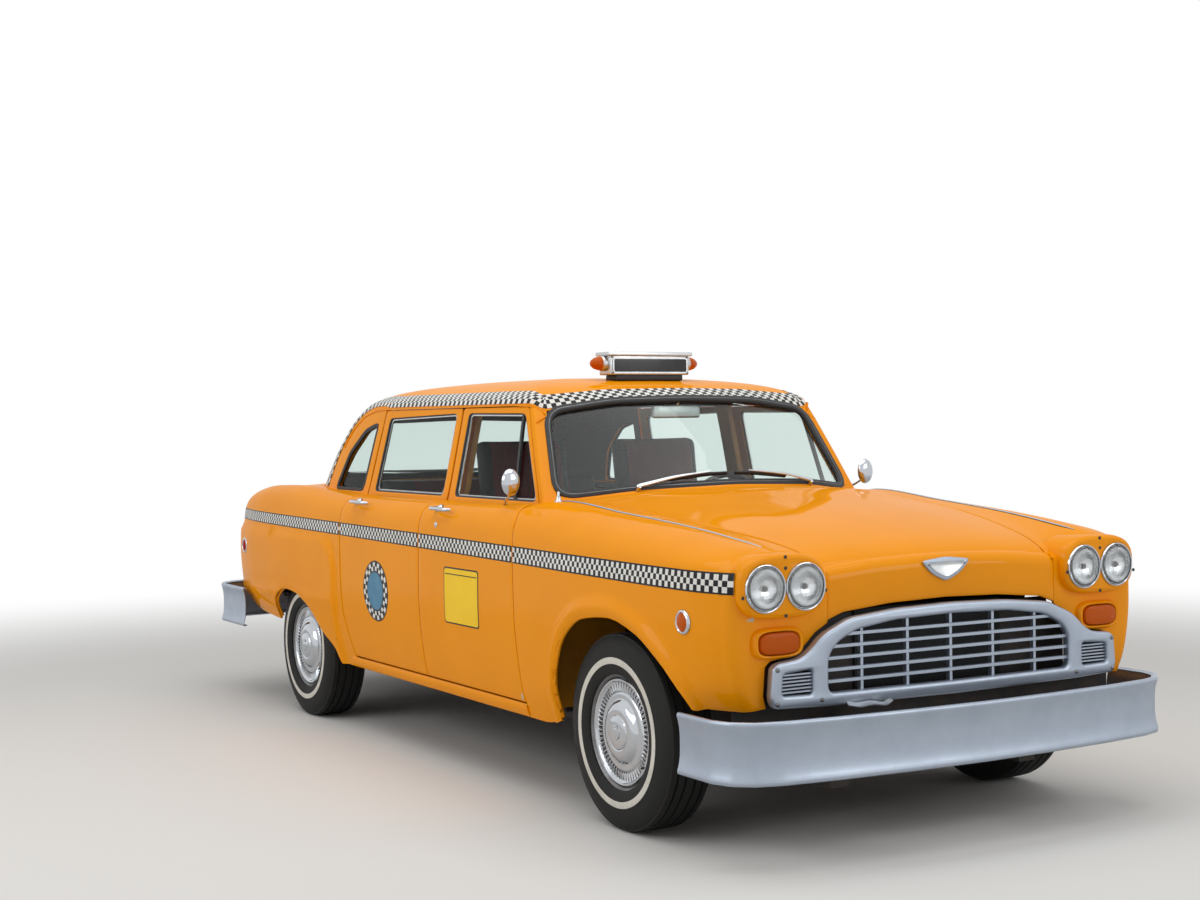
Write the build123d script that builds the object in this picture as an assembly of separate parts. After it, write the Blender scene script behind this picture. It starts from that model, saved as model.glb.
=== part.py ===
"""Four-door taxi cab of the classic American body-on-frame kind, as separate named pieces.

Millimetres. +X is forward, +Y is the driver's side (left), +Z is up. The origin is on the ground,
on the centreline, half way along the car.
"""
from build123d import *
from collections import namedtuple
from math import atan2, cos, hypot, pi, radians, sin
import os

# Driving sizes of the whole car
LENGTH = 5200.0
WHEELBASE = 3048.0
FRONT_OVERHANG = 885.0
FRONT_TRACK = 1637.0
REAR_TRACK = 1608.0
FRONT_AXLE_X = LENGTH / 2 - FRONT_OVERHANG
REAR_AXLE_X = FRONT_AXLE_X - WHEELBASE

# Wheels and tyres
TYRE_RADIUS = 348.0
TYRE_WIDTH = 206.0
TYRE_FACE_WIDTH = 160.0
RIM_RADIUS = 190.0
RIM_WIDTH = 165.0
RIM_WALL = 10.0
RIM_FLANGE = 10.0
FLANGE_RISE = 14.0
HUB_RADIUS = 82.0
HUB_BACK = -30.0
SPINDLE_RADIUS = 30.0
SPINDLE_FIT = 0.05
SPINDLE_END = 28.0
AXLE_Z = TYRE_RADIUS
BEAD_FIT = 0.3

# Gaps and walls
PANEL_GAP = 8.0
DOOR_GAP = 8.0
PILLAR_GAP = 20.0
SHEET = 9.0
DOOR_WALL = 60.0
FRAME_WALL = 30.0
PILLAR_WALL = 42.0
ROOF_WALL = 32.0
LINING_GAP = 6.0
LID_WALL = 22.0
SILL_WALL = 110.0
KICK_WALL = 30.0
GLASS_INSET = 9.0
GLASS = 6.0
END_SLOPE = 1.3

# Places along the car
HOOD_REAR_X = 1195.0
FIREWALL_X = 1085.0
LID_FRONT_X = -1745.0
BELT_Z = 1110.0
DOOR_BOTTOM_Z = 362.0
DOOR_TOP_Z = 1503.0
FLOOR_Z = 345.0
FLOOR_THICK = 22.0
FLOOR_Y = 765.0
STEP_X = -700.0
BOOT_FLOOR_Z = 500.0
BULKHEAD_X = -1150.0
TUNNEL_Y = 110.0
TUNNEL_Z = 430.0

# Sections of the lower body, back to front, one half of each from sill to centreline
Seat = namedtuple("Seat", "back_x width base_z top lean")
Station = namedtuple(
    "Station", "x sill_y sill_z low_y side_y belt_y belt_z crown_y crown_z valley_y valley_z centre_z")
BODY = (
    Station(-2415, 735, 520, 780, 790, 782, 930, 690, 985, 600, 975, 985),
    Station(-2370, 775, 500, 828, 842, 832, 965, 735, 1045, 640, 1040, 1052),
    Station(-2200, 825, 480, 888, 905, 888, 1000, 775, 1098, 690, 1090, 1108),
    Station(-1900, 865, 462, 925, 945, 918, 1010, 800, 1126, 710, 1120, 1142),
    Station(-1500, 880, 440, 937, 955, 926, 1008, 815, 1134, 730, 1130, 1152),
    Station(-1100, 885, 330, 926, 946, 930, 1003, 830, 1118, 760, 1122, 1130),
    Station(-700, 880, 306, 915, 936, 930, 998, 848, 1106, 780, 1112, 1114),
    Station(150, 880, 304, 914, 935, 930, 992, 850, 1106, 780, 1112, 1114),
    Station(900, 880, 302, 916, 937, 930, 985, 828, 1116, 770, 1124, 1140),
    Station(1115, 882, 302, 925, 942, 932, 980, 778, 1134, 700, 1136, 1172),
    Station(1500, 890, 400, 938, 952, 938, 972, 757, 1104, 640, 1104, 1132),
    Station(1900, 890, 485, 937, 952, 938, 962, 748, 1072, 600, 1060, 1086),
    Station(2200, 872, 492, 915, 938, 930, 950, 738, 1038, 560, 1008, 1030),
    Station(2330, 850, 497, 890, 912, 905, 940, 726, 1020, 540, 962, 985),
    Station(2395, 815, 500, 850, 868, 862, 925, 705, 995, 520, 890, 925),
)

# Plan outlines of the upper body at each level, one half of each from front to back
Level = namedtuple(
    "Level", "z front_x front_mid_x glass_x glass_y pillar_x pillar_y side_y "
    "rear_side_x rear_side_y rear_corner_x rear_corner_y rear_mid_x rear_x")
CABIN = (
    Level(1085, 1190, 1118, 965, 738, 950, 785, 800, -1330, 785, -1520, 705, -1690, -1722),
    Level(1140, 1165, 1094, 934, 722, 920, 768, 785, -1310, 770, -1500, 695, -1650, -1682),
    Level(1300, 1005, 954, 837, 690, 823, 735, 750, -1230, 735, -1410, 655, -1520, -1550),
    Level(1450, 855, 822, 746, 655, 732, 700, 718, -1110, 700, -1280, 600, -1370, -1395),
    Level(1500, 805, 777, 714, 642, 700, 687, 708, -1040, 685, -1200, 575, -1290, -1315),
    Level(1532, 770, 745, 690, 630, 678, 677, 700, -990, 670, -1130, 550, -1215, -1240),
    Level(1582, 660, 635, 560, 580, 545, 595, 608, -860, 580, -980, 480, -1050, -1070),
    Level(1612, 480, 462, 390, 450, 375, 460, 470, -640, 440, -740, 380, -800, -820),
    Level(1630, 230, 221, 175, 240, 165, 245, 250, -330, 240, -400, 200, -430, -440),
)

# Side view outlines, as (x, z) points
FRONT_DOOR_EDGE = ((1003, DOOR_BOTTOM_Z), (968, 960), (950, 1060), (905, 1118), (672, DOOR_TOP_Z))
B_EDGE_X = 100.0
C_EDGE = ((-692, DOOR_BOTTOM_Z), (-728, 450), (-770, 560), (-785, 960), (-781, 1020), (-776, 1060),
          (-770, 1110),
          (-724, DOOR_TOP_Z))
WIDE_GAP_Z = 1015.0
FRONT_WINDOW = ((882, 1120), (160, 1120), (160, 1487), (655, 1482))
REAR_WINDOW = ((44, 1120), (-700, 1120), (-672, 1470), (44, 1487))
QUARTER_WINDOW = ((-840, 1122), (-1195, 1124), (-1100, 1300), (-945, 1408), (-800, 1440))
WINDSCREEN = ((0, 1196), (420, 1182), (725, 1148), (645, 1492), (350, 1532), (0, 1540))
BACK_WINDOW = ((0, 1185), (620, 1192), (520, 1462), (0, 1480))

# Side view of the band that holds the windscreen post, inside the door's frame
FRONT_POST = ((952, 1072), (857, 1072), (632, 1545), (727, 1545))
FRONT_POST_INNER_Y = 600.0

# Front view of the centre post between the doors, as (y, z) points up its outer face
CENTRE_POST = ((812, 320), (846, 455), (866, 717), (858, 975), (800, 1030), (758, 1038), (750, 1085),
               (745, 1140), (710, 1300), (678, 1450), (666, 1510), (690, 1514), (680, 1548))
POST_THICK = 40.0
SHOULDER_DROP = 35.0
POST_HALF_WIDTH = 55.0

# Front view of the space that the doors' frames stay clear of, and the step in their meeting edges
DOOR_INSIDE = ((0, 1000), (752, 1000), (748, 1100), (742, 1140), (706, 1300), (673, 1450), (657, 1510),
               (0, 1510))
STEP_HALF_WIDTH = 19.0
STEP_Y = 852.0
STEP_Z = (1030.0, 1120.0)

# Wheel openings, as (x from the axle, z) points from back to front
FRONT_ARCH = ((-450, 250), (-425, 350), (-395, 520), (-300, 672), (-160, 745), (20, 762), (190, 726),
              (320, 650), (405, 560), (440, 470), (440, 250))
REAR_ARCH = ((-400, 250), (-385, 400), (-345, 490), (-260, 580), (-120, 628), (50, 616), (200, 545),
             (330, 445), (440, 375), (480, 250))

# Plan outline of the bonnet and of the boot lid, one half of each
HOOD = ((HOOD_REAR_X, 0), (HOOD_REAR_X, 672), (1450, 655), (1800, 615), (2100, 548), (2300, 508),
        (2440, 500), (2440, 0))
LID_Y = 585.0
LID_BOTTOM_Z = 640.0

# Front end
NOSE_X = 2395.0
POD_Y = 701.0
POD_Z = 901.0
POD_WIDTH = 340.0
POD_HEIGHT = 212.0
POD_REACH = 34.0
LAMP_YS = (778.0, 619.0)
LAMP_Z = 895.0
LAMP_RADIUS = 80.0
LAMP_DEPTH = 90.0
LAMP_GAP = 1.0
SIGNAL_Y = 712.0
SIGNAL_Z = 716.0
SIGNAL_SIZE = (160.0, 78.0)
MARKER_FRONT = (2188.0, 780.0)
MARKER_REAR = (-2085.0, 806.0)
MARKER_RADIUS = 48.0
TAIL_LAMP_ZS = (790.0, 895.0)
TAIL_LAMP_RADIUS = 44.0
TAIL_LAMP_Y = 690.0
GRILLE_OUTLINE = ((0, 494), (560, 500), (752, 508), (765, 540), (756, 640), (735, 655), (648, 664),
                  (604, 690), (555, 736), (440, 784), (240, 802), (0, 808))
GRILLE_OPENING = ((0, 540), (535, 543), (534, 660), (500, 704), (420, 742), (250, 764), (0, 770))
SIDE_OPENING = ((598, 545), (722, 548), (716, 618), (598, 626))
GRILLE_DEPTH = 46.0
GRILLE_BAR = 13.0
GRILLE_BARS = (578.0, 616.0, 654.0, 692.0, 730.0)
GRILLE_POSTS = (-385.0, -190.0, 0.0, 190.0, 385.0)
SIDE_BARS = (563.0, 581.0, 599.0)

# Bumpers, as plan points of the outer face from the centre to the wrapped end, x from the car's end
BUMPER_FACE = ((0, 0), (8, 300), (28, 600), (52, 800), (82, 890), (135, 950), (205, 975))
FRONT_BUMPER_END = 400.0
REAR_BUMPER_END = 560.0
BUMPER_WALL = 15.0
Band = namedtuple("Band", "low high recess")
FRONT_BUMPER_Z = 285.0
REAR_BUMPER_Z = 380.0
BUMPER_BANDS = (Band(0, 24, 0), Band(24, 50, 5), Band(50, 155, 11), Band(155, 182, 5), Band(182, 205, 0))

# Hinges and turning parts
KINGPIN_Y = 700.0
STEERING_TILT = 26.0
COLUMN_TOP = (430.0, 385.0, 1010.0)
STEERING_WHEEL_RADIUS = 205.0

# Chassis
RAIL_Y = 420.0
EXHAUST_Z = 215.0
CROSS_Z = 250.0
PINION_REACH = 150.0
GEARBOX_REAR_X = 930.0
SHAFT_RADIUS = 36.0
RAIL_WIDTH = 76.0
RAIL_Z = (205.0, 318.0)
BRACKET_END = 2568.0
AXLE_TUBE_RADIUS = 42.0
SPRING_Y = 520.0
TOWER_Y = 472.0
ARM_ROOT_ZS = (250.0, 530.0)
ARM_PIVOT_RADIUS = 18.0

# Door handles and mirrors, as (x, y, z) on the left side
HANDLE_Z = 1080.0
HANDLE_HEIGHT = 16.0
HANDLE_LENGTH = 150.0
HANDLE_END = 15.0
HANDLE_ROOT_Y = 850.0
HANDLE_Y = 948.0
HANDLE_GRIP = (905.0, 934.0)
MIRROR = (868.0, 878.0, 1205.0)
MIRROR_RADIUS = 52.0
MIRROR_DEPTH = 24.0
MIRROR_FOOT = (705.0, 830.0, 1094.0)
MIRROR_ARM_RADIUS = 8.0

# Seats: foot of the back, width, underside, top of the back and how far it leans
FRONT_SEAT = Seat(0, 1300, FLOOR_Z + 60, 1380, 130)
REAR_SEAT = Seat(-1050, 1260, 510, 1185, 85)
SEAT_DEPTH = 520.0
SEAT_HEIGHT = 190.0
BACK_SUNK = 70.0
BACK_THICK = 125.0
HIGH_BACK = (110.0, 590.0)


def place(axis, u, v, w):
    """Point in space for plane coordinates u, v at distance w along the axis."""
    return {"x": (w, u, v), "y": (u, w, v), "z": (u, v, w)}[axis]


def prism(axis, outline, low, high):
    """Straight-sided solid: a plane outline carried along an axis."""
    wire = Polyline(*[place(axis, u, v, low) for u, v in outline], close=True)
    return extrude(make_face(wire), amount=high - low, dir=place(axis, 0, 0, 1))


def block(x0, x1, y0, y1, z0, z1):
    """Box between two corners."""
    return Pos((x0 + x1) / 2, (y0 + y1) / 2, (z0 + z1) / 2) * Box(x1 - x0, y1 - y0, z1 - z0)


def cylinder(axis, centre, radius, length):
    """Cylinder centred on a point."""
    turn = {"x": Rot(0, 90, 0), "y": Rot(90, 0, 0), "z": Rot(0, 0, 0)}[axis]
    return Pos(*centre) * turn * Cylinder(radius, length)


def tube_between(start, end, radius):
    """Round bar from one point to another."""
    run = [b - a for a, b in zip(start, end)]
    plane = Plane(origin=start, z_dir=run)
    return extrude(plane * Circle(radius), amount=hypot(*run))


def mirrored(outline):
    """Whole outline from one half whose ends are on the centreline."""
    return list(outline) + [(-u, v) for u, v in reversed(outline) if u > 0]


def plan_mirrored(outline):
    """Whole plan outline from one half, given as (x, y) with its ends on the centreline."""
    return list(outline) + [(x, -y) for x, y in reversed(outline) if y > 0]


def grown(outline, gap):
    """Closed outline moved outward by a gap, or inward by a negative one."""
    count = len(outline)
    area = sum(outline[i - 1][0] * outline[i][1] - outline[i][0] * outline[i - 1][1] for i in range(count))
    turn = 1 if area > 0 else -1
    moved = []
    for i in range(count):
        (ax, ay), (bx, by), (cx, cy) = outline[i - 1], outline[i], outline[(i + 1) % count]
        first = atan2(by - ay, bx - ax) - turn * pi / 2
        second = atan2(cy - by, cx - bx) - turn * pi / 2
        middle = atan2(sin(first) + sin(second), cos(first) + cos(second))
        reach = gap / max(cos(middle - first), 0.5)
        moved.append((bx + reach * cos(middle), by + reach * sin(middle)))
    return moved


def half_section(s):
    """Nine (y, z) points of a lower body section, from the sill to the centreline."""
    height = s.belt_z - s.sill_z
    return [
        (s.sill_y, s.sill_z),
        (s.low_y, s.sill_z + 0.22 * height),
        (s.side_y, s.sill_z + 0.6 * height),
        (s.belt_y, s.belt_z),
        (s.crown_y + 0.62 * (s.belt_y - s.crown_y), s.crown_z - 0.28 * (s.crown_z - s.belt_z)),
        (s.crown_y, s.crown_z),
        (s.valley_y, s.valley_z),
        (s.valley_y * 0.5, s.centre_z - 0.26 * (s.centre_z - s.valley_z)),
        (0, s.centre_z),
    ]


def lower_body(inset=0.0, end_inset=None, below=0.0):
    """Solid bounded by the lower body's skin, moved inward by an inset, open-ended below on request."""
    end_inset = inset if end_inset is None else end_inset
    faces = []
    for s in BODY:
        outline = mirrored(half_section(s))
        if inset:
            outline = grown(outline, -inset)
        if below:
            floor = min(z for _, z in outline)
            outline = [(y, z - below if z < floor + 1 else z) for y, z in outline]
        x = max(min(s.x, BODY[-1].x - end_inset), BODY[0].x + end_inset)
        faces.append(make_face(Polyline(*[(x, y, z) for y, z in outline], close=True)))
    return loft(faces, ruled=True)


def cabin_outline(s, inset=0.0):
    """Plan points of one upper body level, front centre to rear centre on the left."""
    slope = END_SLOPE * inset
    return [
        (s.front_x - slope, 0),
        (s.front_mid_x - slope, 0.55 * s.glass_y),
        (s.glass_x - slope, s.glass_y - inset),
        (s.pillar_x - slope, s.pillar_y - inset),
        (0.5 * s.pillar_x, s.side_y - inset),
        (0.6 * s.rear_side_x, s.side_y - inset),
        (s.rear_side_x + inset, s.rear_side_y - inset),
        (s.rear_corner_x + slope, s.rear_corner_y - inset),
        (s.rear_mid_x + slope, 0.55 * s.rear_corner_y),
        (s.rear_x + slope, 0),
    ]


def upper_body(inset=0.0, top_inset=None, below=0.0):
    """Solid bounded by the roof, pillars and glass, moved inward by an inset."""
    top_inset = inset if top_inset is None else top_inset
    faces = []
    for s in CABIN:
        outline = plan_mirrored(cabin_outline(s, inset))
        rise = min(1.0, max(0.0, (s.z - DOOR_TOP_Z) / (CABIN[-1].z - DOOR_TOP_Z)))
        z = s.z - top_inset * rise - (below if s is CABIN[0] else 0)
        faces.append(make_face(Polyline(*[(x, y, z) for x, y in outline], close=True)))
    return loft(faces, ruled=True)


def front_door_outline(gap=0.0):
    """Side outline of the front door, its edges moved outward by a gap."""
    rear = B_EDGE_X + DOOR_GAP / 2
    upper = B_EDGE_X + PILLAR_GAP / 2
    return grown(list(FRONT_DOOR_EDGE) + [(upper, DOOR_TOP_Z), (upper, BELT_Z), (rear, BELT_Z - 20),
                                         (rear, DOOR_BOTTOM_Z)], gap)


def rear_door_outline(gap=0.0):
    """Side outline of the rear door."""
    front = B_EDGE_X - DOOR_GAP / 2
    upper = B_EDGE_X - PILLAR_GAP / 2
    shift = 0 if gap else PILLAR_GAP - DOOR_GAP
    rear = [(x + (shift if z >= WIDE_GAP_Z else 0), z) for x, z in reversed(C_EDGE)]
    meeting = [(front, DOOR_BOTTOM_Z), (front, BELT_Z - 20), (upper, BELT_Z), (upper, DOOR_TOP_Z)]
    return grown(meeting + rear, gap)


def arch_outline(points, axle_x):
    """Wheel opening seen from the side."""
    return [(axle_x + x, z) for x, z in points]


def side_span(side):
    """Y range that covers one side of the car."""
    return (20.0, 1100.0) if side > 0 else (-1100.0, -20.0)


SIDES = (("left", 1), ("right", -1))

# Solids that several pieces share
LOWER = lower_body()
UPPER = upper_body()
OUTER = LOWER + UPPER
THIN_CAVITY = lower_body(SHEET, below=300)
LID_CAVITY = lower_body(LID_WALL, below=300)
DOOR_CAVITY = lower_body(DOOR_WALL, below=300) + upper_body(FRAME_WALL, below=100)
SHELL_CAVITY = lower_body(PILLAR_WALL, below=300) + upper_body(PILLAR_WALL, ROOF_WALL, below=100)
LINING = lower_body(DOOR_WALL + LINING_GAP, below=100)
POST_CAVITY = lower_body(SILL_WALL, below=300) + upper_body(FRAME_WALL + 40, below=200)
BEHIND_SHEET = lower_body(SHEET + LINING_GAP)
GLASS_SKIN = upper_body(GLASS_INSET) - upper_body(GLASS_INSET + GLASS)
WINDSCREEN_CUT = prism("x", mirrored(WINDSCREEN), 560, 1400)
BACK_WINDOW_CUT = prism("x", mirrored(BACK_WINDOW), -1800, -1050)
HOOD_PLAN = plan_mirrored(HOOD)
LID_PLAN = [(LID_FRONT_X, -LID_Y), (LID_FRONT_X, LID_Y), (-2500, LID_Y), (-2500, -LID_Y)]
GRILLE_SHAPE = mirrored(GRILLE_OUTLINE)


def lid_block(gap):
    """Region of the boot lid: its plan, down to the lower edge of its rear face."""
    return prism("z", grown(LID_PLAN, gap), LID_BOTTOM_Z - gap, 1300)


def hood_block(gap):
    """Region of the bonnet, above the grille's arch."""
    over_grille = prism("x", grown(GRILLE_SHAPE, 12 - gap / 2), 2200, 2500)
    return prism("z", grown(HOOD_PLAN, gap), 690, 1300) - over_grille


def centre_post(side):
    """Post between the front and rear doors, from the sill to the roof rail."""
    foot, head = CENTRE_POST[0], CENTRE_POST[-1]
    inner = [(y - POST_THICK, z - SHOULDER_DROP) for y, z in CENTRE_POST[1:-1]]
    inner = [(foot[0] - POST_THICK, foot[1])] + inner + [(head[0] - POST_THICK, head[1])]
    outline = [(side * y, z) for y, z in list(CENTRE_POST) + inner[::-1]]
    return prism("x", outline, B_EDGE_X - POST_HALF_WIDTH, B_EDGE_X + POST_HALF_WIDTH)


def make_cabin_shell():
    """Roof, pillars, cowl and rear deck: the welded centre of the body."""
    low, high = LID_FRONT_X + 25, HOOD_REAR_X - PANEL_GAP
    region = block(low, high, -1100, 1100, BELT_Z - 4, 1700)
    skin = (OUTER & region) - SHELL_CAVITY
    skin -= WINDSCREEN_CUT
    skin -= BACK_WINDOW_CUT
    lining = LINING + upper_body(FRAME_WALL + LINING_GAP, below=80)
    post = None
    for _, side in SIDES:
        span = side_span(side)
        skin -= prism("y", front_door_outline(DOOR_GAP), *span)
        skin -= prism("y", rear_door_outline(DOOR_GAP), *span)
        skin -= prism("y", QUARTER_WINDOW, *span)
        slant = prism("y", FRONT_POST, *sorted((side * FRONT_POST_INNER_Y, side * 1100)))
        front_post = (lining & slant) - POST_CAVITY - WINDSCREEN_CUT
        post = front_post if post is None else post + front_post
    return skin + post


def make_side_frame(side, shell):
    """Sill with the centre post and the kick panel that stand on it, on one side of the car."""
    side_range = sorted((side * 500, side * 1100))
    top = DOOR_BOTTOM_Z - DOOR_GAP
    sill = (LOWER & block(-760, 1000, *side_range, 290, top)) - POST_CAVITY
    sill += (BEHIND_SHEET & block(960, FIREWALL_X, *side_range, 315, top)) - POST_CAVITY
    kick_cavity = lower_body(SHEET + LINING_GAP + KICK_WALL, below=300)
    kick = (BEHIND_SHEET - kick_cavity) & block(1015, FIREWALL_X, *side_range, top - 5, 1095)
    post = (centre_post(side) - shell).solids().sort_by(SortBy.VOLUME)[-1]
    return sill + (kick - shell) + post


def make_firewall(shell):
    """Wall between engine and cabin."""
    wall = BEHIND_SHEET & block(FIREWALL_X, FIREWALL_X + 24, -1100, 1100, FLOOR_Z, 1160)
    wall -= block(1000, 1200, -TUNNEL_Y, TUNNEL_Y, 300, TUNNEL_Z)
    return wall - shell


def make_apron(side):
    """Inner wing beside the engine, with the flat top of its wheel house."""
    side_range = sorted((side * 500, side * 1100))
    low_x = FIREWALL_X + 24
    apron = BEHIND_SHEET & block(low_x, 2240, *side_range, 830, 842)
    return apron + block(low_x, 2240, *sorted((side * 500, side * 512)), 600, 930)


def make_rear_bulkhead(shell):
    """Panel behind the rear seat with the parcel shelf on top."""
    shelf = BEHIND_SHEET & block(LID_FRONT_X + 32, BULKHEAD_X, -690, 690, 1080, 1111)
    wall = BEHIND_SHEET & block(BULKHEAD_X, BULKHEAD_X + 20, -638, 638, BOOT_FLOOR_Z + FLOOR_THICK, 1111)
    return shelf + wall - shell


def make_fender(side):
    """Front wing with its lamp pod and its part of the nose."""
    region = block(940, 2500, *sorted((side * 400, side * 1100)), 290, 1300)
    shell = (LOWER - THIN_CAVITY) & region
    shell -= prism("y", front_door_outline(DOOR_GAP), *side_span(side))
    shell -= block(900, HOOD_REAR_X - PANEL_GAP, -1100, 1100, BELT_Z - 10, 1300)
    shell -= hood_block(PANEL_GAP)
    shell -= prism("y", arch_outline(FRONT_ARCH, FRONT_AXLE_X), *side_span(side))
    shell -= prism("x", grown(GRILLE_SHAPE, 1), 2300, 2500)
    pod = Pos(NOSE_X + POD_REACH / 2, side * POD_Y, POD_Z) * Rot(0, 90, 0) * extrude(
        SlotOverall(POD_WIDTH, POD_HEIGHT - 8, rotation=90), POD_REACH / 2 + SHEET + 40, both=True)
    pod &= block(2300, NOSE_X + POD_REACH, -1100, 1100, 700, 1100)
    signal = rounded_plate(side * SIGNAL_Y, SIGNAL_Z, 24, NOSE_X - SHEET, NOSE_X + 14)
    lens = rounded_plate(side * SIGNAL_Y, SIGNAL_Z, 0, NOSE_X - 40, NOSE_X + 40)
    fender = shell + pod + signal - lens - marker(MARKER_FRONT, side, LAMP_GAP)
    for y in LAMP_YS:
        mouth = (NOSE_X + POD_REACH, side * y, LAMP_Z)
        fender -= cylinder("x", mouth, LAMP_RADIUS + LAMP_GAP, 2 * LAMP_DEPTH + 60)
    return fender


def rounded_plate(y, z, grow, x0, x1):
    """Rounded rectangular block facing forward, as large as the signal lens and a border."""
    width, height = (size + grow for size in SIGNAL_SIZE)
    across = Plane(origin=(x0, y, z), x_dir=(0, 1, 0), z_dir=(1, 0, 0))
    sketch = across * RectangleRounded(width, height, height * 0.4)
    return extrude(sketch, amount=x1 - x0)


def make_quarter(side):
    """Rear quarter panel with its wheel opening."""
    region = block(-2500, -660, *sorted((side * 500, side * 1100)), 290, 1300)
    shell = (LOWER - THIN_CAVITY) & region
    shell -= prism("y", rear_door_outline(DOOR_GAP), *side_span(side))
    shell -= block(LID_FRONT_X + 25 - 1, -600, -1100, 1100, BELT_Z - 5, 1300)
    shell -= lid_block(PANEL_GAP)
    shell -= prism("y", arch_outline(REAR_ARCH, REAR_AXLE_X), *side_span(side))
    shell -= block(-2500, -2300, -500 - 2, 500 + 2, 290, 1300)
    shell -= marker(MARKER_REAR, side, LAMP_GAP)
    for z in TAIL_LAMP_ZS:
        shell -= tail_lamp(side, z, LAMP_GAP)
    return shell


def make_tail_panel():
    """Lower rear panel between the quarter panels, under the boot lid."""
    region = block(-2500, LID_FRONT_X, -500, 500, 290, 1300)
    shell = (LOWER - THIN_CAVITY) & region & block(-2500, -2300, -500, 500, 290, LID_BOTTOM_Z - PANEL_GAP)
    return shell


def make_hood():
    """Bonnet with its folded edge."""
    return (LOWER - LID_CAVITY) & hood_block(0)


def make_trunk_lid():
    """Boot lid, carried down the tail to above the bumper."""
    return (LOWER - LID_CAVITY) & lid_block(0)


def make_door(which, side):
    """Door with its window frame, as thick as the whole door."""
    outline, window = DOORS[which]
    door = (OUTER & prism("y", outline(), *side_span(side))) - DOOR_CAVITY
    door -= prism("y", window, *side_span(side))
    door -= prism("x", mirrored(DOOR_INSIDE), -1000, 1000)
    door -= block(B_EDGE_X - STEP_HALF_WIDTH, B_EDGE_X + STEP_HALF_WIDTH, -STEP_Y, STEP_Y, *STEP_Z)
    x0, x1 = HANDLE_X[which] - HANDLE_LENGTH / 2, HANDLE_X[which] + HANDLE_LENGTH / 2
    z0, z1 = HANDLE_Z - HANDLE_HEIGHT / 2, HANDLE_Z + HANDLE_HEIGHT / 2
    handle = block(x0, x1, *sorted((side * HANDLE_ROOT_Y, side * HANDLE_Y)), z0, z1)
    handle -= block(x0 + HANDLE_END, x1 - HANDLE_END,
                    *sorted((side * HANDLE_GRIP[0], side * HANDLE_GRIP[1])), z0 - 1, z1 + 1)
    door += handle - DOOR_CAVITY
    if which == "front":
        x, y, z = MIRROR
        door += tube_between((MIRROR_FOOT[0], side * MIRROR_FOOT[1], MIRROR_FOOT[2]),
                             (x - MIRROR_DEPTH / 4, side * y, z - MIRROR_RADIUS / 2), MIRROR_ARM_RADIUS)
        door += Pos(x, side * y, z) * Rot(0, 90, 0) * Cylinder(MIRROR_RADIUS, MIRROR_DEPTH)
    return door


DOORS = {"front": (front_door_outline, FRONT_WINDOW), "rear": (rear_door_outline, REAR_WINDOW)}
HANDLE_X = {"front": 300.0, "rear": -573.0}


def make_grille():
    """Satin metal grille: arched main frame, side grilles and bars."""
    frame = prism("x", GRILLE_SHAPE, NOSE_X - 6, NOSE_X + GRILLE_DEPTH)
    frame -= prism("x", mirrored(GRILLE_OPENING), 2300, 2600)
    for side in (1, -1):
        frame -= prism("x", [(side * y, z) for y, z in SIDE_OPENING], 2300, 2600)
    x0, x1 = NOSE_X, NOSE_X + GRILLE_DEPTH * 0.6
    fill = prism("x", mirrored(GRILLE_OPENING), x0, x1)
    for z in GRILLE_BARS:
        frame += fill & block(x0, x1, -600, 600, z - GRILLE_BAR / 2, z + GRILLE_BAR / 2)
    for y in GRILLE_POSTS:
        frame += fill & block(x0, x1, y - GRILLE_BAR / 2, y + GRILLE_BAR / 2, 500, 800)
    for side in (1, -1):
        for z in SIDE_BARS:
            frame += block(x0, x1, *sorted((side * 590, side * 730)), z - 4, z + 4)
    return frame


def bumper(end_x, direction, wrap, base_z):
    """Pressed bumper with rolled lips, its ends wrapped round the corners."""
    half = [(end_x - direction * back, y) for back, y in BUMPER_FACE]
    half.append((end_x - direction * wrap, BUMPER_FACE[-1][1]))
    outer = [(x, -y) for x, y in reversed(half[1:])] + half
    body = None
    for band in BUMPER_BANDS:
        face = offset_path(outer, band.recess, direction)
        back = offset_path(outer, band.recess + BUMPER_WALL, direction)
        ring = prism("z", face + back[::-1], base_z + band.low, base_z + band.high)
        body = ring if body is None else body + ring
    return body


def offset_path(path, distance, direction):
    """Open plan path moved towards the inside of the bumper's curve."""
    moved = []
    for i, (x, y) in enumerate(path):
        (ax, ay), (bx, by) = path[max(i - 1, 0)], path[min(i + 1, len(path) - 1)]
        run = hypot(bx - ax, by - ay)
        moved.append((x - direction * (by - ay) / run * distance, y + direction * (bx - ax) / run * distance))
    return moved


FRONT_BUMPER = bumper(LENGTH / 2, 1, FRONT_BUMPER_END, FRONT_BUMPER_Z)
REAR_BUMPER = bumper(-LENGTH / 2, -1, REAR_BUMPER_END, REAR_BUMPER_Z)


def make_tyre(x, y):
    """Tyre as a turned ring with rounded shoulders."""
    half, tread = TYRE_WIDTH / 2, TYRE_FACE_WIDTH / 2
    bead = RIM_WIDTH / 2 - RIM_FLANGE - BEAD_FIT
    right = [(tread - 20, TYRE_RADIUS), (tread, TYRE_RADIUS - 6), (half, TYRE_RADIUS - 60),
             (half, RIM_RADIUS + 55),
             (bead, RIM_RADIUS + FLANGE_RISE + 2), (bead, RIM_RADIUS + BEAD_FIT)]
    return turned([(-across, radius) for across, radius in reversed(right)] + right, x, y)


def turned(outline, x, y):
    """Ring turned about a wheel's own axis, from (across, radius) points."""
    wire = Polyline(*[(x, y + across, AXLE_Z + radius) for across, radius in outline], close=True)
    return revolve(make_face(wire), axis=Axis((x, y, AXLE_Z), (0, 1, 0)))


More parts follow.
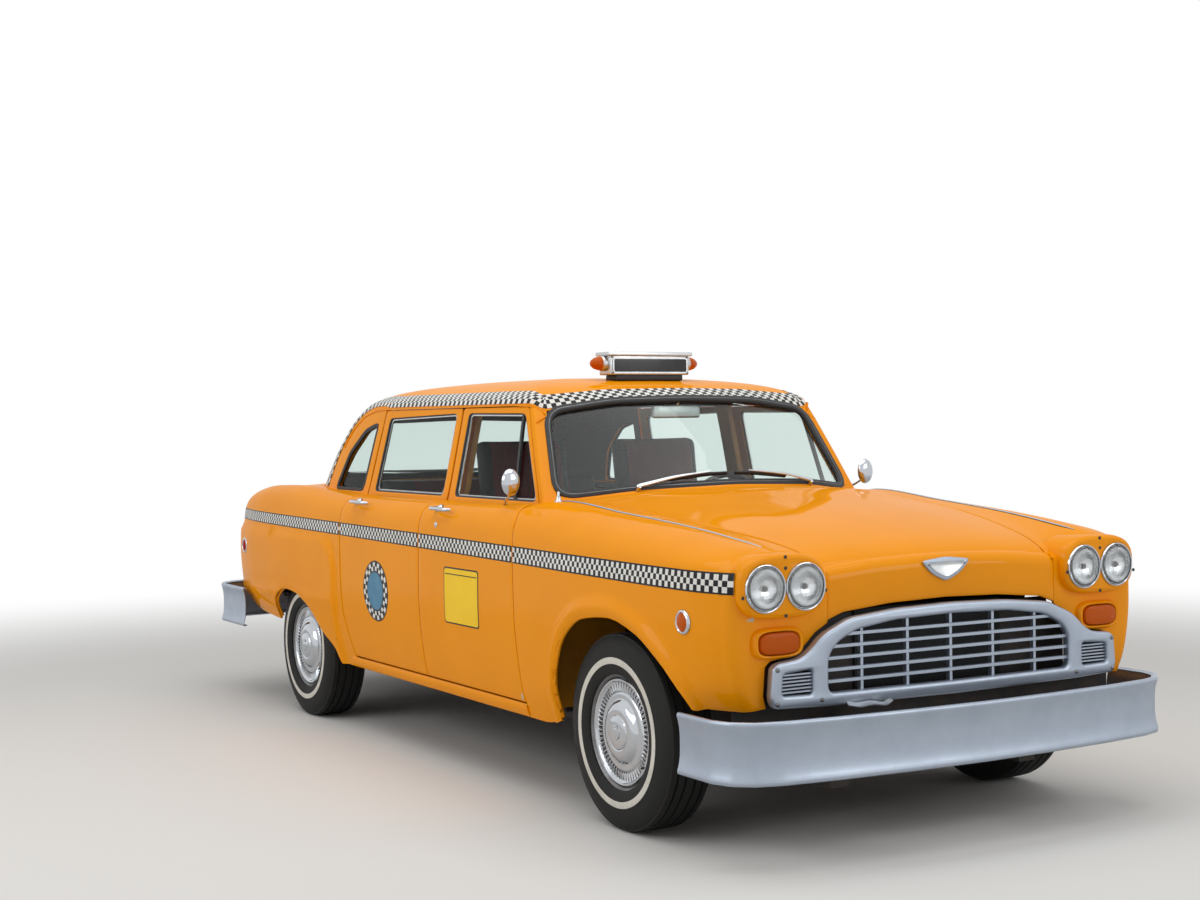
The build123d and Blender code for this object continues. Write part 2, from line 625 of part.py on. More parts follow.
def make_wheel(x, y, side):
    """Steel wheel with a full-width cover and a hub."""
    half = RIM_WIDTH / 2
    lip, seat = half - RIM_FLANGE, RIM_RADIUS + FLANGE_RISE
    rim = [(-half, seat), (-half, RIM_RADIUS - RIM_WALL), (half, RIM_RADIUS - RIM_WALL), (half, seat),
           (lip, seat), (lip, RIM_RADIUS), (-lip, RIM_RADIUS), (-lip, seat)]
    cover = [(half - 30, RIM_RADIUS - 4), (half - 8, RIM_RADIUS - 4), (half - 4, 150), (half - 10, 120),
             (half + 4, 96), (half + 16, 60), (half + 20, 0), (half - 44, 0), (half - 44, 120)]
    hub = [(half - 40, 0), (half - 40, HUB_RADIUS), (HUB_BACK, HUB_RADIUS),
           (HUB_BACK, SPINDLE_RADIUS + SPINDLE_FIT),
           (SPINDLE_END + 2, SPINDLE_RADIUS + SPINDLE_FIT), (SPINDLE_END + 2, 0)]
    rings = []
    for outline in (rim, cover, hub):
        rings.append(turned([(side * across, radius) for across, radius in outline], x, y))
    return rings[0] + rings[1] + rings[2]


WHEELS = (
    ("front_left", FRONT_AXLE_X, FRONT_TRACK / 2, 1), ("front_right", FRONT_AXLE_X, -FRONT_TRACK / 2, -1),
    ("rear_left", REAR_AXLE_X, REAR_TRACK / 2, 1), ("rear_right", REAR_AXLE_X, -REAR_TRACK / 2, -1),
)


def make_knuckle(side):
    """Steering knuckle: kingpin post, spindle and brake backing plate."""
    y = side * KINGPIN_Y
    post = cylinder("z", (FRONT_AXLE_X, y, AXLE_Z + 5), 26, 190)
    plate = cylinder("y", (FRONT_AXLE_X, side * (KINGPIN_Y + 40), AXLE_Z), 130, 14)
    reach = FRONT_TRACK / 2 + SPINDLE_END - KINGPIN_Y
    spindle = cylinder("y", (FRONT_AXLE_X, side * (KINGPIN_Y + reach / 2), AXLE_Z), SPINDLE_RADIUS, reach)
    arm_span = sorted((y - side * 20, y + side * 5))
    arm = block(FRONT_AXLE_X - 150, FRONT_AXLE_X, *arm_span, AXLE_Z - 60, AXLE_Z - 38)
    return post + plate + spindle + arm


def make_chassis():
    """Ladder frame with cross members, front spring towers and bumper brackets."""
    low, high = RAIL_Z
    frame = None
    for side in (1, -1):
        inner, outer = side * RAIL_Y - RAIL_WIDTH / 2, side * RAIL_Y + RAIL_WIDTH / 2
        rail = block(REAR_AXLE_X + 480, 2330, inner, outer, low, high)
        rail += prism("y", [(REAR_AXLE_X + 500, low), (REAR_AXLE_X + 500, high), (REAR_AXLE_X + 250, 470),
                            (REAR_AXLE_X - 300, 470), (-2350, 445), (-2350, 375), (REAR_AXLE_X - 300, 400),
                            (REAR_AXLE_X + 250, 400)], inner, outer)
        rail += block(2300, BRACKET_END, inner, outer, 330, 420) + block(2300, 2340, inner, outer, low, 420)
        rail += block(-BRACKET_END, -2330, inner, outer, 410, 470)
        frame = rail if frame is None else frame + rail
    for x in (FRONT_AXLE_X + 420, FRONT_AXLE_X - 620, 250, -500):
        frame += block(x - 45, x + 45, -RAIL_Y, RAIL_Y, CROSS_Z, CROSS_Z + 42)
    frame += block(FRONT_AXLE_X - 110, FRONT_AXLE_X + 110, -RAIL_Y, RAIL_Y, low - 10, low + 70)
    for x in (REAR_AXLE_X + 380, -2270):
        frame += block(x - 40, x + 40, -RAIL_Y, RAIL_Y, 395, 450)
    for side in (1, -1):
        frame += block(FRONT_AXLE_X - 70, FRONT_AXLE_X + 70, *sorted((side * 400, side * TOWER_Y)), low, 560)
    for part in (FRONT_BUMPER, REAR_BUMPER):
        frame -= part
    for _, side in SIDES:
        for z in ARM_ROOT_ZS:
            frame -= cylinder("x", (FRONT_AXLE_X, side * TOWER_Y, z), ARM_PIVOT_RADIUS + BEAD_FIT, 400)
    return frame


def make_arms(side):
    """Upper and lower control arms of one front wheel."""
    pieces = None
    ball_y = side * (KINGPIN_Y - 30)
    root_y = side * TOWER_Y
    for z, ball_z, spread in zip(ARM_ROOT_ZS, (AXLE_Z - 112, AXLE_Z + 118), (190.0, 120.0)):
        for lean in (-1, 1):
            root = (FRONT_AXLE_X + lean * spread / 2, root_y, z)
            bar = tube_between(root, (FRONT_AXLE_X, ball_y, ball_z), 15)
            pieces = bar if pieces is None else pieces + bar
        pieces += cylinder("x", (FRONT_AXLE_X, root_y, z), ARM_PIVOT_RADIUS, spread + 60)
    return pieces


def make_rear_axle():
    """Live rear axle: tubes, differential housing and brake backing plates."""
    axle = cylinder("y", (REAR_AXLE_X, 0, AXLE_Z), AXLE_TUBE_RADIUS, REAR_TRACK - 120)
    axle += cylinder("y", (REAR_AXLE_X, 0, AXLE_Z), SPINDLE_RADIUS, REAR_TRACK + 2 * SPINDLE_END)
    axle += Pos(REAR_AXLE_X, 0, AXLE_Z) * Sphere(128)
    axle += cylinder("x", (REAR_AXLE_X + PINION_REACH / 2, 0, AXLE_Z), 48, PINION_REACH)
    for side in (1, -1):
        axle += cylinder("y", (REAR_AXLE_X, side * (REAR_TRACK / 2 - 72), AXLE_Z), 135, 16)
    return axle


def make_leaf_spring(side):
    """Stack of leaves from its front eye to its rear shackle, over the axle."""
    y0, y1 = side * SPRING_Y - 32, side * SPRING_Y + 32
    top = AXLE_Z - AXLE_TUBE_RADIUS
    outline = [(REAR_AXLE_X - 640, 330), (REAR_AXLE_X - 300, top - 24), (REAR_AXLE_X, top - 8),
               (REAR_AXLE_X + 300, top - 24), (REAR_AXLE_X + 620, 310), (REAR_AXLE_X + 620, 296),
               (REAR_AXLE_X + 300, top - 44), (REAR_AXLE_X, top - 52), (REAR_AXLE_X - 300, top - 44),
               (REAR_AXLE_X - 640, 316)]
    return prism("y", outline, y0, y1)


def make_floor():
    """Cabin floor with its tunnel."""
    floor = block(STEP_X, FIREWALL_X, -FLOOR_Y, FLOOR_Y, FLOOR_Z - FLOOR_THICK, FLOOR_Z)
    floor += block(STEP_X, FIREWALL_X, -TUNNEL_Y - 15, TUNNEL_Y + 15, FLOOR_Z, TUNNEL_Z + 15)
    return floor - block(STEP_X - 20, FIREWALL_X + 20, -TUNNEL_Y, TUNNEL_Y, 300, TUNNEL_Z)


def make_rear_floor():
    """Raised floor under the rear seat, the boot floor behind it, and the rear wheelhouses."""
    rear_z = 480
    floor = block(-1130, STEP_X, -660, 660, rear_z, rear_z + FLOOR_THICK)
    floor += block(STEP_X - FLOOR_THICK, STEP_X, -660, 660, FLOOR_Z - FLOOR_THICK, rear_z + 10)
    floor += block(-2330, -1110, -640, 640, BOOT_FLOOR_Z, BOOT_FLOOR_Z + FLOOR_THICK)
    floor -= block(STEP_X - 40, STEP_X + 20, -TUNNEL_Y, TUNNEL_Y, 300, TUNNEL_Z)
    house = block(REAR_AXLE_X - 400, REAR_AXLE_X + 400, 640, 652, 420, 752)
    house += BEHIND_SHEET & block(REAR_AXLE_X - 400, REAR_AXLE_X + 400, 640, 1100, 740, 752)
    return floor + house + mirror(house, Plane.XZ)


def make_seat(place, backs):
    """Seat: cushion and leaning backs, each from one side to the other of a pair of y."""
    x, z = place.back_x, place.base_z
    seat = block(x, x + SEAT_DEPTH, -place.width / 2, place.width / 2, z, z + SEAT_HEIGHT)
    foot = z + SEAT_HEIGHT - BACK_SUNK
    lean = place.lean
    for y0, y1 in backs:
        seat += prism("y", [(x, foot), (x + BACK_THICK, foot), (x + BACK_THICK - lean, place.top),
                            (x + BACK_THICK / 4 - lean, place.top)], y0, y1)
    return seat


def make_steering_wheel():
    """Two-spoke wheel on the column's upper end."""
    tilt = Pos(*COLUMN_TOP) * Rot(0, -(90 - STEERING_TILT), 0)
    wheel = tilt * Torus(STEERING_WHEEL_RADIUS, 13)
    wheel += tilt * Box(36, 2 * STEERING_WHEEL_RADIUS, 12)
    wheel += tilt * Cylinder(42, 40)
    return wheel


def column_point(distance):
    """Point on the steering column below the wheel."""
    angle = radians(STEERING_TILT)
    x, y, z = COLUMN_TOP
    return (x + distance * cos(angle), y, z - distance * sin(angle))


def make_dashboard():
    """Dashboard with the steering column fixed to it."""
    dash = prism("y", [(FIREWALL_X - 5, 800), (880, 760), (820, 800), (812, 985), (850, 1040),
                       (FIREWALL_X - 5, 1090)],
                 -660, 660)
    return dash + tube_between(column_point(40), column_point(640), 26)


def write(name, part):
    """Save one node."""
    part.label = name
    export_step(part, f"parts/{name}.step")


def main():
    """Make every piece."""
    os.makedirs("parts", exist_ok=True)
    shell = make_cabin_shell()
    write("cabin_shell", shell)
    write("firewall", make_firewall(shell))
    write("rear_bulkhead", make_rear_bulkhead(shell))
    write("hood", make_hood())
    write("trunk_lid", make_trunk_lid())
    write("tail_panel", make_tail_panel())
    write("grille", make_grille())
    for name, side in SIDES:
        write(f"side_frame_{name}", make_side_frame(side, shell))
        write(f"inner_apron_{name}", make_apron(side))
        write(f"front_fender_{name}", make_fender(side))
        write(f"quarter_panel_{name}", make_quarter(side))
        for which in DOORS:
            write(f"{which}_door_{name}", make_door(which, side))
            window = DOORS[which][1]
            write(f"{which}_door_glass_{name}", GLASS_SKIN & prism("y", window, *side_span(side)))
        write(f"knuckle_{name}", make_knuckle(side))
    write("windscreen", GLASS_SKIN & WINDSCREEN_CUT)
    write("back_window", GLASS_SKIN & BACK_WINDOW_CUT)
    write("quarter_glass", Compound(children=[GLASS_SKIN & prism("y", QUARTER_WINDOW, *side_span(side))
                                              for _, side in SIDES]))
    lamp_x = NOSE_X + POD_REACH - 4 - LAMP_DEPTH / 2
    lamps = [cylinder("x", (lamp_x, side * y, LAMP_Z), LAMP_RADIUS, LAMP_DEPTH)
             for _, side in SIDES for y in LAMP_YS]
    write("headlamps", Compound(children=lamps))
    amber = [rounded_plate(side * SIGNAL_Y, SIGNAL_Z, -2, NOSE_X - 30, NOSE_X + 24) for _, side in SIDES]
    amber += [marker(MARKER_FRONT, side) for _, side in SIDES]
    write("amber_lamps", Compound(children=amber))
    red = [marker(MARKER_REAR, side) for _, side in SIDES]
    red += [tail_lamp(side, z) for _, side in SIDES for z in TAIL_LAMP_ZS]
    write("red_lamps", Compound(children=red))
    write("front_bumper", FRONT_BUMPER)
    write("rear_bumper", REAR_BUMPER)
    sign = block(395, 495, -202, 202, 1634, 1722) + block(385, 505, -214, 214, 1722, 1738)
    for _, side in SIDES:
        sign += cylinder("y", (445, side * 238, 1688), 36, 80)
    sign += block(405, 485, -150, 150, 1590, 1640)
    write("roof_sign", sign - UPPER)
    write("chassis_frame", make_chassis())
    write("control_arms", Compound(children=[make_arms(side) for _, side in SIDES]))
    write("rear_axle", make_rear_axle())
    write("leaf_springs", Compound(children=[make_leaf_spring(side) for _, side in SIDES]))
    write("floor_pan", make_floor())
    write("rear_floor", make_rear_floor())
    y0, y1 = HIGH_BACK
    front_seat = make_seat(FRONT_SEAT, (HIGH_BACK, (-y1, -y0)))
    for x in (40, 400):
        for y in (-450, 450):
            front_seat += block(x - 40, x + 40, y - 30, y + 30, FLOOR_Z, FLOOR_Z + 70)
    over_tunnel = block(-100, SEAT_DEPTH + 20, -TUNNEL_Y - 30, TUNNEL_Y + 30, 300, TUNNEL_Z + 25)
    write("front_seat", front_seat - over_tunnel)
    half = REAR_SEAT.width / 2
    write("rear_seat", make_seat(REAR_SEAT, ((-half, half),)))
    write("dashboard", make_dashboard())
    write("steering_wheel", make_steering_wheel())
    write("engine_block", block(1330, 2010, -230, 230, 330, 930)
          + block(GEARBOX_REAR_X, 1340, -95, 95, 300, TUNNEL_Z - 8))
    write("radiator", block(2250, 2310, -330, 330, 430, 800))
    write("propeller_shaft", cylinder(
        "x", ((GEARBOX_REAR_X + REAR_AXLE_X + PINION_REACH) / 2, 0, AXLE_Z), SHAFT_RADIUS,
        GEARBOX_REAR_X - REAR_AXLE_X - PINION_REACH))
    write("fuel_tank", block(-2200, -1640, -360, 360, 300, 480))
    write("exhaust_pipe", tube_between((1300, -300, EXHAUST_Z), (-2440, -300, EXHAUST_Z), 24)
          + tube_between((-360, -300, EXHAUST_Z), (170, -300, EXHAUST_Z), 62))
    for name, x, y, side in WHEELS:
        write(f"tyre_{name}", make_tyre(x, y))
        write(f"wheel_{name}", make_wheel(x, y, side))


def marker(place_xz, side, gap=0.0):
    """Round side marker lamp set into the body's side."""
    x, z = place_xz
    return cylinder("y", (x, side * 925, z), MARKER_RADIUS + gap, 60)


def tail_lamp(side, z, gap=0.0):
    """Round lamp set into the rear face."""
    return cylinder("x", (BODY[0].x, side * TAIL_LAMP_Y, z), TAIL_LAMP_RADIUS + gap, 60)


if __name__ == "__main__":
    main()
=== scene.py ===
"""Four-door taxi cab of the classic American kind, dressed for a studio picture.

Metres. +X is forward, +Y is the driver's side, +Z is up, and the ground is at zero. The tables are in
millimetres, as a body drawing gives them, and MM turns them to metres.
"""
import logging
import math
from dataclasses import dataclass, field
from enum import Enum
from typing import Callable, Iterable, Sequence

import bmesh
import bpy
import numpy as np
from mathutils import Matrix, Vector
from mathutils.bvhtree import BVHTree


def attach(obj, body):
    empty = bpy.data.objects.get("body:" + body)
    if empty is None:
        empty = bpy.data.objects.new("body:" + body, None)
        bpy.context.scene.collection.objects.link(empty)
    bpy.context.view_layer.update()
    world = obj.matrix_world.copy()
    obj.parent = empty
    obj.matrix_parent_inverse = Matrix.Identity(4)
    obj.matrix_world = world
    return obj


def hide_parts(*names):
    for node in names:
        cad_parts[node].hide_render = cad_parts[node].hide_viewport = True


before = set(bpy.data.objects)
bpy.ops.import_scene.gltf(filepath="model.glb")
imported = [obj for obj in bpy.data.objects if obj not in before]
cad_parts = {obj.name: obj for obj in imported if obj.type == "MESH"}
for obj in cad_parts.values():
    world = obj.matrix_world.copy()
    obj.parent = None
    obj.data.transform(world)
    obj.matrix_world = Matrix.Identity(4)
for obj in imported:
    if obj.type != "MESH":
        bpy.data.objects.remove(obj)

LOG = logging.getLogger("cab")
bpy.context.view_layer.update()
MM = 0.001

Point2 = tuple[float, float]
Point3 = tuple[float, float, float]
Outline = Sequence[Point2]
Grid = np.ndarray
Bound = Callable[[Grid, Grid], Grid]
Object = bpy.types.Object

SIDES = (("left", 1), ("right", -1))

# Body drawing: sections of the lower body, x sill_y sill_z low_y side_y belt_y belt_z crown_y crown_z
# valley_y valley_z centre_z
BODY = (
    (-2415, 735, 520, 780, 790, 782, 930, 690, 985, 600, 975, 985),
    (-2370, 775, 500, 828, 842, 832, 965, 735, 1045, 640, 1040, 1052),
    (-2200, 825, 480, 888, 905, 888, 1000, 775, 1098, 690, 1090, 1108),
    (-1900, 865, 462, 925, 945, 918, 1010, 800, 1126, 710, 1120, 1142),
    (-1500, 880, 440, 937, 955, 926, 1008, 815, 1134, 730, 1130, 1152),
    (-1100, 885, 330, 926, 946, 930, 1003, 830, 1118, 760, 1122, 1130),
    (-700, 880, 306, 915, 936, 930, 998, 848, 1106, 780, 1112, 1114),
    (150, 880, 304, 914, 935, 930, 992, 850, 1106, 780, 1112, 1114),
    (900, 880, 302, 916, 937, 930, 985, 828, 1116, 770, 1124, 1140),
    (1115, 882, 302, 925, 942, 932, 980, 778, 1134, 700, 1136, 1172),
    (1500, 890, 400, 938, 952, 938, 972, 757, 1104, 640, 1104, 1132),
    (1900, 890, 485, 937, 952, 938, 962, 748, 1072, 600, 1060, 1086),
    (2200, 872, 492, 915, 938, 930, 950, 738, 1038, 560, 1008, 1030),
    (2330, 850, 497, 890, 912, 905, 940, 726, 1020, 540, 962, 985),
    (2395, 815, 500, 850, 868, 862, 925, 705, 995, 520, 890, 925),
)
# Plan outlines of the upper body: z front_x front_mid_x glass_x glass_y pillar_x pillar_y side_y
# rear_side_x rear_side_y rear_corner_x rear_corner_y rear_mid_x rear_x
CABIN = (
    (1085, 1190, 1118, 965, 738, 950, 785, 800, -1330, 785, -1520, 705, -1690, -1722),
    (1140, 1165, 1094, 934, 722, 920, 768, 785, -1310, 770, -1500, 695, -1650, -1682),
    (1300, 1005, 954, 837, 690, 823, 735, 750, -1230, 735, -1410, 655, -1520, -1550),
    (1450, 855, 822, 746, 655, 732, 700, 718, -1110, 700, -1280, 600, -1370, -1395),
    (1500, 805, 777, 714, 642, 700, 687, 708, -1040, 685, -1200, 575, -1290, -1315),
    (1532, 770, 745, 690, 630, 678, 677, 700, -990, 670, -1130, 550, -1215, -1240),
    (1582, 660, 635, 560, 580, 545, 595, 608, -860, 580, -980, 480, -1050, -1070),
    (1612, 480, 462, 390, 450, 375, 460, 470, -640, 440, -740, 380, -800, -820),
    (1630, 230, 221, 175, 240, 165, 245, 250, -330, 240, -400, 200, -430, -440),
)
ROOF_TOP: Point3 = (-105, 0, 1635)

# Edges seen from the side, as (x, z), and from the front, as (y, z)
GAP = 5.0
DOOR_BOTTOM = 362.0
DOOR_TOP = 1503.0
SHOULDER_Y = 806.0
FRONT_EDGE = ((1003, 362), (968, 960), (950, 1060), (905, 1118), (672, 1503))
MEETING_X = 100.0
REAR_EDGE = ((-692, 362), (-728, 450), (-770, 560), (-785, 960), (-770, 1110), (-724, 1503))
FRONT_WINDOW = ((882, 1126), (160, 1126), (160, 1482), (662, 1476))
REAR_WINDOW = ((44, 1126), (-700, 1126), (-672, 1466), (44, 1482))
QUARTER_WINDOW = ((-840, 1126), (-1195, 1128), (-1100, 1300), (-945, 1408), (-800, 1440))
WINDSCREEN = ((0, 1190), (420, 1178), (712, 1146), (640, 1486), (350, 1526), (0, 1534))
BACK_WINDOW = ((0, 1180), (620, 1188), (520, 1458), (0, 1474))
FRONT_AXLE_X = 1715.0
REAR_AXLE_X = -1333.0
FRONT_ARCH = ((-450, 250), (-425, 350), (-395, 520), (-300, 672), (-160, 745), (20, 762), (190, 726),
              (320, 650), (405, 560), (440, 470), (440, 250))
REAR_ARCH = ((-400, 250), (-385, 400), (-345, 490), (-260, 580), (-120, 628), (50, 616), (200, 545),
             (330, 445), (440, 375), (480, 250))
HOOD_EDGE = ((1195, 672), (1450, 655), (1800, 615), (2100, 548), (2300, 508), (2395, 500))
HOOD_REAR = 1195.0
LID_FRONT = -1745.0
LID_Y = 585.0
NOSE_X = 2395.0
TAIL_X = -2415.0
GRILLE_OUTLINE = ((0, 494), (560, 500), (752, 508), (765, 540), (756, 640), (735, 655), (648, 664),
                  (604, 690), (555, 736), (440, 784), (240, 802), (0, 808))


def smooth_through(knots: Grid, values: Grid, at: Grid) -> Grid:
    """Smooth curve through table values, without overshoot between them.

    Args:
        knots: Rising positions of the table's rows.
        values: One row of numbers at each position.
        at: Positions wanted.

    Returns:
        One row of numbers at each wanted position.
    """
    step = np.diff(knots)
    rise = np.diff(values, axis=0) / step[:, None]
    slope = np.zeros_like(values)
    slope[0], slope[-1] = rise[0], rise[-1]
    same = rise[:-1] * rise[1:] > 0
    pair = np.where(same, rise[:-1] + rise[1:], 1.0)
    slope[1:-1] = np.where(same, 2 * rise[:-1] * rise[1:] / pair, 0.0)
    i = np.clip(np.searchsorted(knots, at, side="right") - 1, 0, len(knots) - 2)
    t = ((at - knots[i]) / step[i])[:, None]
    h = step[i][:, None]
    return (values[i] * (1 + 2 * t) * (1 - t) ** 2 + values[i + 1] * t ** 2 * (3 - 2 * t)
            + slope[i] * h * t * (1 - t) ** 2 - slope[i + 1] * h * t ** 2 * (1 - t))


def curve(points: Sequence[Sequence[float]] | Grid, count: int) -> Grid:
    """Smooth curve through given points, as a number of new points."""
    last = len(points) - 1
    return smooth_through(np.linspace(0, last, last + 1), np.array(points, float), np.linspace(0, last, count))


def run_of(line: Grid) -> Grid:
    """Distance along a line at each of its points."""
    return np.concatenate([[0], np.cumsum(np.linalg.norm(np.diff(line, axis=0), axis=1))])


def along(line: Outline, at: Grid | float, back: bool = False) -> Grid:
    """Second coordinate of a line of points where the first has a value, or the reverse.

    Args:
        line: Points (u, v).
        at: Values of u, or of v with back.
        back: Look up v and give u.

    Returns:
        The other coordinate at each value.
    """
    pairs = sorted((v, u) if back else (u, v) for u, v in line)
    return np.interp(at, [p[0] for p in pairs], [p[1] for p in pairs])


def ease(low: float, high: float, value: Grid) -> Grid:
    """Smooth step from 0 at low to 1 at high."""
    t = np.clip((value - low) / (high - low), 0, 1)
    return t * t * (3 - 2 * t)


class Skin:
    """Smooth surface sampled on a fine grid of two parameters, in millimetres."""

    def __init__(self, a: Grid, b: Grid, points: Grid) -> None:
        """Keep the samples.

        Args:
            a: Values of the first parameter.
            b: Values of the second parameter.
            points: Samples, one for each pair.
        """
        self.a, self.b, self.points = a, b, points

    def at(self, a: Grid, b: Grid) -> Grid:
        """Points of the surface at parameter pairs."""
        fa = np.interp(a, self.a, np.arange(len(self.a)))
        fb = np.interp(b, self.b, np.arange(len(self.b)))
        ia = np.clip(fa.astype(int), 0, len(self.a) - 2)
        ib = np.clip(fb.astype(int), 0, len(self.b) - 2)
        ta, tb = (fa - ia)[..., None], (fb - ib)[..., None]
        p = self.points
        return ((p[ia, ib] * (1 - ta) + p[ia + 1, ib] * ta) * (1 - tb)
                + (p[ia, ib + 1] * (1 - ta) + p[ia + 1, ib + 1] * ta) * tb)

    def inverse(self, axis: int, low: float, high: float, second: bool) -> Callable[[Grid, Grid], Grid]:
        """Table that gives one parameter from a coordinate.

        Args:
            axis: Coordinate to look up, 0, 1 or 2.
            low: Lowest value of the wanted parameter.
            high: Its highest value, the coordinate running one way between them.
            second: The wanted parameter is b, and a is known.

        Returns:
            Function of the known parameter and the coordinate.
        """
        wanted, known = (self.b, self.a) if second else (self.a, self.b)
        table = self.points[:, :, axis] if second else self.points[:, :, axis].T
        inside = (wanted >= low) & (wanted <= high)
        values = np.linspace(table[:, inside].min(), table[:, inside].max(), 700)
        rows = []
        for row in table[:, inside]:
            order = np.argsort(row)
            rows.append(np.interp(values, row[order], wanted[inside][order]))
        found = Skin(known, values, np.array(rows)[..., None])
        return lambda given, value: found.at(*np.broadcast_arrays(given, value))[..., 0]


def make_lower() -> Skin:
    """Smooth lower body, left half: x along it, and 0 at the sill to 8 at the centreline round it."""
    table = np.array(BODY, float)
    xs = np.linspace(TAIL_X, NOSE_X, 482)
    rows = smooth_through(table[:, 0], table[:, 1:], xs)
    t = np.linspace(0, 8, 321)
    points = np.zeros((len(xs), len(t), 3))
    for i, (x, s) in enumerate(zip(xs, rows)):
        sill_y, sill_z, low_y, side_y, belt_y, belt_z, crown_y, crown_z, valley_y, valley_z, centre_z = s
        high = belt_z - sill_z
        half = [(sill_y, sill_z), (low_y, sill_z + 0.22 * high), (side_y, sill_z + 0.6 * high), (belt_y, belt_z),
                (crown_y + 0.62 * (belt_y - crown_y), crown_z - 0.28 * (crown_z - belt_z)), (crown_y, crown_z),
                (valley_y, valley_z), (valley_y * 0.5, centre_z - 0.26 * (centre_z - valley_z)), (0, centre_z)]
        half.append((-half[-2][0], half[-2][1]))
        points[i, :, 1:] = smooth_through(np.arange(10.0), np.array(half), t)
        points[i, :, 0] = x
    return Skin(xs, t, points)


def make_upper() -> Skin:
    """Smooth upper body, left half: 0 at the front to 9 at the back round it, and levels 0 to 9 up it."""
    levels = []
    for z, front, front_mid, glass, glass_y, post, post_y, side_y, rs, rs_y, rc, rc_y, rear_mid, rear in CABIN:
        half = [(front, 0), (front_mid, 0.55 * glass_y), (glass, glass_y), (post, post_y), (0.5 * post, side_y),
                (0.6 * rs, side_y), (rs, rs_y), (rc, rc_y), (rear_mid, 0.55 * rc_y), (rear, 0)]
        half = [(half[1][0], -half[1][1])] + half + [(half[-2][0], -half[-2][1])]
        levels.append([(x, y, z) for x, y in half])
    levels.append([ROOF_TOP] * 12)
    levels = np.array(levels, float)
    v = np.linspace(0, 9, 541)
    w = np.linspace(0, 9, 361)
    rings = np.array([smooth_through(np.arange(-1.0, 11.0), ring, v) for ring in levels])
    points = smooth_through(np.arange(10.0), rings.reshape(10, -1), w).reshape(len(w), len(v), 3)
    return Skin(v, w, points.transpose(1, 0, 2))


LOWER = make_lower()
UPPER = make_upper()
LOWER_T_AT_Z = LOWER.inverse(2, 0.0, 5.0, True)
LOWER_T_AT_Y = LOWER.inverse(1, 3.2, 8.0, True)
UPPER_W_AT_Z = UPPER.inverse(2, 0.0, 9.0, True)
UPPER_V_AT_X = UPPER.inverse(0, 2.0, 7.6, False)
UPPER_FRONT_V_AT_Y = UPPER.inverse(1, 0.0, 3.0, False)
UPPER_REAR_V_AT_Y = UPPER.inverse(1, 6.2, 9.0, False)


def side_point(x: Grid, z: Grid) -> Grid:
    """Points of the lower body's side, left, in millimetres."""
    return LOWER.at(x, LOWER_T_AT_Z(x, z))


def upper_side_point(x: Grid, z: Grid) -> Grid:
    """Points of the upper body's side, left, in millimetres."""
    w = UPPER_W_AT_Z(5.0, z)
    return UPPER.at(UPPER_V_AT_X(w, x), w)


def upper_end_point(y: Grid, z: Grid, rear: bool = False) -> Grid:
    """Points of the front or rear glass area for y on the left, in millimetres."""
    w = UPPER_W_AT_Z(8.5 if rear else 0.5, z)
    return UPPER.at((UPPER_REAR_V_AT_Y if rear else UPPER_FRONT_V_AT_Y)(w, np.abs(y)), w) * np.where(
        np.stack([y, y, y], -1) < 0, (1, -1, 1), (1, 1, 1))


def normals(points: Grid, out: Point3) -> Grid:
    """Unit normals of a grid of points.

    Args:
        points: Grid of points.
        out: Rough direction that the surface faces on average.

    Returns:
        One normal at each point.
    """
    n = np.cross(np.gradient(points, axis=0), np.gradient(points, axis=1))
    n /= np.maximum(np.linalg.norm(n, axis=-1, keepdims=True), 1e-9)
    return n if (n.reshape(-1, 3).mean(0) @ np.array(out)) > 0 else -n


def spaced(count: int, length: float, edge: float = 3.0) -> Grid:
    """Positions from 0 to 1 with one close to each end, where a panel's edge is rolled."""
    near = min(edge / length, 0.2 / count)
    return np.concatenate([[0.0], np.linspace(near, 1 - near, count), [1.0]])


def solve_patch(s: Grid, r: Grid, left: Bound, right: Bound, bottom: Bound, top: Bound,
                start: Point2) -> tuple[Grid, Grid]:
    """Spread a grid of parameter pairs between four curved edges.

    Args:
        s: Positions from the left edge to the right.
        r: Positions from the bottom edge to the top.
        left: First parameter at the left edge, from the pair.
        right: First parameter at the right edge.
        bottom: Second parameter at the bottom edge.
        top: Second parameter at the top edge.
        start: A pair inside the patch.

    Returns:
        The two grids of parameters.
    """
    a = np.full((len(s), len(r)), float(start[0]))
    b = np.full_like(a, float(start[1]))
    for _ in range(9):
        low, high = left(a, b), right(a, b)
        a = low + s[:, None] * (high - low)
        low, high = bottom(a, b), top(a, b)
        b = low + r[None, :] * (high - low)
    return a, b


def fixed(value: float) -> Bound:
    """Edge at one value of its parameter."""
    return lambda a, b: np.full_like(a, float(value))


def rounded(outline: Outline, radius: float, count: int = 5) -> list[Point2]:
    """Closed outline with its corners rounded.

    Args:
        outline: Corner points.
        radius: Largest corner radius.
        count: Points for each corner.

    Returns:
        The rounded outline.
    """
    made = []
    for i, corner in enumerate(outline):
        before, at, after = (np.array(p, float) for p in (outline[i - 1], corner, outline[(i + 1) % len(outline)]))
        first, last = before - at, after - at
        reach = min(radius, 0.45 * np.linalg.norm(first), 0.45 * np.linalg.norm(last))
        start = at + first / np.linalg.norm(first) * reach
        end = at + last / np.linalg.norm(last) * reach
        for t in np.linspace(0, 1, count):
            made.append(tuple((1 - t) ** 2 * start + 2 * t * (1 - t) * at + t ** 2 * end))
    return made


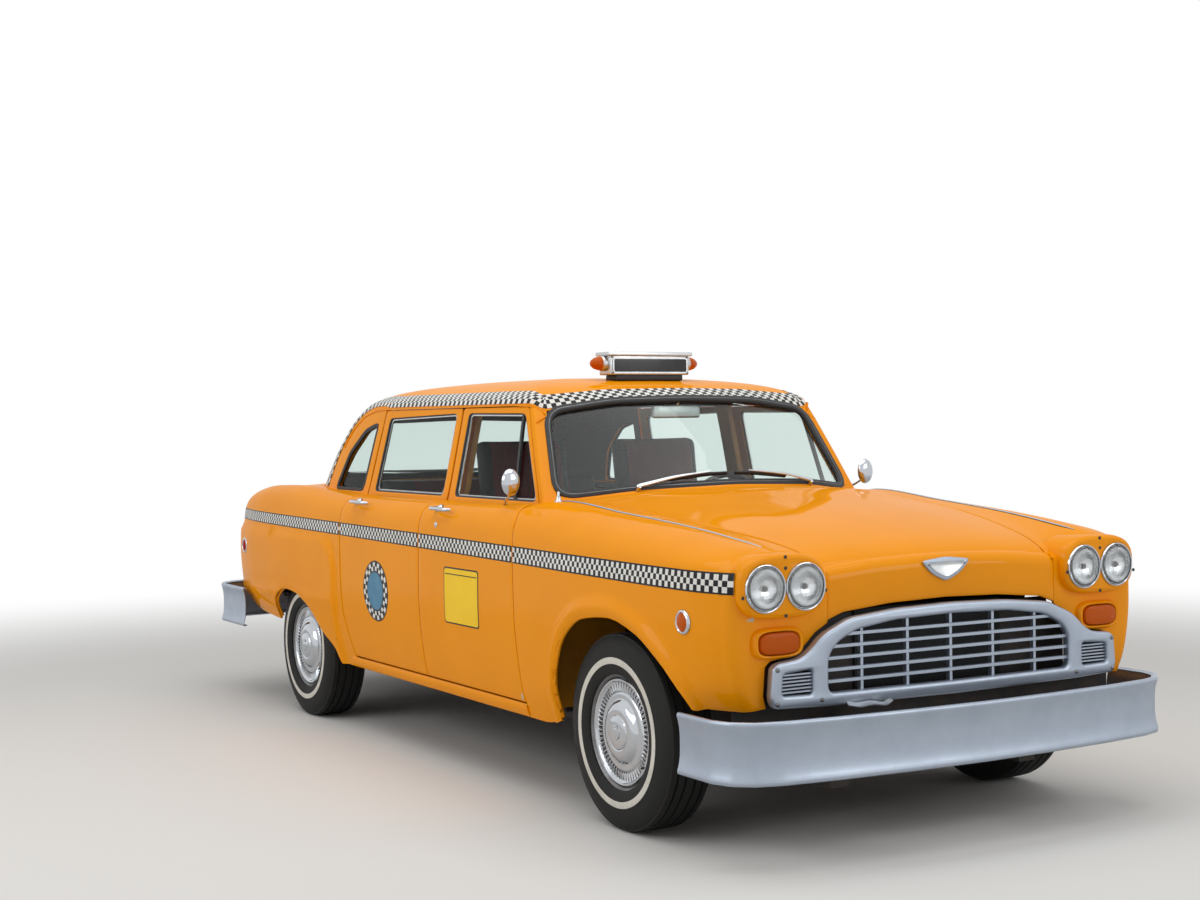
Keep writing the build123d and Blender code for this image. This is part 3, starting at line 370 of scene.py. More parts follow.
def grown(outline: Outline, gap: float) -> list[Point2]:
    """Closed outline moved outward by a gap, or inward by a negative one."""
    p = np.array(outline, float)
    turn = np.roll(p, -1, 0) - np.roll(p, 1, 0)
    area = np.sum(np.roll(p, 1, 0)[:, 0] * p[:, 1] - p[:, 0] * np.roll(p, 1, 0)[:, 1])
    n = np.stack([turn[:, 1], -turn[:, 0]], 1) * (1 if area > 0 else -1)
    return [tuple(q) for q in p + gap * n / np.maximum(np.linalg.norm(n, axis=1, keepdims=True), 1e-9)]


def oblong(low: Point2, high: Point2) -> list[Point2]:
    """Corners of a rectangle, from its lowest and highest ones."""
    return [low, (high[0], low[1]), high, (low[0], high[1])]


def mirrored(outline: Outline) -> list[Point2]:
    """Whole outline from one half whose ends are on the centreline."""
    return list(outline) + [(-u, v) for u, v in reversed(outline) if u > 0]


def span(outline: Outline, z: float) -> Point2:
    """Width of a closed outline at one height.

    Args:
        outline: Points (u, z).
        z: The height.

    Returns:
        Lowest and highest u.
    """
    crossings = []
    for i, (u1, v1) in enumerate(outline):
        u0, v0 = outline[i - 1]
        if (v0 - z) * (v1 - z) <= 0 and v0 != v1:
            crossings.append(u0 + (z - v0) / (v1 - v0) * (u1 - u0))
    return min(crossings), max(crossings)


def resampled(line: Grid, spacing: float, closed: bool = False) -> Grid:
    """Points evenly along a line.

    Args:
        line: Points of the line.
        spacing: Distance wanted between points.
        closed: Join the last point to the first.

    Returns:
        The new points, the last one left out if closed.
    """
    p = np.array(line, float)
    if closed:
        p = np.vstack([p, p[:1]])
    run = run_of(p)
    count = max(2, int(round(run[-1] / spacing)) + 1)
    at = np.linspace(0, run[-1], count)
    made = np.stack([np.interp(at, run, p[:, k]) for k in range(p.shape[1])], 1)
    return made[:-1] if closed else made


def in_scene(name: str, data: bpy.types.ID) -> Object:
    """New object that holds some data, linked to the scene."""
    made = bpy.data.objects.new(name, data)
    bpy.context.scene.collection.objects.link(made)
    return made


def shaded(name: str, mesh: bpy.types.Mesh, angle: float) -> Object:
    """Smooth-shaded object of a mesh, with edges over an angle in degrees kept sharp."""
    mesh.shade_smooth()
    mesh.set_sharp_from_angle(angle=math.radians(angle))
    return in_scene(name, mesh)


def make_mesh(name: str, points: Grid | Sequence[Point3], faces: Iterable[Sequence[int]],
              face_slots: Sequence[int] | None = None, angle: float = 38.0, weld: float = 1e-5) -> Object:
    """Make a mesh object from points in metres.

    Args:
        name: Object name.
        points: Vertex places.
        faces: Vertex numbers of each face.
        face_slots: Material slot of each face.
        angle: Edges sharper than this, in degrees, stay sharp.
        weld: Points nearer than this are joined.

    Returns:
        The object, in the scene.
    """
    mesh = bpy.data.meshes.new(name)
    mesh.from_pydata(np.asarray(points, float).reshape(-1, 3).tolist(), [], [list(f) for f in faces])
    if face_slots is not None:
        mesh.polygons.foreach_set("material_index", np.asarray(face_slots, dtype=np.int32))
    bm = bmesh.new()
    bm.from_mesh(mesh)
    bmesh.ops.remove_doubles(bm, verts=bm.verts, dist=weld)
    bmesh.ops.dissolve_degenerate(bm, edges=bm.edges, dist=weld)
    bm.to_mesh(mesh)
    bm.free()
    return shaded(name, mesh, angle)


def grid_faces(rows: int, columns: int, start: int = 0, loop_rows: bool = False, loop_columns: bool = False,
               flip: bool = False) -> list[tuple[int, ...]]:
    """Faces between the points of a grid.

    Args:
        rows: Rows of points.
        columns: Points in a row.
        start: Number of the first point.
        loop_rows: Join the last row to the first.
        loop_columns: Join each row's last point to its first.
        flip: Turn the faces over.

    Returns:
        Quads.
    """
    faces = []
    for i in range(rows if loop_rows else rows - 1):
        for j in range(columns if loop_columns else columns - 1):
            i2, j2 = (i + 1) % rows, (j + 1) % columns
            quad = (i * columns + j, i2 * columns + j, i2 * columns + j2, i * columns + j2)
            faces.append(tuple(start + k for k in (quad[::-1] if flip else quad)))
    return faces


def tube_faces(rows: int, columns: int) -> list[tuple[int, ...]]:
    """Faces of a tube of rings with both ends closed."""
    return grid_faces(rows, columns, 0, False, True) + [
        tuple(range(columns)), tuple(reversed(range((rows - 1) * columns, rows * columns)))]


def mirror_y(points: Grid, faces: Sequence[Sequence[int]]) -> tuple[Grid, list[tuple[int, ...]]]:
    """The same faces on the other side of the car."""
    return points * np.array([1, -1, 1]), [tuple(reversed(f)) for f in faces]


def slab(outer: Grid, depth: float, out: Point3, round_over: float = 1.5) -> tuple[Grid, list, list]:
    """Pressed panel of some depth: outer skin, folded edges and inner skin.

    Args:
        outer: Grid of outer points in millimetres.
        depth: Distance to the inner skin.
        out: Rough direction that the outer skin faces.
        round_over: How far the outermost row drops, for a rolled edge.

    Returns:
        Points in metres, faces, and 0 for outer and edge faces or 1 for inner ones.
    """
    n = normals(outer, out)
    rows, columns = outer.shape[:2]
    skin = outer.copy()
    for edge in ((0, slice(None)), (-1, slice(None)), (slice(None), 0), (slice(None), -1)):
        skin[edge] = outer[edge] - n[edge] * round_over
    inner = outer - n * depth
    count = rows * columns
    i = rows // 2
    flip = bool(np.cross(skin[i, 0] - skin[i - 1, 0], skin[i, 1] - skin[i, 0]) @ n[i, 0] < 0)
    faces = grid_faces(rows, columns, 0, flip=flip)
    inner_faces = grid_faces(rows, columns, count, flip=not flip)
    ring = ([(i, 0) for i in range(rows)] + [(rows - 1, j) for j in range(1, columns)]
            + [(i, columns - 1) for i in range(rows - 2, -1, -1)] + [(0, j) for j in range(columns - 2, 0, -1)])
    walls = []
    for k, (i, j) in enumerate(ring):
        i2, j2 = ring[(k + 1) % len(ring)]
        quad = (i * columns + j, i2 * columns + j2, count + i2 * columns + j2, count + i * columns + j)
        walls.append(quad if flip else quad[::-1])
    points = np.concatenate([skin.reshape(-1, 3), inner.reshape(-1, 3)]) * MM
    return points, faces + walls + inner_faces, [0] * (len(faces) + len(walls)) + [1] * len(inner_faces)


def frames_along(path: Grid, up: Grid, closed: bool) -> tuple[Grid, Grid]:
    """Side and upward directions at each point of a path."""
    if closed:
        tangent = np.roll(path, -1, 0) - np.roll(path, 1, 0)
    else:
        tangent = np.gradient(path, axis=0)
    tangent /= np.linalg.norm(tangent, axis=1, keepdims=True)
    side = np.cross(tangent, up)
    side /= np.maximum(np.linalg.norm(side, axis=1, keepdims=True), 1e-9)
    return side, np.cross(side, tangent)


def sweep(name: str, path: Grid, profile: Outline, up: Grid | Point3, closed_path: bool = False,
          closed_profile: bool = True, scale: Grid | None = None, angle: float = 50.0) -> Object:
    """Carry a profile along a path.

    Args:
        name: Object name.
        path: Points in millimetres.
        profile: Points (across, up) in millimetres.
        up: Direction of the profile's second axis, one or one for each point.
        closed_path: The path is a loop.
        closed_profile: The profile is a loop, and open ends are capped.
        scale: Size of the profile at each point.
        angle: Edges sharper than this stay sharp.

    Returns:
        The object.
    """
    path = np.asarray(path, float)
    up = np.broadcast_to(np.asarray(up, float), path.shape)
    side, upward = frames_along(path, up, closed_path)
    size = np.ones(len(path)) if scale is None else np.asarray(scale, float)
    profile = np.asarray(profile, float)
    points = (path[:, None, :] + side[:, None, :] * profile[None, :, :1] * size[:, None, None]
              + upward[:, None, :] * profile[None, :, 1:] * size[:, None, None])
    rows, columns = points.shape[:2]
    capped = closed_profile and not closed_path
    faces = tube_faces(rows, columns) if capped else grid_faces(rows, columns, 0, closed_path, closed_profile)
    made = make_mesh(name, points * MM, faces, angle=angle)
    fix_normals(made)
    return made


def fix_normals(made: Object) -> None:
    """Turn a closed mesh's faces outward."""
    bm = bmesh.new()
    bm.from_mesh(made.data)
    bmesh.ops.recalc_face_normals(bm, faces=bm.faces)
    bm.to_mesh(made.data)
    bm.free()


def turned(name: str, profile: Outline, centre: Point3, axis: Point3 = (0, 1, 0), segments: int = 96,
           closed: bool = False, slots: Callable[[int, int], int] | None = None,
           push: Callable[[int, int], float] | None = None, angle: float = 38.0) -> Object:
    """Turn a profile about an axis.

    Args:
        name: Object name.
        profile: Points (along the axis, radius) in millimetres.
        centre: Where the axis starts, in millimetres.
        axis: Direction of the axis.
        segments: Points round the axis.
        closed: The profile is a loop.
        slots: Material slot of the face after profile point k at segment i.
        push: Extra distance along the axis of point k at segment i.
        angle: Edges sharper than this stay sharp.

    Returns:
        The object.
    """
    direction = Vector(axis).normalized()
    other = direction.orthogonal().normalized()
    third = direction.cross(other)
    d, o, t = (np.array(v) for v in (direction, other, third))
    turns = np.linspace(0, 2 * math.pi, segments, endpoint=False)
    points = np.zeros((segments, len(profile), 3))
    for i, turn in enumerate(turns):
        radial = o * math.cos(turn) + t * math.sin(turn)
        for k, (along_axis, radius) in enumerate(profile):
            reach = along_axis + (push(i, k) if push else 0.0)
            points[i, k] = np.array(centre) + d * reach + radial * radius
    faces = grid_faces(segments, len(profile), 0, True, closed)
    face_slots = None
    if slots:
        per_row = len(profile) if closed else len(profile) - 1
        face_slots = [slots(n // per_row, n % per_row) for n in range(len(faces))]
    made = make_mesh(name, points * MM, faces, face_slots, angle=angle)
    fix_normals(made)
    return made


def plate(name: str, outlines: Sequence[Outline], thick: float, bevel: float,
          place: Matrix) -> Object:
    """Flat plate with holes and rounded edges.

    Args:
        name: Object name.
        outlines: The outer outline, then the holes, in millimetres.
        thick: Thickness, half of it on each side of the plane.
        bevel: Radius of the edges.
        place: Where the plate's plane stands, in metres.

    Returns:
        The object.
    """
    shape = bpy.data.curves.new(name, "CURVE")
    shape.dimensions = "2D"
    shape.fill_mode = "BOTH"
    shape.extrude = max(thick / 2 - bevel, 0.01) * MM
    shape.bevel_depth = bevel * MM
    shape.bevel_resolution = 2
    shape.offset = -bevel * MM
    for outline in outlines:
        spline = shape.splines.new("POLY")
        spline.points.add(len(outline) - 1)
        for point, (u, v) in zip(spline.points, outline):
            point.co = (u * MM, v * MM, 0, 1)
        spline.use_cyclic_u = True
    holder = in_scene(name + "_outline", shape)
    mesh = bpy.data.meshes.new_from_object(holder)
    bpy.data.objects.remove(holder)
    bpy.data.curves.remove(shape)
    mesh.transform(place)
    bm = bmesh.new()
    bm.from_mesh(mesh)
    bmesh.ops.remove_doubles(bm, verts=bm.verts, dist=1e-5)
    bm.to_mesh(mesh)
    bm.free()
    return shaded(name, mesh, 35.0)


def facing_x(x: float, flip: bool = False) -> Matrix:
    """Place of a plate whose u runs along +Y and v up, in the plane of one x in millimetres."""
    place = Matrix(((0, 0, 1, x * MM), (1, 0, 0, 0), (0, 1, 0, 0), (0, 0, 0, 1)))
    return place @ Matrix.Scale(-1, 4, (1, 0, 0)) if flip else place


def join(name: str, pieces: Sequence[Object]) -> Object:
    """Make one object of several, keeping their material slots."""
    bm = bmesh.new()
    slots: list[bpy.types.Material | None] = []
    for piece in pieces:
        start = len(bm.faces)
        bm.from_mesh(piece.data)
        bm.faces.ensure_lookup_table()
        numbers = []
        for material in piece.data.materials or [None]:
            if material not in slots:
                slots.append(material)
            numbers.append(slots.index(material))
        for face in bm.faces[start:]:
            face.material_index = numbers[min(face.material_index, len(numbers) - 1)]
    mesh = bpy.data.meshes.new(name)
    bm.to_mesh(mesh)
    bm.free()
    for material in slots:
        if material:
            mesh.materials.append(material)
    for piece in pieces:
        bpy.data.objects.remove(piece)
    return in_scene(name, mesh)


def block(name: str, low: Point3, high: Point3, bevel: float, segments: int = 3) -> Object:
    """Box with rolled edges, between two corners in millimetres."""
    bm = bmesh.new()
    bmesh.ops.create_cube(bm, size=1.0)
    for vertex in bm.verts:
        vertex.co = Vector([(lo + (c + 0.5) * (hi - lo)) * MM for lo, hi, c in zip(low, high, vertex.co)])
    bmesh.ops.bevel(bm, geom=bm.edges[:], offset=bevel * MM, segments=segments, profile=0.5, affect="EDGES")
    mesh = bpy.data.meshes.new(name)
    bm.to_mesh(mesh)
    bm.free()
    return shaded(name, mesh, 50.0)


def side_block(name: str, side: int, low: Point3, high: Point3, bevel: float) -> Object:
    """Box with rolled edges on one side of the car, from its corners on the left."""
    y0, y1 = sorted((side * low[1], side * high[1]))
    return block(name, (low[0], y0, low[2]), (high[0], y1, high[2]), bevel)


def circle(radius: float, count: int = 12, centre: Point2 = (0, 0)) -> list[Point2]:
    """Points round a circle."""
    return [(centre[0] + radius * math.cos(a), centre[1] + radius * math.sin(a))
            for a in np.linspace(0, 2 * math.pi, count, endpoint=False)]


def to_linear(hex_code: str) -> tuple[float, float, float, float]:
    """Linear colour of an sRGB hex code."""
    channels = [int(hex_code[i:i + 2], 16) / 255 for i in (1, 3, 5)]
    linear = [c / 12.92 if c <= 0.04045 else ((c + 0.055) / 1.055) ** 2.4 for c in channels]
    return (*linear, 1.0)


def add_node(tree: bpy.types.NodeTree, kind: str, settings: dict | None = None, values: dict | None = None,
             links: dict | None = None) -> bpy.types.Node:
    """Add a node with its settings and links.

    Args:
        tree: Node tree of the material or world.
        kind: Blender's name of the node type.
        settings: Attributes to set.
        values: Constants by input name or number.
        links: Output sockets by input name or number.

    Returns:
        The node.
    """
    made = tree.nodes.new(kind)
    for key, value in (settings or {}).items():
        setattr(made, key, value)
    for key, value in (values or {}).items():
        made.inputs[key].default_value = value
    for key, socket in (links or {}).items():
        tree.links.new(socket, made.inputs[key])
    return made


def empty_tree(owner: bpy.types.Material | bpy.types.World) -> bpy.types.NodeTree:
    """Node tree of a new material or world, without nodes."""
    owner.use_nodes = True
    owner.node_tree.nodes.clear()
    return owner.node_tree


class Pattern(Enum):
    """How a surface was made, which decides its fine relief."""

    SPRAYED = "sprayed"
    GRAINED = "grained"
    BRUSHED = "brushed"
    WOVEN = "woven"
    RIBBED = "ribbed"
    CAST = "cast"
    SMOOTH = "smooth"


@dataclass(frozen=True)
class Finish:
    """Surface of one real material."""

    name: str
    colour: str
    worn: str
    pattern: Pattern
    size_mm: float
    relief_mm: float = 0.05
    roughness: float = 0.5
    metallic: float = 0.0
    coat: float = 0.0
    coat_roughness: float = 0.05
    patch_mm: float = 180.0
    patch_share: float = 0.5
    rough_spread: float = 0.08
    ior: float = 1.5
    transmission: float = 0.0
    sheen: float = 0.0
    specular: float = 0.5

    def build(self) -> bpy.types.Material:
        """The material, made when it is first asked for."""
        material = bpy.data.materials.get(self.name)
        if not material:
            material = bpy.data.materials.new(self.name)
            self.nodes(empty_tree(material))
        return material

    def nodes(self, tree: bpy.types.NodeTree) -> None:
        """Shader with worn patches, which change colour and roughness together, over a fine relief.

        Args:
            tree: Node tree of the material.
        """
        shader = add_node(tree, "ShaderNodeBsdfPrincipled", values={
            "Metallic": self.metallic, "Coat Weight": self.coat, "Coat Roughness": self.coat_roughness,
            "Transmission Weight": self.transmission, "Sheen Weight": self.sheen, "IOR": self.ior,
            "Specular IOR Level": self.specular})
        add_node(tree, "ShaderNodeOutputMaterial", links={"Surface": shader.outputs["BSDF"]})
        where = add_node(tree, "ShaderNodeTexCoord").outputs["Object"]
        patches = add_node(tree, "ShaderNodeTexNoise", values={
            "Scale": 1 / (self.patch_mm * MM), "Detail": 5.0, "Roughness": 0.6}, links={"Vector": where})
        share = add_node(tree, "ShaderNodeMapRange", values={
            "From Min": 0.35, "From Max": 0.75, "To Min": 0.0, "To Max": self.patch_share},
            links={"Value": patches.outputs["Fac"]})
        mixed = add_node(tree, "ShaderNodeMix", {"data_type": "RGBA"}, links={0: share.outputs["Result"]})
        mixed.inputs[6].default_value = to_linear(self.colour)
        mixed.inputs[7].default_value = to_linear(self.worn)
        tree.links.new(mixed.outputs[2], shader.inputs["Base Color"])
        rough = add_node(tree, "ShaderNodeMapRange", values={
            "From Min": 0.3, "From Max": 0.7, "To Min": max(self.roughness - self.rough_spread, 0.02),
            "To Max": min(self.roughness + self.rough_spread, 1.0)}, links={"Value": patches.outputs["Fac"]})
        tree.links.new(rough.outputs["Result"], shader.inputs["Roughness"])
        self.bump(tree, where, shader, 0.6)

    def bump(self, tree: bpy.types.NodeTree, where: bpy.types.NodeSocket, shader: bpy.types.Node,
             strength: float) -> None:
        """Carry the fine relief to the shader's normal.

        Args:
            tree: Node tree of the material.
            where: Coordinates in metres.
            shader: The surface's shader.
            strength: Strength of the bump.
        """
        height = self.relief(tree, where)
        if height is not None:
            bump = add_node(tree, "ShaderNodeBump", values={"Strength": strength, "Distance": self.relief_mm * MM},
                            links={"Height": height})
            tree.links.new(bump.outputs["Normal"], shader.inputs["Normal"])

    def relief(self, tree: bpy.types.NodeTree, where: bpy.types.NodeSocket) -> bpy.types.NodeSocket | None:
        """Nodes of the fine relief.

        Args:
            tree: Node tree of the material.
            where: Coordinates in metres.

        Returns:
            Height socket, or None where the surface is smooth.
        """
        scale = 1 / (self.size_mm * MM)
        if self.pattern is Pattern.SMOOTH:
            return None
        if self.pattern is Pattern.GRAINED:
            cells = add_node(tree, "ShaderNodeTexVoronoi", {"feature": "DISTANCE_TO_EDGE"}, {"Scale": scale},
                             {"Vector": where})
            return cells.outputs["Distance"]
        if self.pattern is Pattern.BRUSHED:
            drawn = add_node(tree, "ShaderNodeMapping", values={"Scale": (scale, scale * 0.02, scale)},
                             links={"Vector": where})
            lines = add_node(tree, "ShaderNodeTexNoise", values={"Scale": 1.0, "Detail": 3.0},
                             links={"Vector": drawn.outputs["Vector"]})
            return lines.outputs["Fac"]
        if self.pattern in (Pattern.WOVEN, Pattern.RIBBED):
            turn = 2 * math.pi / (self.size_mm * MM) / 20.0
            first = add_node(tree, "ShaderNodeTexWave", {"bands_direction": "Y"}, {"Scale": turn}, {"Vector": where})
            if self.pattern is Pattern.RIBBED:
                return first.outputs["Fac"]
            second = add_node(tree, "ShaderNodeTexWave", {"bands_direction": "X"}, {"Scale": turn},
                              {"Vector": where})
            both = add_node(tree, "ShaderNodeMath", {"operation": "MULTIPLY"}, links={
                0: first.outputs["Fac"], 1: second.outputs["Fac"]})
            return both.outputs["Value"]
        detail = 6.0 if self.pattern is Pattern.CAST else 1.0
        noise = add_node(tree, "ShaderNodeTexNoise", values={"Scale": scale, "Detail": detail},
                         links={"Vector": where})
        return noise.outputs["Fac"]


@dataclass(frozen=True)
class Glass(Finish):
    """Clear or tinted glass, or a moulded lens with optic ribs."""

    def nodes(self, tree: bpy.types.NodeTree) -> None:
        """One clear shader, with the ribs of a lens.

        Args:
            tree: Node tree of the material.
        """
        shader = add_node(tree, "ShaderNodeBsdfPrincipled", values={
            "Base Color": to_linear(self.colour), "Roughness": self.roughness, "IOR": self.ior,
            "Transmission Weight": self.transmission, "Specular IOR Level": self.specular})
        add_node(tree, "ShaderNodeOutputMaterial", links={"Surface": shader.outputs["BSDF"]})
        self.bump(tree, add_node(tree, "ShaderNodeTexCoord").outputs["Object"], shader, 0.5)


# Two-coat gloss enamel, sprayed: deep warm yellow under a clear shine, with faint orange peel and road dust
BODY_ENAMEL = Finish("enamel_sprayed_yellow", "#F99C06", "#EC9008", Pattern.SPRAYED, 3.0, 0.012, 0.45, coat=0.3,
                     coat_roughness=0.05, patch_mm=420, patch_share=0.45, specular=0.0)
# The same enamel on the inner sheet, thinner and dull
INNER_ENAMEL = Finish("enamel_thin_yellow", "#D98E12", "#A96F14", Pattern.SPRAYED, 4.0, 0.03, 0.55, coat=0.25,
                      patch_mm=160, patch_share=0.7)
# Silver stoving paint over steel: a soft wide shine, no mirror image
SILVER_PAINT = Finish("steel_silver_painted", "#A9B3C1", "#98A2B1", Pattern.SPRAYED, 1.6, 0.03, 0.38, metallic=0.7,
                      patch_mm=120, patch_share=0.6, rough_spread=0.06)
# Chromium plate, polished: near mirror, with slight haze
CHROME = Finish("steel_chrome_plated", "#C4C8CD", "#ABB0B6", Pattern.CAST, 6.0, 0.01, 0.1, metallic=1.0,
                patch_mm=60, rough_spread=0.05)
# Aluminium film, vapour-coated inside a lamp: clear mirror
SILVERED = Finish("aluminium_vapour_coated", "#F2F3F4", "#E6E8EA", Pattern.SMOOTH, 1.0, 0.0, 0.12, metallic=1.0,
                  patch_mm=40, rough_spread=0.03)
# Bare aluminium sheet, drawn: fine lines along its length
BARE_ALUMINIUM = Finish("aluminium_drawn", "#C9CBCC", "#A8ABAE", Pattern.BRUSHED, 0.8, 0.03, 0.34, metallic=1.0,
                        patch_mm=50)
# Moulded rubber: soft grey-black, dull, with a bloom of dust; the same black in the pods' screw holes and the wheel
# covers' slots is painted shade
RUBBER_AND_SHADE_BLACK = Finish("rubber_black_and_painted_shade", "#17181A", "#33363A", Pattern.CAST, 2.0, 0.05, 0.6, patch_mm=90,
                     patch_share=0.6)
# Tyre rubber: matt, greyed where the road dust stays
TYRE_RUBBER = Finish("rubber_tyre", "#0F1011", "#24231F", Pattern.CAST, 3.5, 0.12, 0.68, patch_mm=70,
                     patch_share=0.8, specular=0.3)
# White sidewall rubber: warm white with grey scuffs
WHITE_RUBBER = Finish("rubber_whitewall", "#DEDAD0", "#B4AFA4", Pattern.CAST, 3.0, 0.08, 0.6, patch_mm=60,
                      patch_share=0.55)
# Printed vinyl film of the bands: flat even colour with a slight shine
BLACK_FILM = Finish("vinyl_film_black", "#121314", "#26272A", Pattern.SPRAYED, 4.0, 0.01, 0.4, patch_mm=150,
                    patch_share=0.5, specular=0.2)
WHITE_FILM = Finish("vinyl_film_white", "#ECEBE6", "#D5D2C8", Pattern.SPRAYED, 4.0, 0.01, 0.42, patch_mm=150,
                    patch_share=0.5, specular=0.2)
YELLOW_FILM = Finish("vinyl_film_yellow", "#FFD21F", "#F2C21C", Pattern.SPRAYED, 4.0, 0.01, 0.42, patch_mm=150,
                     specular=0.2)
BLUE_FILM = Finish("vinyl_film_blue", "#4F87A8", "#3F7391", Pattern.SPRAYED, 4.0, 0.01, 0.42, patch_mm=60,
                   specular=0.2)
# Leathercloth: pressed pebble grain, red and black
RED_VINYL = Finish("vinyl_leathercloth_red", "#6E1519", "#571013", Pattern.GRAINED, 2.4, 0.18, 0.46,
                   patch_mm=120, patch_share=0.6, specular=0.2)
BLACK_VINYL = Finish("vinyl_leathercloth_black", "#1B1B1D", "#2C2C2F", Pattern.GRAINED, 2.4, 0.18, 0.48,
                     patch_mm=120, patch_share=0.6, specular=0.2)
# Headlining: pale woven cloth-backed vinyl
LINING_CLOTH = Finish("cloth_headlining", "#6F6C66", "#625F5A", Pattern.WOVEN, 2.4, 0.015, 0.85, sheen=0.1,
                      patch_mm=200)
# Moulded dashboard plastic and paint
DASH_PLASTIC = Finish("plastic_moulded_black", "#1C1D1F", "#2B2C2E", Pattern.GRAINED, 1.6, 0.1, 0.5, patch_mm=80)
# Ribbed rubber floor mat: ribs every 8 mm
FLOOR_RUBBER = Finish("rubber_ribbed_mat", "#1E1E1E", "#3A3732", Pattern.RIBBED, 8.0, 0.8, 0.75, patch_mm=110,
                      patch_share=0.7)
# Chassis: brush-painted black, dusty, with brown rust coming through; the same black on the sheets behind the grille is
# painted shade
CHASSIS_AND_SHADE_BLACK = Finish("steel_black_painted_and_shade", "#1B1B1C", "#4A3B30", Pattern.CAST, 5.0, 0.25, 0.62, patch_mm=90,
                       patch_share=0.75)
# Flat black inside the wheel wells, on the fenders' and quarters' inner sides and the inner aprons: painted shade of
# the wells, rough and dull
WELL_SHADE_BLACK = Finish("wheel_well_painted_shade", "#101010", "#1D1A17", Pattern.CAST, 6.0, 0.4, 0.85, patch_mm=110,
                   specular=0.1)
# Cast iron under old engine paint
CAST_IRON = Finish("iron_cast_painted", "#5B2A1E", "#3B302B", Pattern.CAST, 2.5, 0.35, 0.6, metallic=0.2,
                   patch_mm=50, patch_share=0.8)
# Bare steel, dull grey
BARE_STEEL = Finish("steel_bare", "#7D7F82", "#5F5650", Pattern.CAST, 3.0, 0.12, 0.45, metallic=0.9, patch_mm=40,
                    patch_share=0.7)
# Radiator core: black fins every 4 mm, with metal showing through
DARK_CORE = Finish("aluminium_radiator_core", "#202224", "#2E3033", Pattern.RIBBED, 4.0, 1.0, 0.6, metallic=0.5,
                   patch_mm=70)
# Black acrylic sheet of the sign's panels: flat and glossy
SIGN_BLACK = Finish("acrylic_black_panel", "#0D0E10", "#1A1B1E", Pattern.SPRAYED, 5.0, 0.01, 0.22, patch_mm=60)
# Sprayed primer that shows where the enamel is gone: pale and matt
PALE_PRIMER = Finish("primer_sprayed_pale", "#CFC8A8", "#A39C82", Pattern.SPRAYED, 2.0, 0.05, 0.7, patch_mm=10,
                     specular=0.2)
# Laminated window glass with a faint green-grey tint
WINDOW_GLASS = Glass("glass_window", "#E6EFEC", "#E6EFEC", Pattern.SMOOTH, 1, roughness=0.0, ior=1.28,
                     transmission=1.0, specular=0.15)
# Toughened side glass: flat and clean, with little shine at the angle it is seen from
SIDE_GLASS = Glass("glass_toughened", "#E6EFEC", "#E6EFEC", Pattern.SMOOTH, 1, roughness=0.0, ior=1.08,
                   transmission=1.0, specular=0.03)
# Pressed headlamp lens: upright flutes every 6 mm
LAMP_GLASS = Glass("glass_pressed_lens", "#F4F6F7", "#F4F6F7", Pattern.RIBBED, 6, relief_mm=0.9, roughness=0.03,
                   ior=1.5, transmission=1.0)
# Moulded acrylic lenses, amber and red, with optic ribs every 7 mm
AMBER_LENS = Glass("acrylic_lens_amber", "#CC5A04", "#CC5A04", Pattern.RIBBED, 7, relief_mm=0.8, roughness=0.1,
                   ior=1.35, transmission=0.1, specular=0.2)
RED_LENS = Glass("acrylic_lens_red", "#A80E0C", "#A80E0C", Pattern.RIBBED, 7, relief_mm=0.8, roughness=0.12,
                 ior=1.35, transmission=0.15, specular=0.2)


def dress(made: Object, *finishes: Finish) -> Object:
    """Give a piece its finishes, one for each of its material slots."""
    for finish in finishes:
        made.data.materials.append(finish.build())
    return made


def fit(made: Object, body: str, slot: str, *nodes: str) -> Object:
    """Fasten a finished piece to the frame.

    Args:
        made: The piece.
        body: Body that it rides on.
        slot: The record's material slot; not used.
        nodes: Plain pieces of the frame that it stands for.

    Returns:
        The piece.
    """
    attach(made, body)
    if nodes:
        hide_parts(*nodes)
    LOG.info("%s on %s: %d faces", made.name, body, len(made.data.polygons))
    return made


def panel(name: str, outer: Grid, depth: float, out: Point3, finishes: Sequence[Finish],
          side: int = 1) -> Object:
    """Pressed panel on one side of the car.

    Args:
        name: Object name.
        outer: Grid of outer points on the left side, in millimetres.
        depth: Depth of the folded edge.
        out: Rough direction that it faces.
        finishes: Outer and inner finish.
        side: 1 for left, -1 for right.

    Returns:
        The object.
    """
    points, faces, face_slots = slab(outer, depth, out)
    if side < 0:
        points, faces = mirror_y(points, faces)
    return dress(make_mesh(name, points, faces, face_slots), *finishes)


def whole_panel(name: str, outer: Grid, depth: float, out: Point3, finishes: Sequence[Finish]) -> Object:
    """Pressed panel over both sides, from its left half whose last column is on the centreline."""
    right = outer[:, ::-1][:, 1:] * np.array([1, -1, 1])
    points, faces, face_slots = slab(np.concatenate([outer, right], axis=1), depth, out)
    return dress(make_mesh(name, points, faces, face_slots), *finishes)


def arch_height(arch: Outline, axle_x: float, x: Grid) -> Grid:
    """Height of a wheel opening's edge at places along the car, zero outside it."""
    line = np.array(arch, float)
    line[-1, 0] += 2
    line[-2, 0] += 0.5 if line[-2, 0] >= line[-1, 0] - 2.5 else 0
    z = smooth_through(line[:, 0], line[:, 1:], np.clip(x.ravel() - axle_x, line[0, 0], line[-1, 0]))[:, 0]
    inside = (x.ravel() > axle_x + line[0, 0]) & (x.ravel() < axle_x + line[-1, 0])
    return np.where(inside, z, 0.0).reshape(x.shape)


def arch_line(arch: Outline, axle_x: float, spacing: float) -> Grid:
    """Points (x, z) evenly along a wheel opening's edge."""
    x = np.linspace(arch[0][0] + 0.5, arch[-1][0] + 0.5, 400) + axle_x
    return resampled(np.stack([x, arch_height(arch, axle_x, x)], 1), spacing)


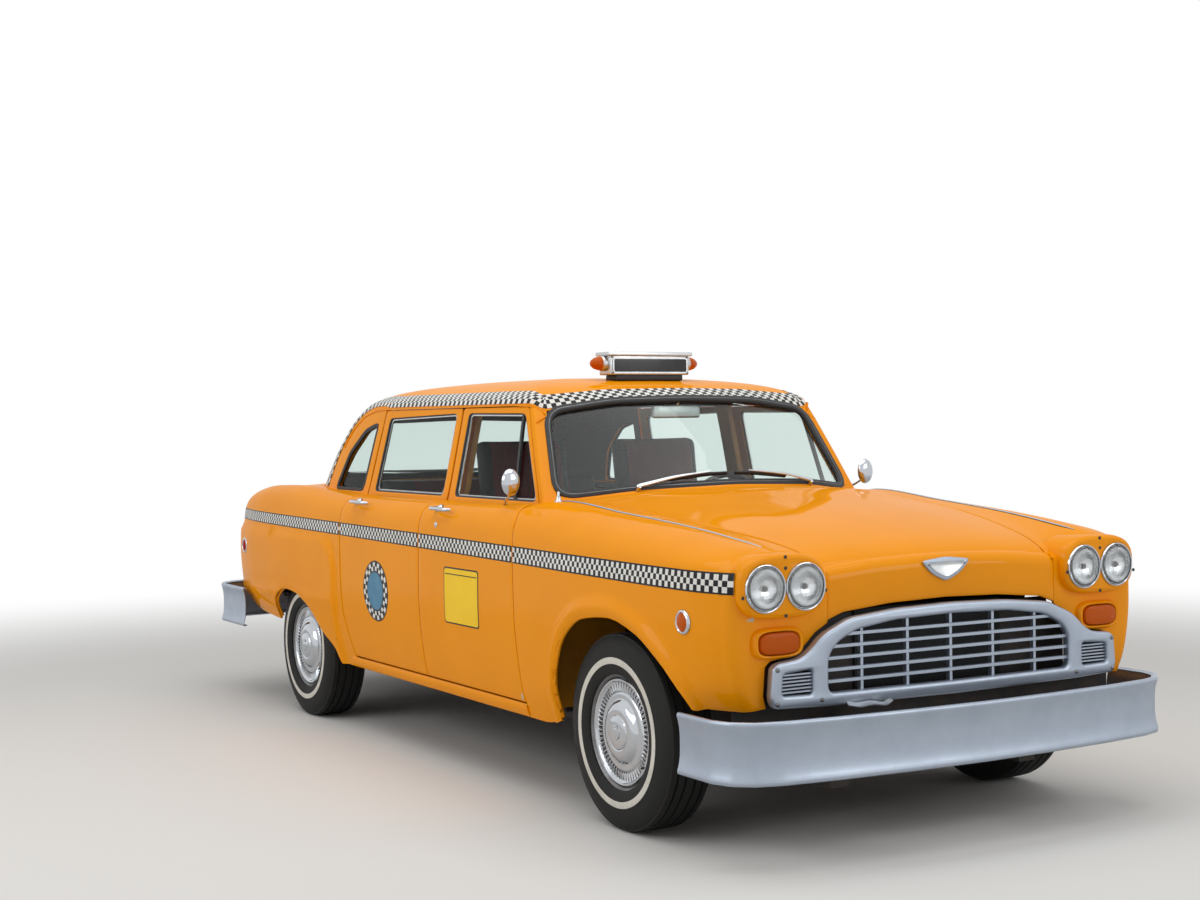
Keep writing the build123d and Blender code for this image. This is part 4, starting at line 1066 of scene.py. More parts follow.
def lip_rise(points: Grid, arch: Outline, axle_x: float, width: float, rise: float) -> Grid:
    """How far a wheel opening's raised lip stands out at each point.

    Args:
        points: Grid of points.
        arch: The opening's outline.
        axle_x: Its axle.
        width: Width of the lip.
        rise: Its height.

    Returns:
        Height at each point.
    """
    line = arch_line(arch, axle_x, 12.0)
    d = np.linalg.norm(points[:, :, None, ::2] - line[None, None], axis=-1).min(-1)
    return rise * (1 - ease(width * 0.62, width * 1.5, d)) * (0.45 + 0.55 * ease(-2, width * 0.3, d))


def lip_bead(name: str, arch: Outline, axle_x: float, lift: float, radius: float, side: int) -> None:
    """Rolled edge of a wheel opening.

    Args:
        name: Piece name.
        arch: The opening's outline.
        axle_x: Its axle.
        lift: How far the bead's middle stands out from the skin.
        radius: The bead's radius.
        side: 1 on the left, -1 on the right.
    """
    at = arch_line(arch, axle_x, 12.0)
    at = at[at[:, 1] > LOWER.at(at[:, 0], np.zeros(len(at)))[:, 2] + radius]
    line = (side_point(at[:, 0], at[:, 1]) + (0, lift, 0)) * (1, side, 1)
    fit(dress(sweep(name, line, circle(radius, 12), (0, 1, 0)), BODY_ENAMEL), "body", "body_paint")


def round_end(last: Grid, inner_edge: Outline, radius: float, end: float, shares: Sequence[float]) -> Grid:
    """Rows that round one end of a side panel and run in across the car.

    Args:
        last: The side's last row of points.
        inner_edge: Line (y, z) that the rows run to.
        radius: Radius of the turn.
        end: x of the car's end.
        shares: Places of the rows across the end, 1 at the inner edge.

    Returns:
        More rows of points.
    """
    inner = resampled(np.array(inner_edge, float), 1.0)
    run = run_of(last[:, 1:])
    at = run / run[-1] * (len(inner) - 1)
    target = np.stack([np.interp(at, np.arange(len(inner)), inner[:, k]) for k in (0, 1)], 1)
    way = target - last[:, 1:]
    reach = np.linalg.norm(way, axis=1, keepdims=True)
    way /= np.maximum(reach, 1e-6)
    turn_reach = np.minimum(radius, reach * 0.9)
    rows = []
    for turn in np.radians(range(15, 91, 15)):
        flat = last[:, 1:] + way * turn_reach * (1 - math.cos(turn))
        rows.append(np.column_stack([last[:, 0] + math.copysign(radius, end) * math.sin(turn), flat]))
    for share in shares:
        flat = last[:, 1:] + way * (turn_reach + (reach - turn_reach) * share)
        rows.append(np.column_stack([np.full(len(last), end), flat]))
    return np.array(rows)


@dataclass
class FrontFender:
    """Front wing with its rounded nose and raised wheel lip."""

    side: int
    name: str
    nose_radius: float = 46.0
    depth: float = 12.0
    lip_width: float = 48.0
    lip_height: float = 20.0
    inner_edge: tuple[Point2, ...] = (
        (757, 506), (768, 545), (759, 642), (738, 658), (652, 668), (607, 694), (558, 739), (505, 768), (505, 930))

    def top(self, a: Grid, b: Grid) -> Grid:
        """Section parameter at the seam with the bonnet and the scuttle."""
        at_hood = LOWER_T_AT_Y(np.maximum(a, HOOD_REAR), along(HOOD_EDGE, a) + GAP)
        return at_hood + (LOWER_T_AT_Z(a, 1092.0) - at_hood) * (1 - ease(945, HOOD_REAR, a))

    def grid(self) -> Grid:
        """Outer points of the left fender, nose included."""
        arch = arch_line(FRONT_ARCH, FRONT_AXLE_X, 16.0)[:, 0]
        end = NOSE_X - self.nose_radius
        at = np.concatenate([np.linspace(980, arch[0], 24)[:-1], arch, np.linspace(arch[-1], end, 16)[1:]])
        s = np.concatenate([[0, 0.0022], (at[1:] - at[0]) / (end - at[0])])
        rows = np.concatenate([[0.0, 0.004], np.linspace(0.03, 0.62, 34), np.linspace(0.64, 0.992, 26), [1.0]])
        a, b = solve_patch(
            s, rows, lambda a, b: along(FRONT_EDGE, LOWER.at(a, b)[..., 2], True) + GAP, fixed(end),
            lambda a, b: LOWER_T_AT_Z(a, arch_height(FRONT_ARCH, FRONT_AXLE_X, a)), self.top, (1500, 3))
        side = LOWER.at(a, b)
        facing = normals(side, (0, 1, 0.2))
        side = side + facing * lip_rise(side, FRONT_ARCH, FRONT_AXLE_X, self.lip_width, self.lip_height)[..., None]
        nose = round_end(side[-1], self.inner_edge, self.nose_radius, NOSE_X, (0.12, 0.3, 0.5, 0.7, 0.88, 0.985, 1.0))
        return np.concatenate([side, nose], axis=0)

    def build(self) -> None:
        """Make the fender."""
        # Inner side in flat black: painted shade of the wheel well.
        piece = panel(f"fender_panel_{self.name}", self.grid(), self.depth, (0.3, 1, 0.3),
                      (BODY_ENAMEL, WELL_SHADE_BLACK), self.side)
        lip_bead(f"front_arch_bead_{self.name}", FRONT_ARCH, FRONT_AXLE_X, 2.5, 8.0, self.side)
        fit(piece, "body", "body_paint", f"front_fender_{self.name}")


@dataclass
class Quarter:
    """Rear quarter panel with its wheel opening and rounded tail."""

    side: int
    name: str
    tail_radius: float = 50.0
    depth: float = 12.0
    lip_width: float = 34.0
    lip_height: float = 10.0
    wing_front: float = -832.0
    wing_top: float = 912.0
    wing_height: float = 17.0
    wing_corner: float = 170.0
    wing_fade: Point2 = (26.0, 6.0)
    ridge_z: float = 600.0
    ridge_slope: float = 0.02
    ridge_height: float = 7.0
    ridge_width: float = 26.0
    ridge_end: Point2 = (-900.0, -790.0)
    deck_edge: tuple[Point2, ...] = ((-2415, 590), (-1745, 590), (-1620, 690), (-1400, 745), (-780, 778))
    inner_edge: tuple[Point2, ...] = ((505, 522), (505, 632), (590, 645), (590, 930))

    def crease(self, points: Grid) -> Grid:
        """Soft ridge along the flank, and the fuller shape under the stripe."""
        x, z = points[..., 0], points[..., 2]
        line = self.ridge_z + self.ridge_slope * (x - REAR_AXLE_X)
        ridge = self.ridge_height * np.exp(-((z - line) / self.ridge_width) ** 2) * (1 - ease(*self.ridge_end, x))
        corner = self.wing_corner
        inside_x, inside_z = x - (self.wing_front - corner), z - (self.wing_top - corner)
        reach = np.where((inside_x > 0) & (inside_z > 0), np.hypot(inside_x, inside_z), np.maximum(inside_x, inside_z))
        return ridge + self.wing_height * (1 - ease(corner - self.wing_fade[0], corner + self.wing_fade[1], reach))

    def grid(self) -> Grid:
        """Outer points of the left quarter panel, tail included."""
        arch = arch_line(REAR_ARCH, REAR_AXLE_X, 16.0)[:, 0]
        end = TAIL_X + self.tail_radius
        at = np.concatenate([np.linspace(end, arch[0], 36)[:-1], arch, np.linspace(arch[-1], -745, 34)[1:]])
        s = np.concatenate([(at[:-1] - end) / (-745 - end), [0.9985, 1.0]])
        rows = np.concatenate([[0.0, 0.004], np.linspace(0.03, 0.45, 26), np.linspace(0.465, 0.8, 38),
                               np.linspace(0.83, 0.992, 14), [1.0]])
        edge = self.deck_edge
        a, b = solve_patch(
            s, rows, fixed(end), lambda a, b: along(REAR_EDGE, LOWER.at(a, b)[..., 2], True) - GAP,
            lambda a, b: LOWER_T_AT_Z(a, arch_height(REAR_ARCH, REAR_AXLE_X, a)),
            lambda a, b: LOWER_T_AT_Y(a, along(edge, a)), (-1500, 3))
        side = LOWER.at(a, b)
        facing = normals(side, (0, 1, 0.2))
        rise = np.maximum(lip_rise(side, REAR_ARCH, REAR_AXLE_X, self.lip_width, self.lip_height), self.crease(side))
        side = side + facing * rise[..., None]
        tail = round_end(side[0], self.inner_edge, self.tail_radius, TAIL_X, (0.15, 0.4, 0.65, 0.88, 0.985, 1.0))
        return np.concatenate([tail[::-1], side], axis=0)

    def build(self) -> None:
        """Make the quarter panel."""
        # Inner side in flat black: painted shade of the wheel well.
        piece = panel(f"quarter_skin_{self.name}", self.grid(), self.depth, (-0.3, 1, 0.3),
                      (BODY_ENAMEL, WELL_SHADE_BLACK), self.side)
        lip_bead(f"rear_arch_bead_{self.name}", REAR_ARCH, REAR_AXLE_X, 0.5, 6.0, self.side)
        fit(piece, "body", "body_paint", f"quarter_panel_{self.name}")


@dataclass
class Lid:
    """Bonnet or boot lid, which turns down over one end of the car."""

    name: str
    node: str
    hinge: float
    end: float
    radius: float
    rows: tuple[int, float]
    width: float
    edge: Outline
    lip: Outline
    shares: tuple[float, ...]
    depth: float = 16.0

    def build(self) -> None:
        """Make the lid."""
        sign = math.copysign(1, self.end)
        a, b = solve_patch(spaced(*self.rows), spaced(40, self.width), fixed(self.hinge),
                           fixed(self.end - sign * self.radius), lambda a, b: LOWER_T_AT_Y(a, along(self.edge, a)),
                           fixed(8.0), (self.hinge, 7))
        top = LOWER.at(a, b)
        x, y, z = top[-1].T
        turned_down = [np.column_stack([x + sign * self.radius * math.sin(turn), y,
                                        z - self.radius * (1 - math.cos(turn))])
                       for turn in np.radians(range(12, 91, 13))]
        start, foot = turned_down[-1][:, 2], along(self.lip, y)
        face = [np.column_stack([np.full(len(y), self.end), y, start + (foot - start) * t]) for t in self.shares]
        grid = np.concatenate([top, np.array(turned_down + face)], axis=0)
        fit(whole_panel(self.name, grid, self.depth, (0.3 * sign, 0, 1), (BODY_ENAMEL, INNER_ENAMEL)),
            self.node, "body_paint", self.node)


BONNET = Lid("hood_panel", "hood", HOOD_REAR, NOSE_X, 48.0, (46, 1150), 520, HOOD_EDGE,
             ((0, 823), (240, 817), (440, 799), (520, 772)), (0.2, 0.45, 0.7, 0.9, 0.97, 1.0))
BOOT_LID = Lid("boot_lid_panel", "trunk_lid", LID_FRONT, TAIL_X, 55.0, (30, 620), 585,
               ((TAIL_X, LID_Y), (LID_FRONT, LID_Y)), ((0, 640), (LID_Y, 640)),
               (0.1, 0.25, 0.4, 0.55, 0.7, 0.85, 0.97, 1.0))


def band_loop(outer: Outline, inner: Outline, surface: Callable[[Grid, Grid], Grid],
              across: Sequence[float], count: int = 14) -> Grid:
    """Grid of points between two outlines with matching corners.

    Args:
        outer: Corners of the outer outline.
        inner: Corners of the inner outline, the same number.
        surface: Gives points of the surface from the outlines' two coordinates.
        across: Positions from the outer outline, 0, to the inner one, 1.
        count: Points along each side.

    Returns:
        Points, one row for each place round the loop.
    """
    steps = np.linspace(0, 1, count, endpoint=False)
    rows = []
    for i in range(len(outer)):
        for t in steps:
            ends = [np.array(line[i], float) * (1 - t) + np.array(line[(i + 1) % len(line)], float) * t
                    for line in (outer, inner)]
            rows.append([ends[0] * (1 - r) + ends[1] * r for r in across])
    flat = np.array(rows)
    return surface(flat[..., 0], flat[..., 1])


def loop_shell(name: str, skin: Grid, inner: Grid, edges: Sequence[int], finishes: Sequence[Finish],
               side: int = 1, weld: float = 1e-5) -> Object:
    """Skin and lining whose rows go round a loop, with walls between them at some columns.

    Args:
        name: Object name.
        skin: Outer points, rows round the loop.
        inner: Inner points, as many.
        edges: Columns that get a wall, among 0 and -1.
        finishes: Outer and inner finish.
        side: 1 for left, -1 for right.
        weld: Points nearer than this are joined.

    Returns:
        The object.
    """
    rows, columns = skin.shape[:2]
    count = rows * columns
    k = columns // 2
    flip = bool(np.cross(skin[1, k] - skin[0, k], skin[0, k + 1] - skin[0, k]) @ (skin[0, k] - inner[0, k]) < 0)
    faces = grid_faces(rows, columns, 0, True, flip=flip)
    inside = grid_faces(rows, columns, count, True, flip=not flip)
    walls = []
    for i in range(rows):
        i2 = (i + 1) % rows
        for edge in edges:
            j = edge % columns
            quad = (i * columns + j, count + i * columns + j, count + i2 * columns + j, i2 * columns + j)
            walls.append(quad[::-1] if flip == (j == 0) else quad)
    points = np.concatenate([skin.reshape(-1, 3), inner.reshape(-1, 3)]) * MM
    face_slots = [0] * (len(faces) + len(walls)) + [1] * len(inside)
    faces = faces + walls + inside
    if side < 0:
        points, faces = mirror_y(points, faces)
    made = dress(make_mesh(name, points, faces, face_slots, weld=weld), *finishes)
    fix_normals(made)
    return made


def loop_slab(name: str, grid: Grid, depth: float, out: Point3, finishes: Sequence[Finish], side: int = 1) -> Object:
    """Frame round a hole, with rolled edges.

    Args:
        name: Object name.
        grid: Points of the outer skin, left side, rows round the loop.
        depth: Depth of the frame.
        out: Rough direction that it faces.
        finishes: Outer and inner finish.
        side: 1 for left, -1 for right.

    Returns:
        The object.
    """
    n = normals(np.concatenate([grid[-1:], grid, grid[:1]], axis=0), out)[1:-1]
    skin = grid.copy()
    for j in (0, -1):
        skin[:, j] -= n[:, j] * 1.2
    return loop_shell(name, skin, grid - n * depth, (0, -1), finishes, side)


SIDE_GLASS_MM = 5.0


def side_pane(name: str, window: Outline, heights: Grid, columns: int, inset: float, edge: float, side: int,
              upright: bool = False) -> Object:
    """Curved side glass that runs into its seal all round.

    Args:
        name: Object name.
        window: Corners of the window.
        heights: Height of each row of points.
        columns: Points in a row.
        inset: How far the glass stands in from the body's side.
        edge: Rounding of its edges.
        side: 1 for left, -1 for right.
        upright: The points run in upright lines, not in level ones.

    Returns:
        The object.
    """
    low, high = min(v for _, v in window) + 0.5, max(v for _, v in window) - 8
    rows = []
    for z in heights:
        left, right = span(window, float(np.clip(z, low, high)))
        rows.append(upper_side_point(np.linspace(left - 6, right + 6, columns), np.full(columns, z)) - (0, inset, 0))
    grid = np.array(rows)
    points, faces, _ = slab(grid.transpose(1, 0, 2) if upright else grid, SIDE_GLASS_MM, (0, 1, 0), edge)
    if side < 0:
        points, faces = mirror_y(points, faces)
    return dress(make_mesh(name, points, faces), SIDE_GLASS)


@dataclass
class Door:
    """Door with its painted skin, window frame, lining and fittings."""

    which: str
    side: int
    name: str
    depth: float = 46.0
    frame_depth: float = 24.0
    low: float = DOOR_BOTTOM
    handle_x: dict = field(default_factory=lambda: {"front": 300.0, "rear": -573.0})

    @property
    def body(self) -> str:
        """Body that the door rides on."""
        return f"{self.which}_door_{self.name}"

    @property
    def window(self) -> tuple[Point2, ...]:
        """Corners of the window."""
        return FRONT_WINDOW if self.which == "front" else REAR_WINDOW

    def edges(self) -> tuple[Bound, Bound]:
        """Rear and front edge of the lower skin."""
        if self.which == "front":
            return (fixed(MEETING_X + GAP / 2), lambda a, b: along(FRONT_EDGE, LOWER.at(a, b)[..., 2], True))
        return (lambda a, b: along(REAR_EDGE, LOWER.at(a, b)[..., 2], True), fixed(MEETING_X - GAP / 2))

    def skin(self) -> Grid:
        """Outer points of the left door below its window."""
        rear, front = self.edges()
        a, b = solve_patch(spaced(40, 880), spaced(46, 800), rear, front,
                           lambda a, b: LOWER_T_AT_Z(a, self.low),
                           lambda a, b: LOWER_T_AT_Y(a, SHOULDER_Y),
                           (500 if self.which == "front" else -300, 3))
        return LOWER.at(a, b)

    def frame_outline(self) -> list[Point2]:
        """Corners of the window frame's outer edge, matching the window's."""
        if self.which == "front":
            return [(916, 1098), (MEETING_X + 8, 1098), (MEETING_X + 8, DOOR_TOP), (674, DOOR_TOP)]
        return [(MEETING_X - 8, 1098), (-766, 1098), (-722, DOOR_TOP), (MEETING_X - 8, DOOR_TOP)]

    def build(self) -> None:
        """Make the door."""
        out = (0, 1, 0.1)
        skin = panel(f"{self.body}_skin", self.skin(), self.depth, out, (BODY_ENAMEL, INNER_ENAMEL), self.side)
        fit(skin, self.body, "body_paint", self.body)
        window = self.window
        outer = rounded(self.frame_outline(), 14, 4)
        inner = rounded(window, 26, 4)
        grid = band_loop(outer, inner, upper_side_point, (0, 0.08, 0.35, 0.65, 0.92, 1.0), 5)
        fit(loop_slab(f"{self.body}_frame", grid, self.frame_depth, out, (BODY_ENAMEL, INNER_ENAMEL), self.side),
            self.body, "body_paint")
        self.glass(window)
        self.lining()
        self.handle()

    def glass(self, window: Outline) -> None:
        """Window glass, its seal, its bright inner trim and the quarter light's divider.

        Args:
            window: Corners of the window.
        """
        line = np.array(resampled(np.array(rounded(window, 26, 6)), 14, True))
        at = upper_side_point(line[:, 0], line[:, 1])
        flip = np.array([1, self.side, 1])
        seal = sweep(f"{self.body}_seal", (at - (0, 8, 0)) * flip, [(-6, -5), (6, -5), (6, 4), (0, 7), (-6, 4)],
                     (0, self.side, 0), closed_path=True)
        fit(dress(seal, RUBBER_AND_SHADE_BLACK), self.body, "body_paint")
        middle = line.mean(0)
        trim_line = middle + (line - middle) * 0.965
        trim = upper_side_point(trim_line[:, 0], trim_line[:, 1]) - (0, 12, 0)
        bright = sweep(f"{self.body}_window_trim", trim * flip, oblong((-5, -3), (5, 3)),
                       (0, self.side, 0), closed_path=True)
        fit(dress(bright, BARE_ALUMINIUM), self.body, "silver_metal")
        low, high = min(v for _, v in window), max(v for _, v in window)
        piece = side_pane(f"{self.body}_pane", window, np.linspace(low - 8, high + 4, 12), 14, 13, 0.3, self.side, True)
        fit(piece, self.body, "clear_glass", f"{self.which}_door_glass_{self.name}")
        if self.which == "front":
            path = upper_side_point(*resampled(np.array([(705, low), (640, high)], float), 40).T) - (0, 9, 0)
            post = sweep(f"{self.body}_vent_post", path * flip, oblong((-9, -5), (9, 6)), (0, self.side, 0))
            fit(dress(post, RUBBER_AND_SHADE_BLACK), self.body, "body_paint")

    def lining(self) -> None:
        """Inner trim panel with its armrest and window crank."""
        rear, front = (118.0, 930.0) if self.which == "front" else (-700.0, 84.0)
        outline = rounded([(rear, 430), (front, 430), (front - 12, 1030), (rear, 1030)], 60, 6)
        if self.which == "rear":
            outline = rounded([(rear + 40, 430), (front, 430), (front, 1030), (rear - 30, 1030), (rear - 40, 700)],
                              60, 6)
        place = Matrix(((1, 0, 0, 0), (0, 0, 1, (856 - self.depth) * MM * self.side), (0, 1, 0, 0), (0, 0, 0, 1)))
        card = plate(f"{self.body}_card", [outline], 10, 4, place)
        for vertex in card.data.vertices:
            x, y, z = (c / MM for c in vertex.co)
            skin = side_point(x, z)[1] - self.depth - 6
            vertex.co.y = (skin + (abs(y) - (856 - self.depth))) * MM * self.side
        fit(dress(card, RED_VINYL), self.body, "seat_vinyl")
        y = 812 - self.depth
        centre = (rear + front) / 2 - 40
        rest = block(f"{self.body}_armrest", (centre - 140, y - 52, 742), (centre + 140, y - 4, 790), 18)
        rest.data.transform(Matrix.Scale(self.side, 4, (0, 1, 0)))
        fix_normals(rest)
        fit(dress(rest, BLACK_VINYL), self.body, "seat_vinyl")
        knob_at = (centre + 220, (y + 8) * self.side, 800)
        crank = join(f"{self.body}_window_crank", [
            dress(turned("crank_boss", [(0, 0), (0, 20), (14, 17), (18, 0)], knob_at, (0, -self.side, 0), 24), CHROME),
            dress(sweep("crank_arm", np.array([knob_at, (knob_at[0] - 60, knob_at[1] - self.side * 16, 770)], float)
                        + (0, -self.side * 12, 0), oblong((-6, -3), (6, 3)), (0, 0, 1)), CHROME)])
        fit(crank, self.body, "silver_metal")

    def handle(self) -> None:
        """Outside pull handle with its base plates and lock."""
        x = self.handle_x[self.which]
        y = float(side_point(x, 1080.0)[1])
        s = self.side
        path = np.array([(x - 74, y - 6, 1080), (x - 74, y + 16, 1082), (x - 60, 936, 1084), (x, 943, 1085),
                         (x + 55, 940, 1084), (x + 80, 931, 1083), (x + 90, 916, 1082)])
        smooth = curve(path, 25) * np.array([1, s, 1])
        grip = sweep("grip", smooth, [(-8, 0), (-6, 5), (0, 7), (6, 5), (8, 0), (6, -5), (0, -7), (-6, -5)],
                     (0, 0, 1), scale=np.interp(np.arange(25), [0, 6, 18, 24], [1.6, 1.2, 1.35, 0.9]))
        pad = turned("pad", [(-14, 0), (-14, 21), (2, 20), (8, 14), (13, 9), (14, 0)], (x - 62, (y - 2) * s, 1080),
                     (0, s, 0.4), 28)
        fit(join(f"{self.body}_handle", [dress(grip, CHROME), dress(pad, CHROME)]), self.body, "silver_metal")
        if self.which == "front":
            at = side_point(x - 30, 1016.0) * np.array([1, s, 1])
            lock = turned(f"{self.body}_lock", [(-3, 0), (-3, 12), (2, 12), (4, 9), (4, 3), (1, 2), (1, 0)], at,
                          (0, s, 0), 24)
            fit(dress(lock, CHROME), self.body, "silver_metal")


@dataclass
class UpperBody:
    """Roof, pillars, scuttle and rear deck, with the pale headlining inside."""

    depth: float = 26.0
    foot: float = 1094.0
    side_top: float = 1509.0
    chequer: float = 22.0
    chequer_rows: int = 4
    band_lift: float = 8.0
    band_down: tuple[Point2, ...] = ((-760, 1518), (-880, 1514), (-1000, 1492), (-1115, 1436), (-1205, 1352),
                                     (-1262, 1262), (-1296, 1182), (-1312, 1128))

    @staticmethod
    def end_y(outline: Outline, z: Grid) -> Grid:
        """Half width of the windscreen or back window at a height, held above and below it."""
        corners = outline[2:4] if len(outline) > 4 else outline[1:3]
        return along(corners, z, True)

    @staticmethod
    def place_of(corner: Point2, rear: bool = False) -> float:
        """Place round the body of a corner of the windscreen or the back window."""
        if rear:
            return float(UPPER_REAR_V_AT_Y(UPPER_W_AT_Z(7.5, corner[1]), corner[0]))
        return float(UPPER_FRONT_V_AT_Y(UPPER_W_AT_Z(1.9, corner[1]), corner[0]))

    def scuttle(self) -> Grid:
        """Points between the bonnet and the windscreen."""
        corner = self.place_of(WINDSCREEN[2])
        v = np.linspace(0, corner, 30)[:, None] * np.ones((1, 10))
        y = UPPER.at(v[:, 0], np.full(30, 1.3))[:, 1]
        top = along(WINDSCREEN[:3], y)
        r = np.linspace(0, 1, 10)[None]
        z = self.foot + r * (top[:, None] - self.foot)
        return UPPER.at(v, UPPER_W_AT_Z(v, z))

    def front_pillar(self) -> Grid:
        """Points between the windscreen and the front door's frame."""
        z_ends = (self.foot, self.side_top)

        def windscreen_edge(a: Grid, b: Grid) -> Grid:
            """Place round the body of the windscreen's edge."""
            z = UPPER.at(a, b)[..., 2]
            return UPPER_FRONT_V_AT_Y(b, self.end_y(WINDSCREEN, z))

        def door_edge(a: Grid, b: Grid) -> Grid:
            """Place round the body of the front door's frame."""
            z = UPPER.at(a, b)[..., 2]
            return UPPER_V_AT_X(b, along(FRONT_EDGE, z, True) + GAP)

        def top(a: Grid, b: Grid) -> Grid:
            """Level of the pillar's head, which rises towards the door."""
            share = (a - a.min(0)) / np.maximum(a.max(0) - a.min(0), 1e-6)
            return UPPER_W_AT_Z(a, WINDSCREEN[3][1] + share * (z_ends[1] - WINDSCREEN[3][1]))

        a, b = solve_patch(np.linspace(0, 1, 10), np.linspace(0, 1, 30), windscreen_edge, door_edge,
                           lambda a, b: UPPER_W_AT_Z(a, self.foot), top, (2.3, 2.0))
        return UPPER.at(a, b)

    def roof_low(self, v: Grid) -> Grid:
        """Height of the roof's lower edge at places round the car."""
        made = []
        front_v = self.place_of(WINDSCREEN[3])
        door_v = float(UPPER_V_AT_X(UPPER_W_AT_Z(3.2, self.side_top), FRONT_EDGE[-1][0] + GAP))
        rear_v = self.place_of(BACK_WINDOW[2], True)
        for value in v:
            if value <= front_v:
                y = float(UPPER.at(value, 3.9)[1])
                made.append(along(WINDSCREEN[3:], y))
            elif value < door_v:
                foot = WINDSCREEN[3][1]
                made.append(foot + (value - front_v) / (door_v - front_v) * (self.side_top - foot))
            elif value <= rear_v:
                made.append(self.side_top)
            else:
                y = float(UPPER.at(value, 3.3)[1])
                made.append(along(BACK_WINDOW[2:], y))
        return np.array(made)

    def roof(self) -> Grid:
        """Points of the roof from the glass and gutters to its middle."""
        rear_v = self.place_of(BACK_WINDOW[2], True)
        v = np.concatenate([np.linspace(0, rear_v, 110), np.linspace(rear_v + 0.003, 9, 16)])
        low = UPPER_W_AT_Z(v, self.roof_low(v))
        r = np.concatenate([np.linspace(0, 0.5, 22), np.linspace(0.53, 1, 18)])[None]
        w = low[:, None] + r * (9 - low[:, None])
        return UPPER.at(np.broadcast_to(v[:, None], w.shape), w)

    def rear_quarter(self) -> Grid:
        """Points round the quarter window, from the rear door to the back window."""
        def pair(x: float, z: float) -> Point2:
            """Parameters of a place on the side."""
            w = float(UPPER_W_AT_Z(6.0, z))
            return float(UPPER_V_AT_X(w, float(x))), w

        def corner(z: float) -> Point2:
            """Parameters of a place beside the back window."""
            w = float(UPPER_W_AT_Z(7.4, z))
            return float(UPPER_REAR_V_AT_Y(w, float(self.end_y(BACK_WINDOW, min(z, 1458.0))))), w

        def door_edge(z: float) -> Point2:
            """Point beside the rear door's frame."""
            return pair(float(along(REAR_EDGE, z, True)) - GAP - (6 if z > 1200 else 3), z)

        def window_edge(z: float) -> Point2:
            """Point on the window's front edge."""
            (x0, z0), (x1, z1) = QUARTER_WINDOW[0], QUARTER_WINDOW[-1]
            return pair(float(np.interp(z, (z0, z1), (x0, x1))), z)

        outer = [door_edge(self.foot), corner(self.foot), corner(1290),
                 (corner(1458)[0], float(UPPER_W_AT_Z(7.4, self.side_top))), pair(-960, self.side_top)]
        outer += [door_edge(z) for z in (self.side_top, 1450, 1390, 1330, 1270, 1205, 1150, 1120)]
        inner = [pair(*p) for p in (*QUARTER_WINDOW[:2], (-1160, 1205), *QUARTER_WINDOW[2:])]
        inner += [window_edge(z) for z in (1405, 1360, 1315, 1265, 1210, 1165, 1140)]
        return band_loop(outer, inner, UPPER.at, (0, 0.03, 0.12, 0.25, 0.4, 0.55, 0.7, 0.85, 0.96, 1.0), 12)

    def back_panel(self) -> Grid:
        """Points under the back window."""
        corner = self.place_of(BACK_WINDOW[1], True)
        v = np.linspace(corner, 9, 26)
        y = UPPER.at(v, np.full(26, 1.3))[:, 1]
        top = along(BACK_WINDOW[:2], y)
        r = np.linspace(0, 1, 8)[None]
        z = self.foot + r * (top[:, None] - self.foot)
        v = np.broadcast_to(v[:, None], z.shape)
        return UPPER.at(v, UPPER_W_AT_Z(v, z))

    def deck(self) -> Grid:
        """Points of the deck between the back window and the boot lid."""
        def front(a: Grid, b: Grid) -> Grid:
            """Front edge, curved round the back window and forward at the pillars."""
            return -1480 - 170 * ease(3, 8, b) + 110 * ease(688, 722, LOWER.at(a, b)[..., 1])

        a, b = solve_patch(np.linspace(0, 1, 14), spaced(30, 600), fixed(LID_FRONT + GAP), front,
                           lambda a, b: LOWER_T_AT_Y(a, along(((-1745, 588), (-1620, 690), (-1400, 745)), a)),
                           fixed(8.0), (-1600, 7))
        return LOWER.at(a, b)

    def cowl(self) -> Grid:
        """Points of the cowl between bonnet and windscreen, out to the fenders."""
        fender = FrontFender(1, "left")
        a, b = solve_patch(np.linspace(0, 1, 18), np.linspace(0, 1, 30), fixed(925), fixed(HOOD_REAR - GAP),
                           fender.top, fixed(8.0), (1100, 7))
        return LOWER.at(a, b)

    def build(self) -> None:
        """Make the upper body."""
        paint = (BODY_ENAMEL, LINING_CLOTH)
        up = (0, 0, 1)
        roof = whole_panel_round("roof_panel", self.roof(), self.depth, paint)
        fit(roof, "body", "body_paint", "cabin_shell")
        fit(whole_panel("cowl_panel", self.cowl(), 10, up, (BODY_ENAMEL, INNER_ENAMEL)), "body", "body_paint")
        fit(whole_panel("deck_panel", self.deck(), 10, up, (BODY_ENAMEL, INNER_ENAMEL)), "body", "body_paint")
        scuttle = np.flip(self.scuttle().transpose(1, 0, 2), 1)
        fit(whole_panel("scuttle_panel", scuttle, 12, (1, 0, 0.6), paint), "body", "body_paint")
        fit(whole_panel("back_panel", self.back_panel().transpose(1, 0, 2), 12, (-1, 0, 0.6), paint), "body",
            "body_paint")
        for name, side in SIDES:
            fit(panel(f"front_pillar_{name}", self.front_pillar(), 34, (0.4, 1, 0.2), paint, side), "body",
                "body_paint")
            fit(loop_slab(f"rear_quarter_{name}", self.rear_quarter(), 26, (-0.3, 1, 0.2), paint, side), "body",
                "body_paint")
            self.gutter(name, side)
        self.chequered_band()

    def gutter(self, name: str, side: int) -> None:
        """Drip rail over the doors, from the windscreen pillar to the rear."""
        x = np.linspace(760, -1210, 90)
        z = along(((-1210, 1330), (-1120, 1420), (-1000, 1482), (-880, 1505), (-760, 1512), (560, 1514), (700, 1508),
                   (760, 1440)), x)
        path = upper_side_point(np.clip(x, -1205, 742), z) * np.array([1, side, 1]) + np.array([0, 2 * side, 0])
        rail = sweep(f"drip_rail_{name}", path, [(-4, -7), (7, -7), (9, 0), (5, 4), (4, -3), (-4, -1)],
                     (0, 0, 1))
        fit(dress(rail, BODY_ENAMEL), "body", "body_paint")

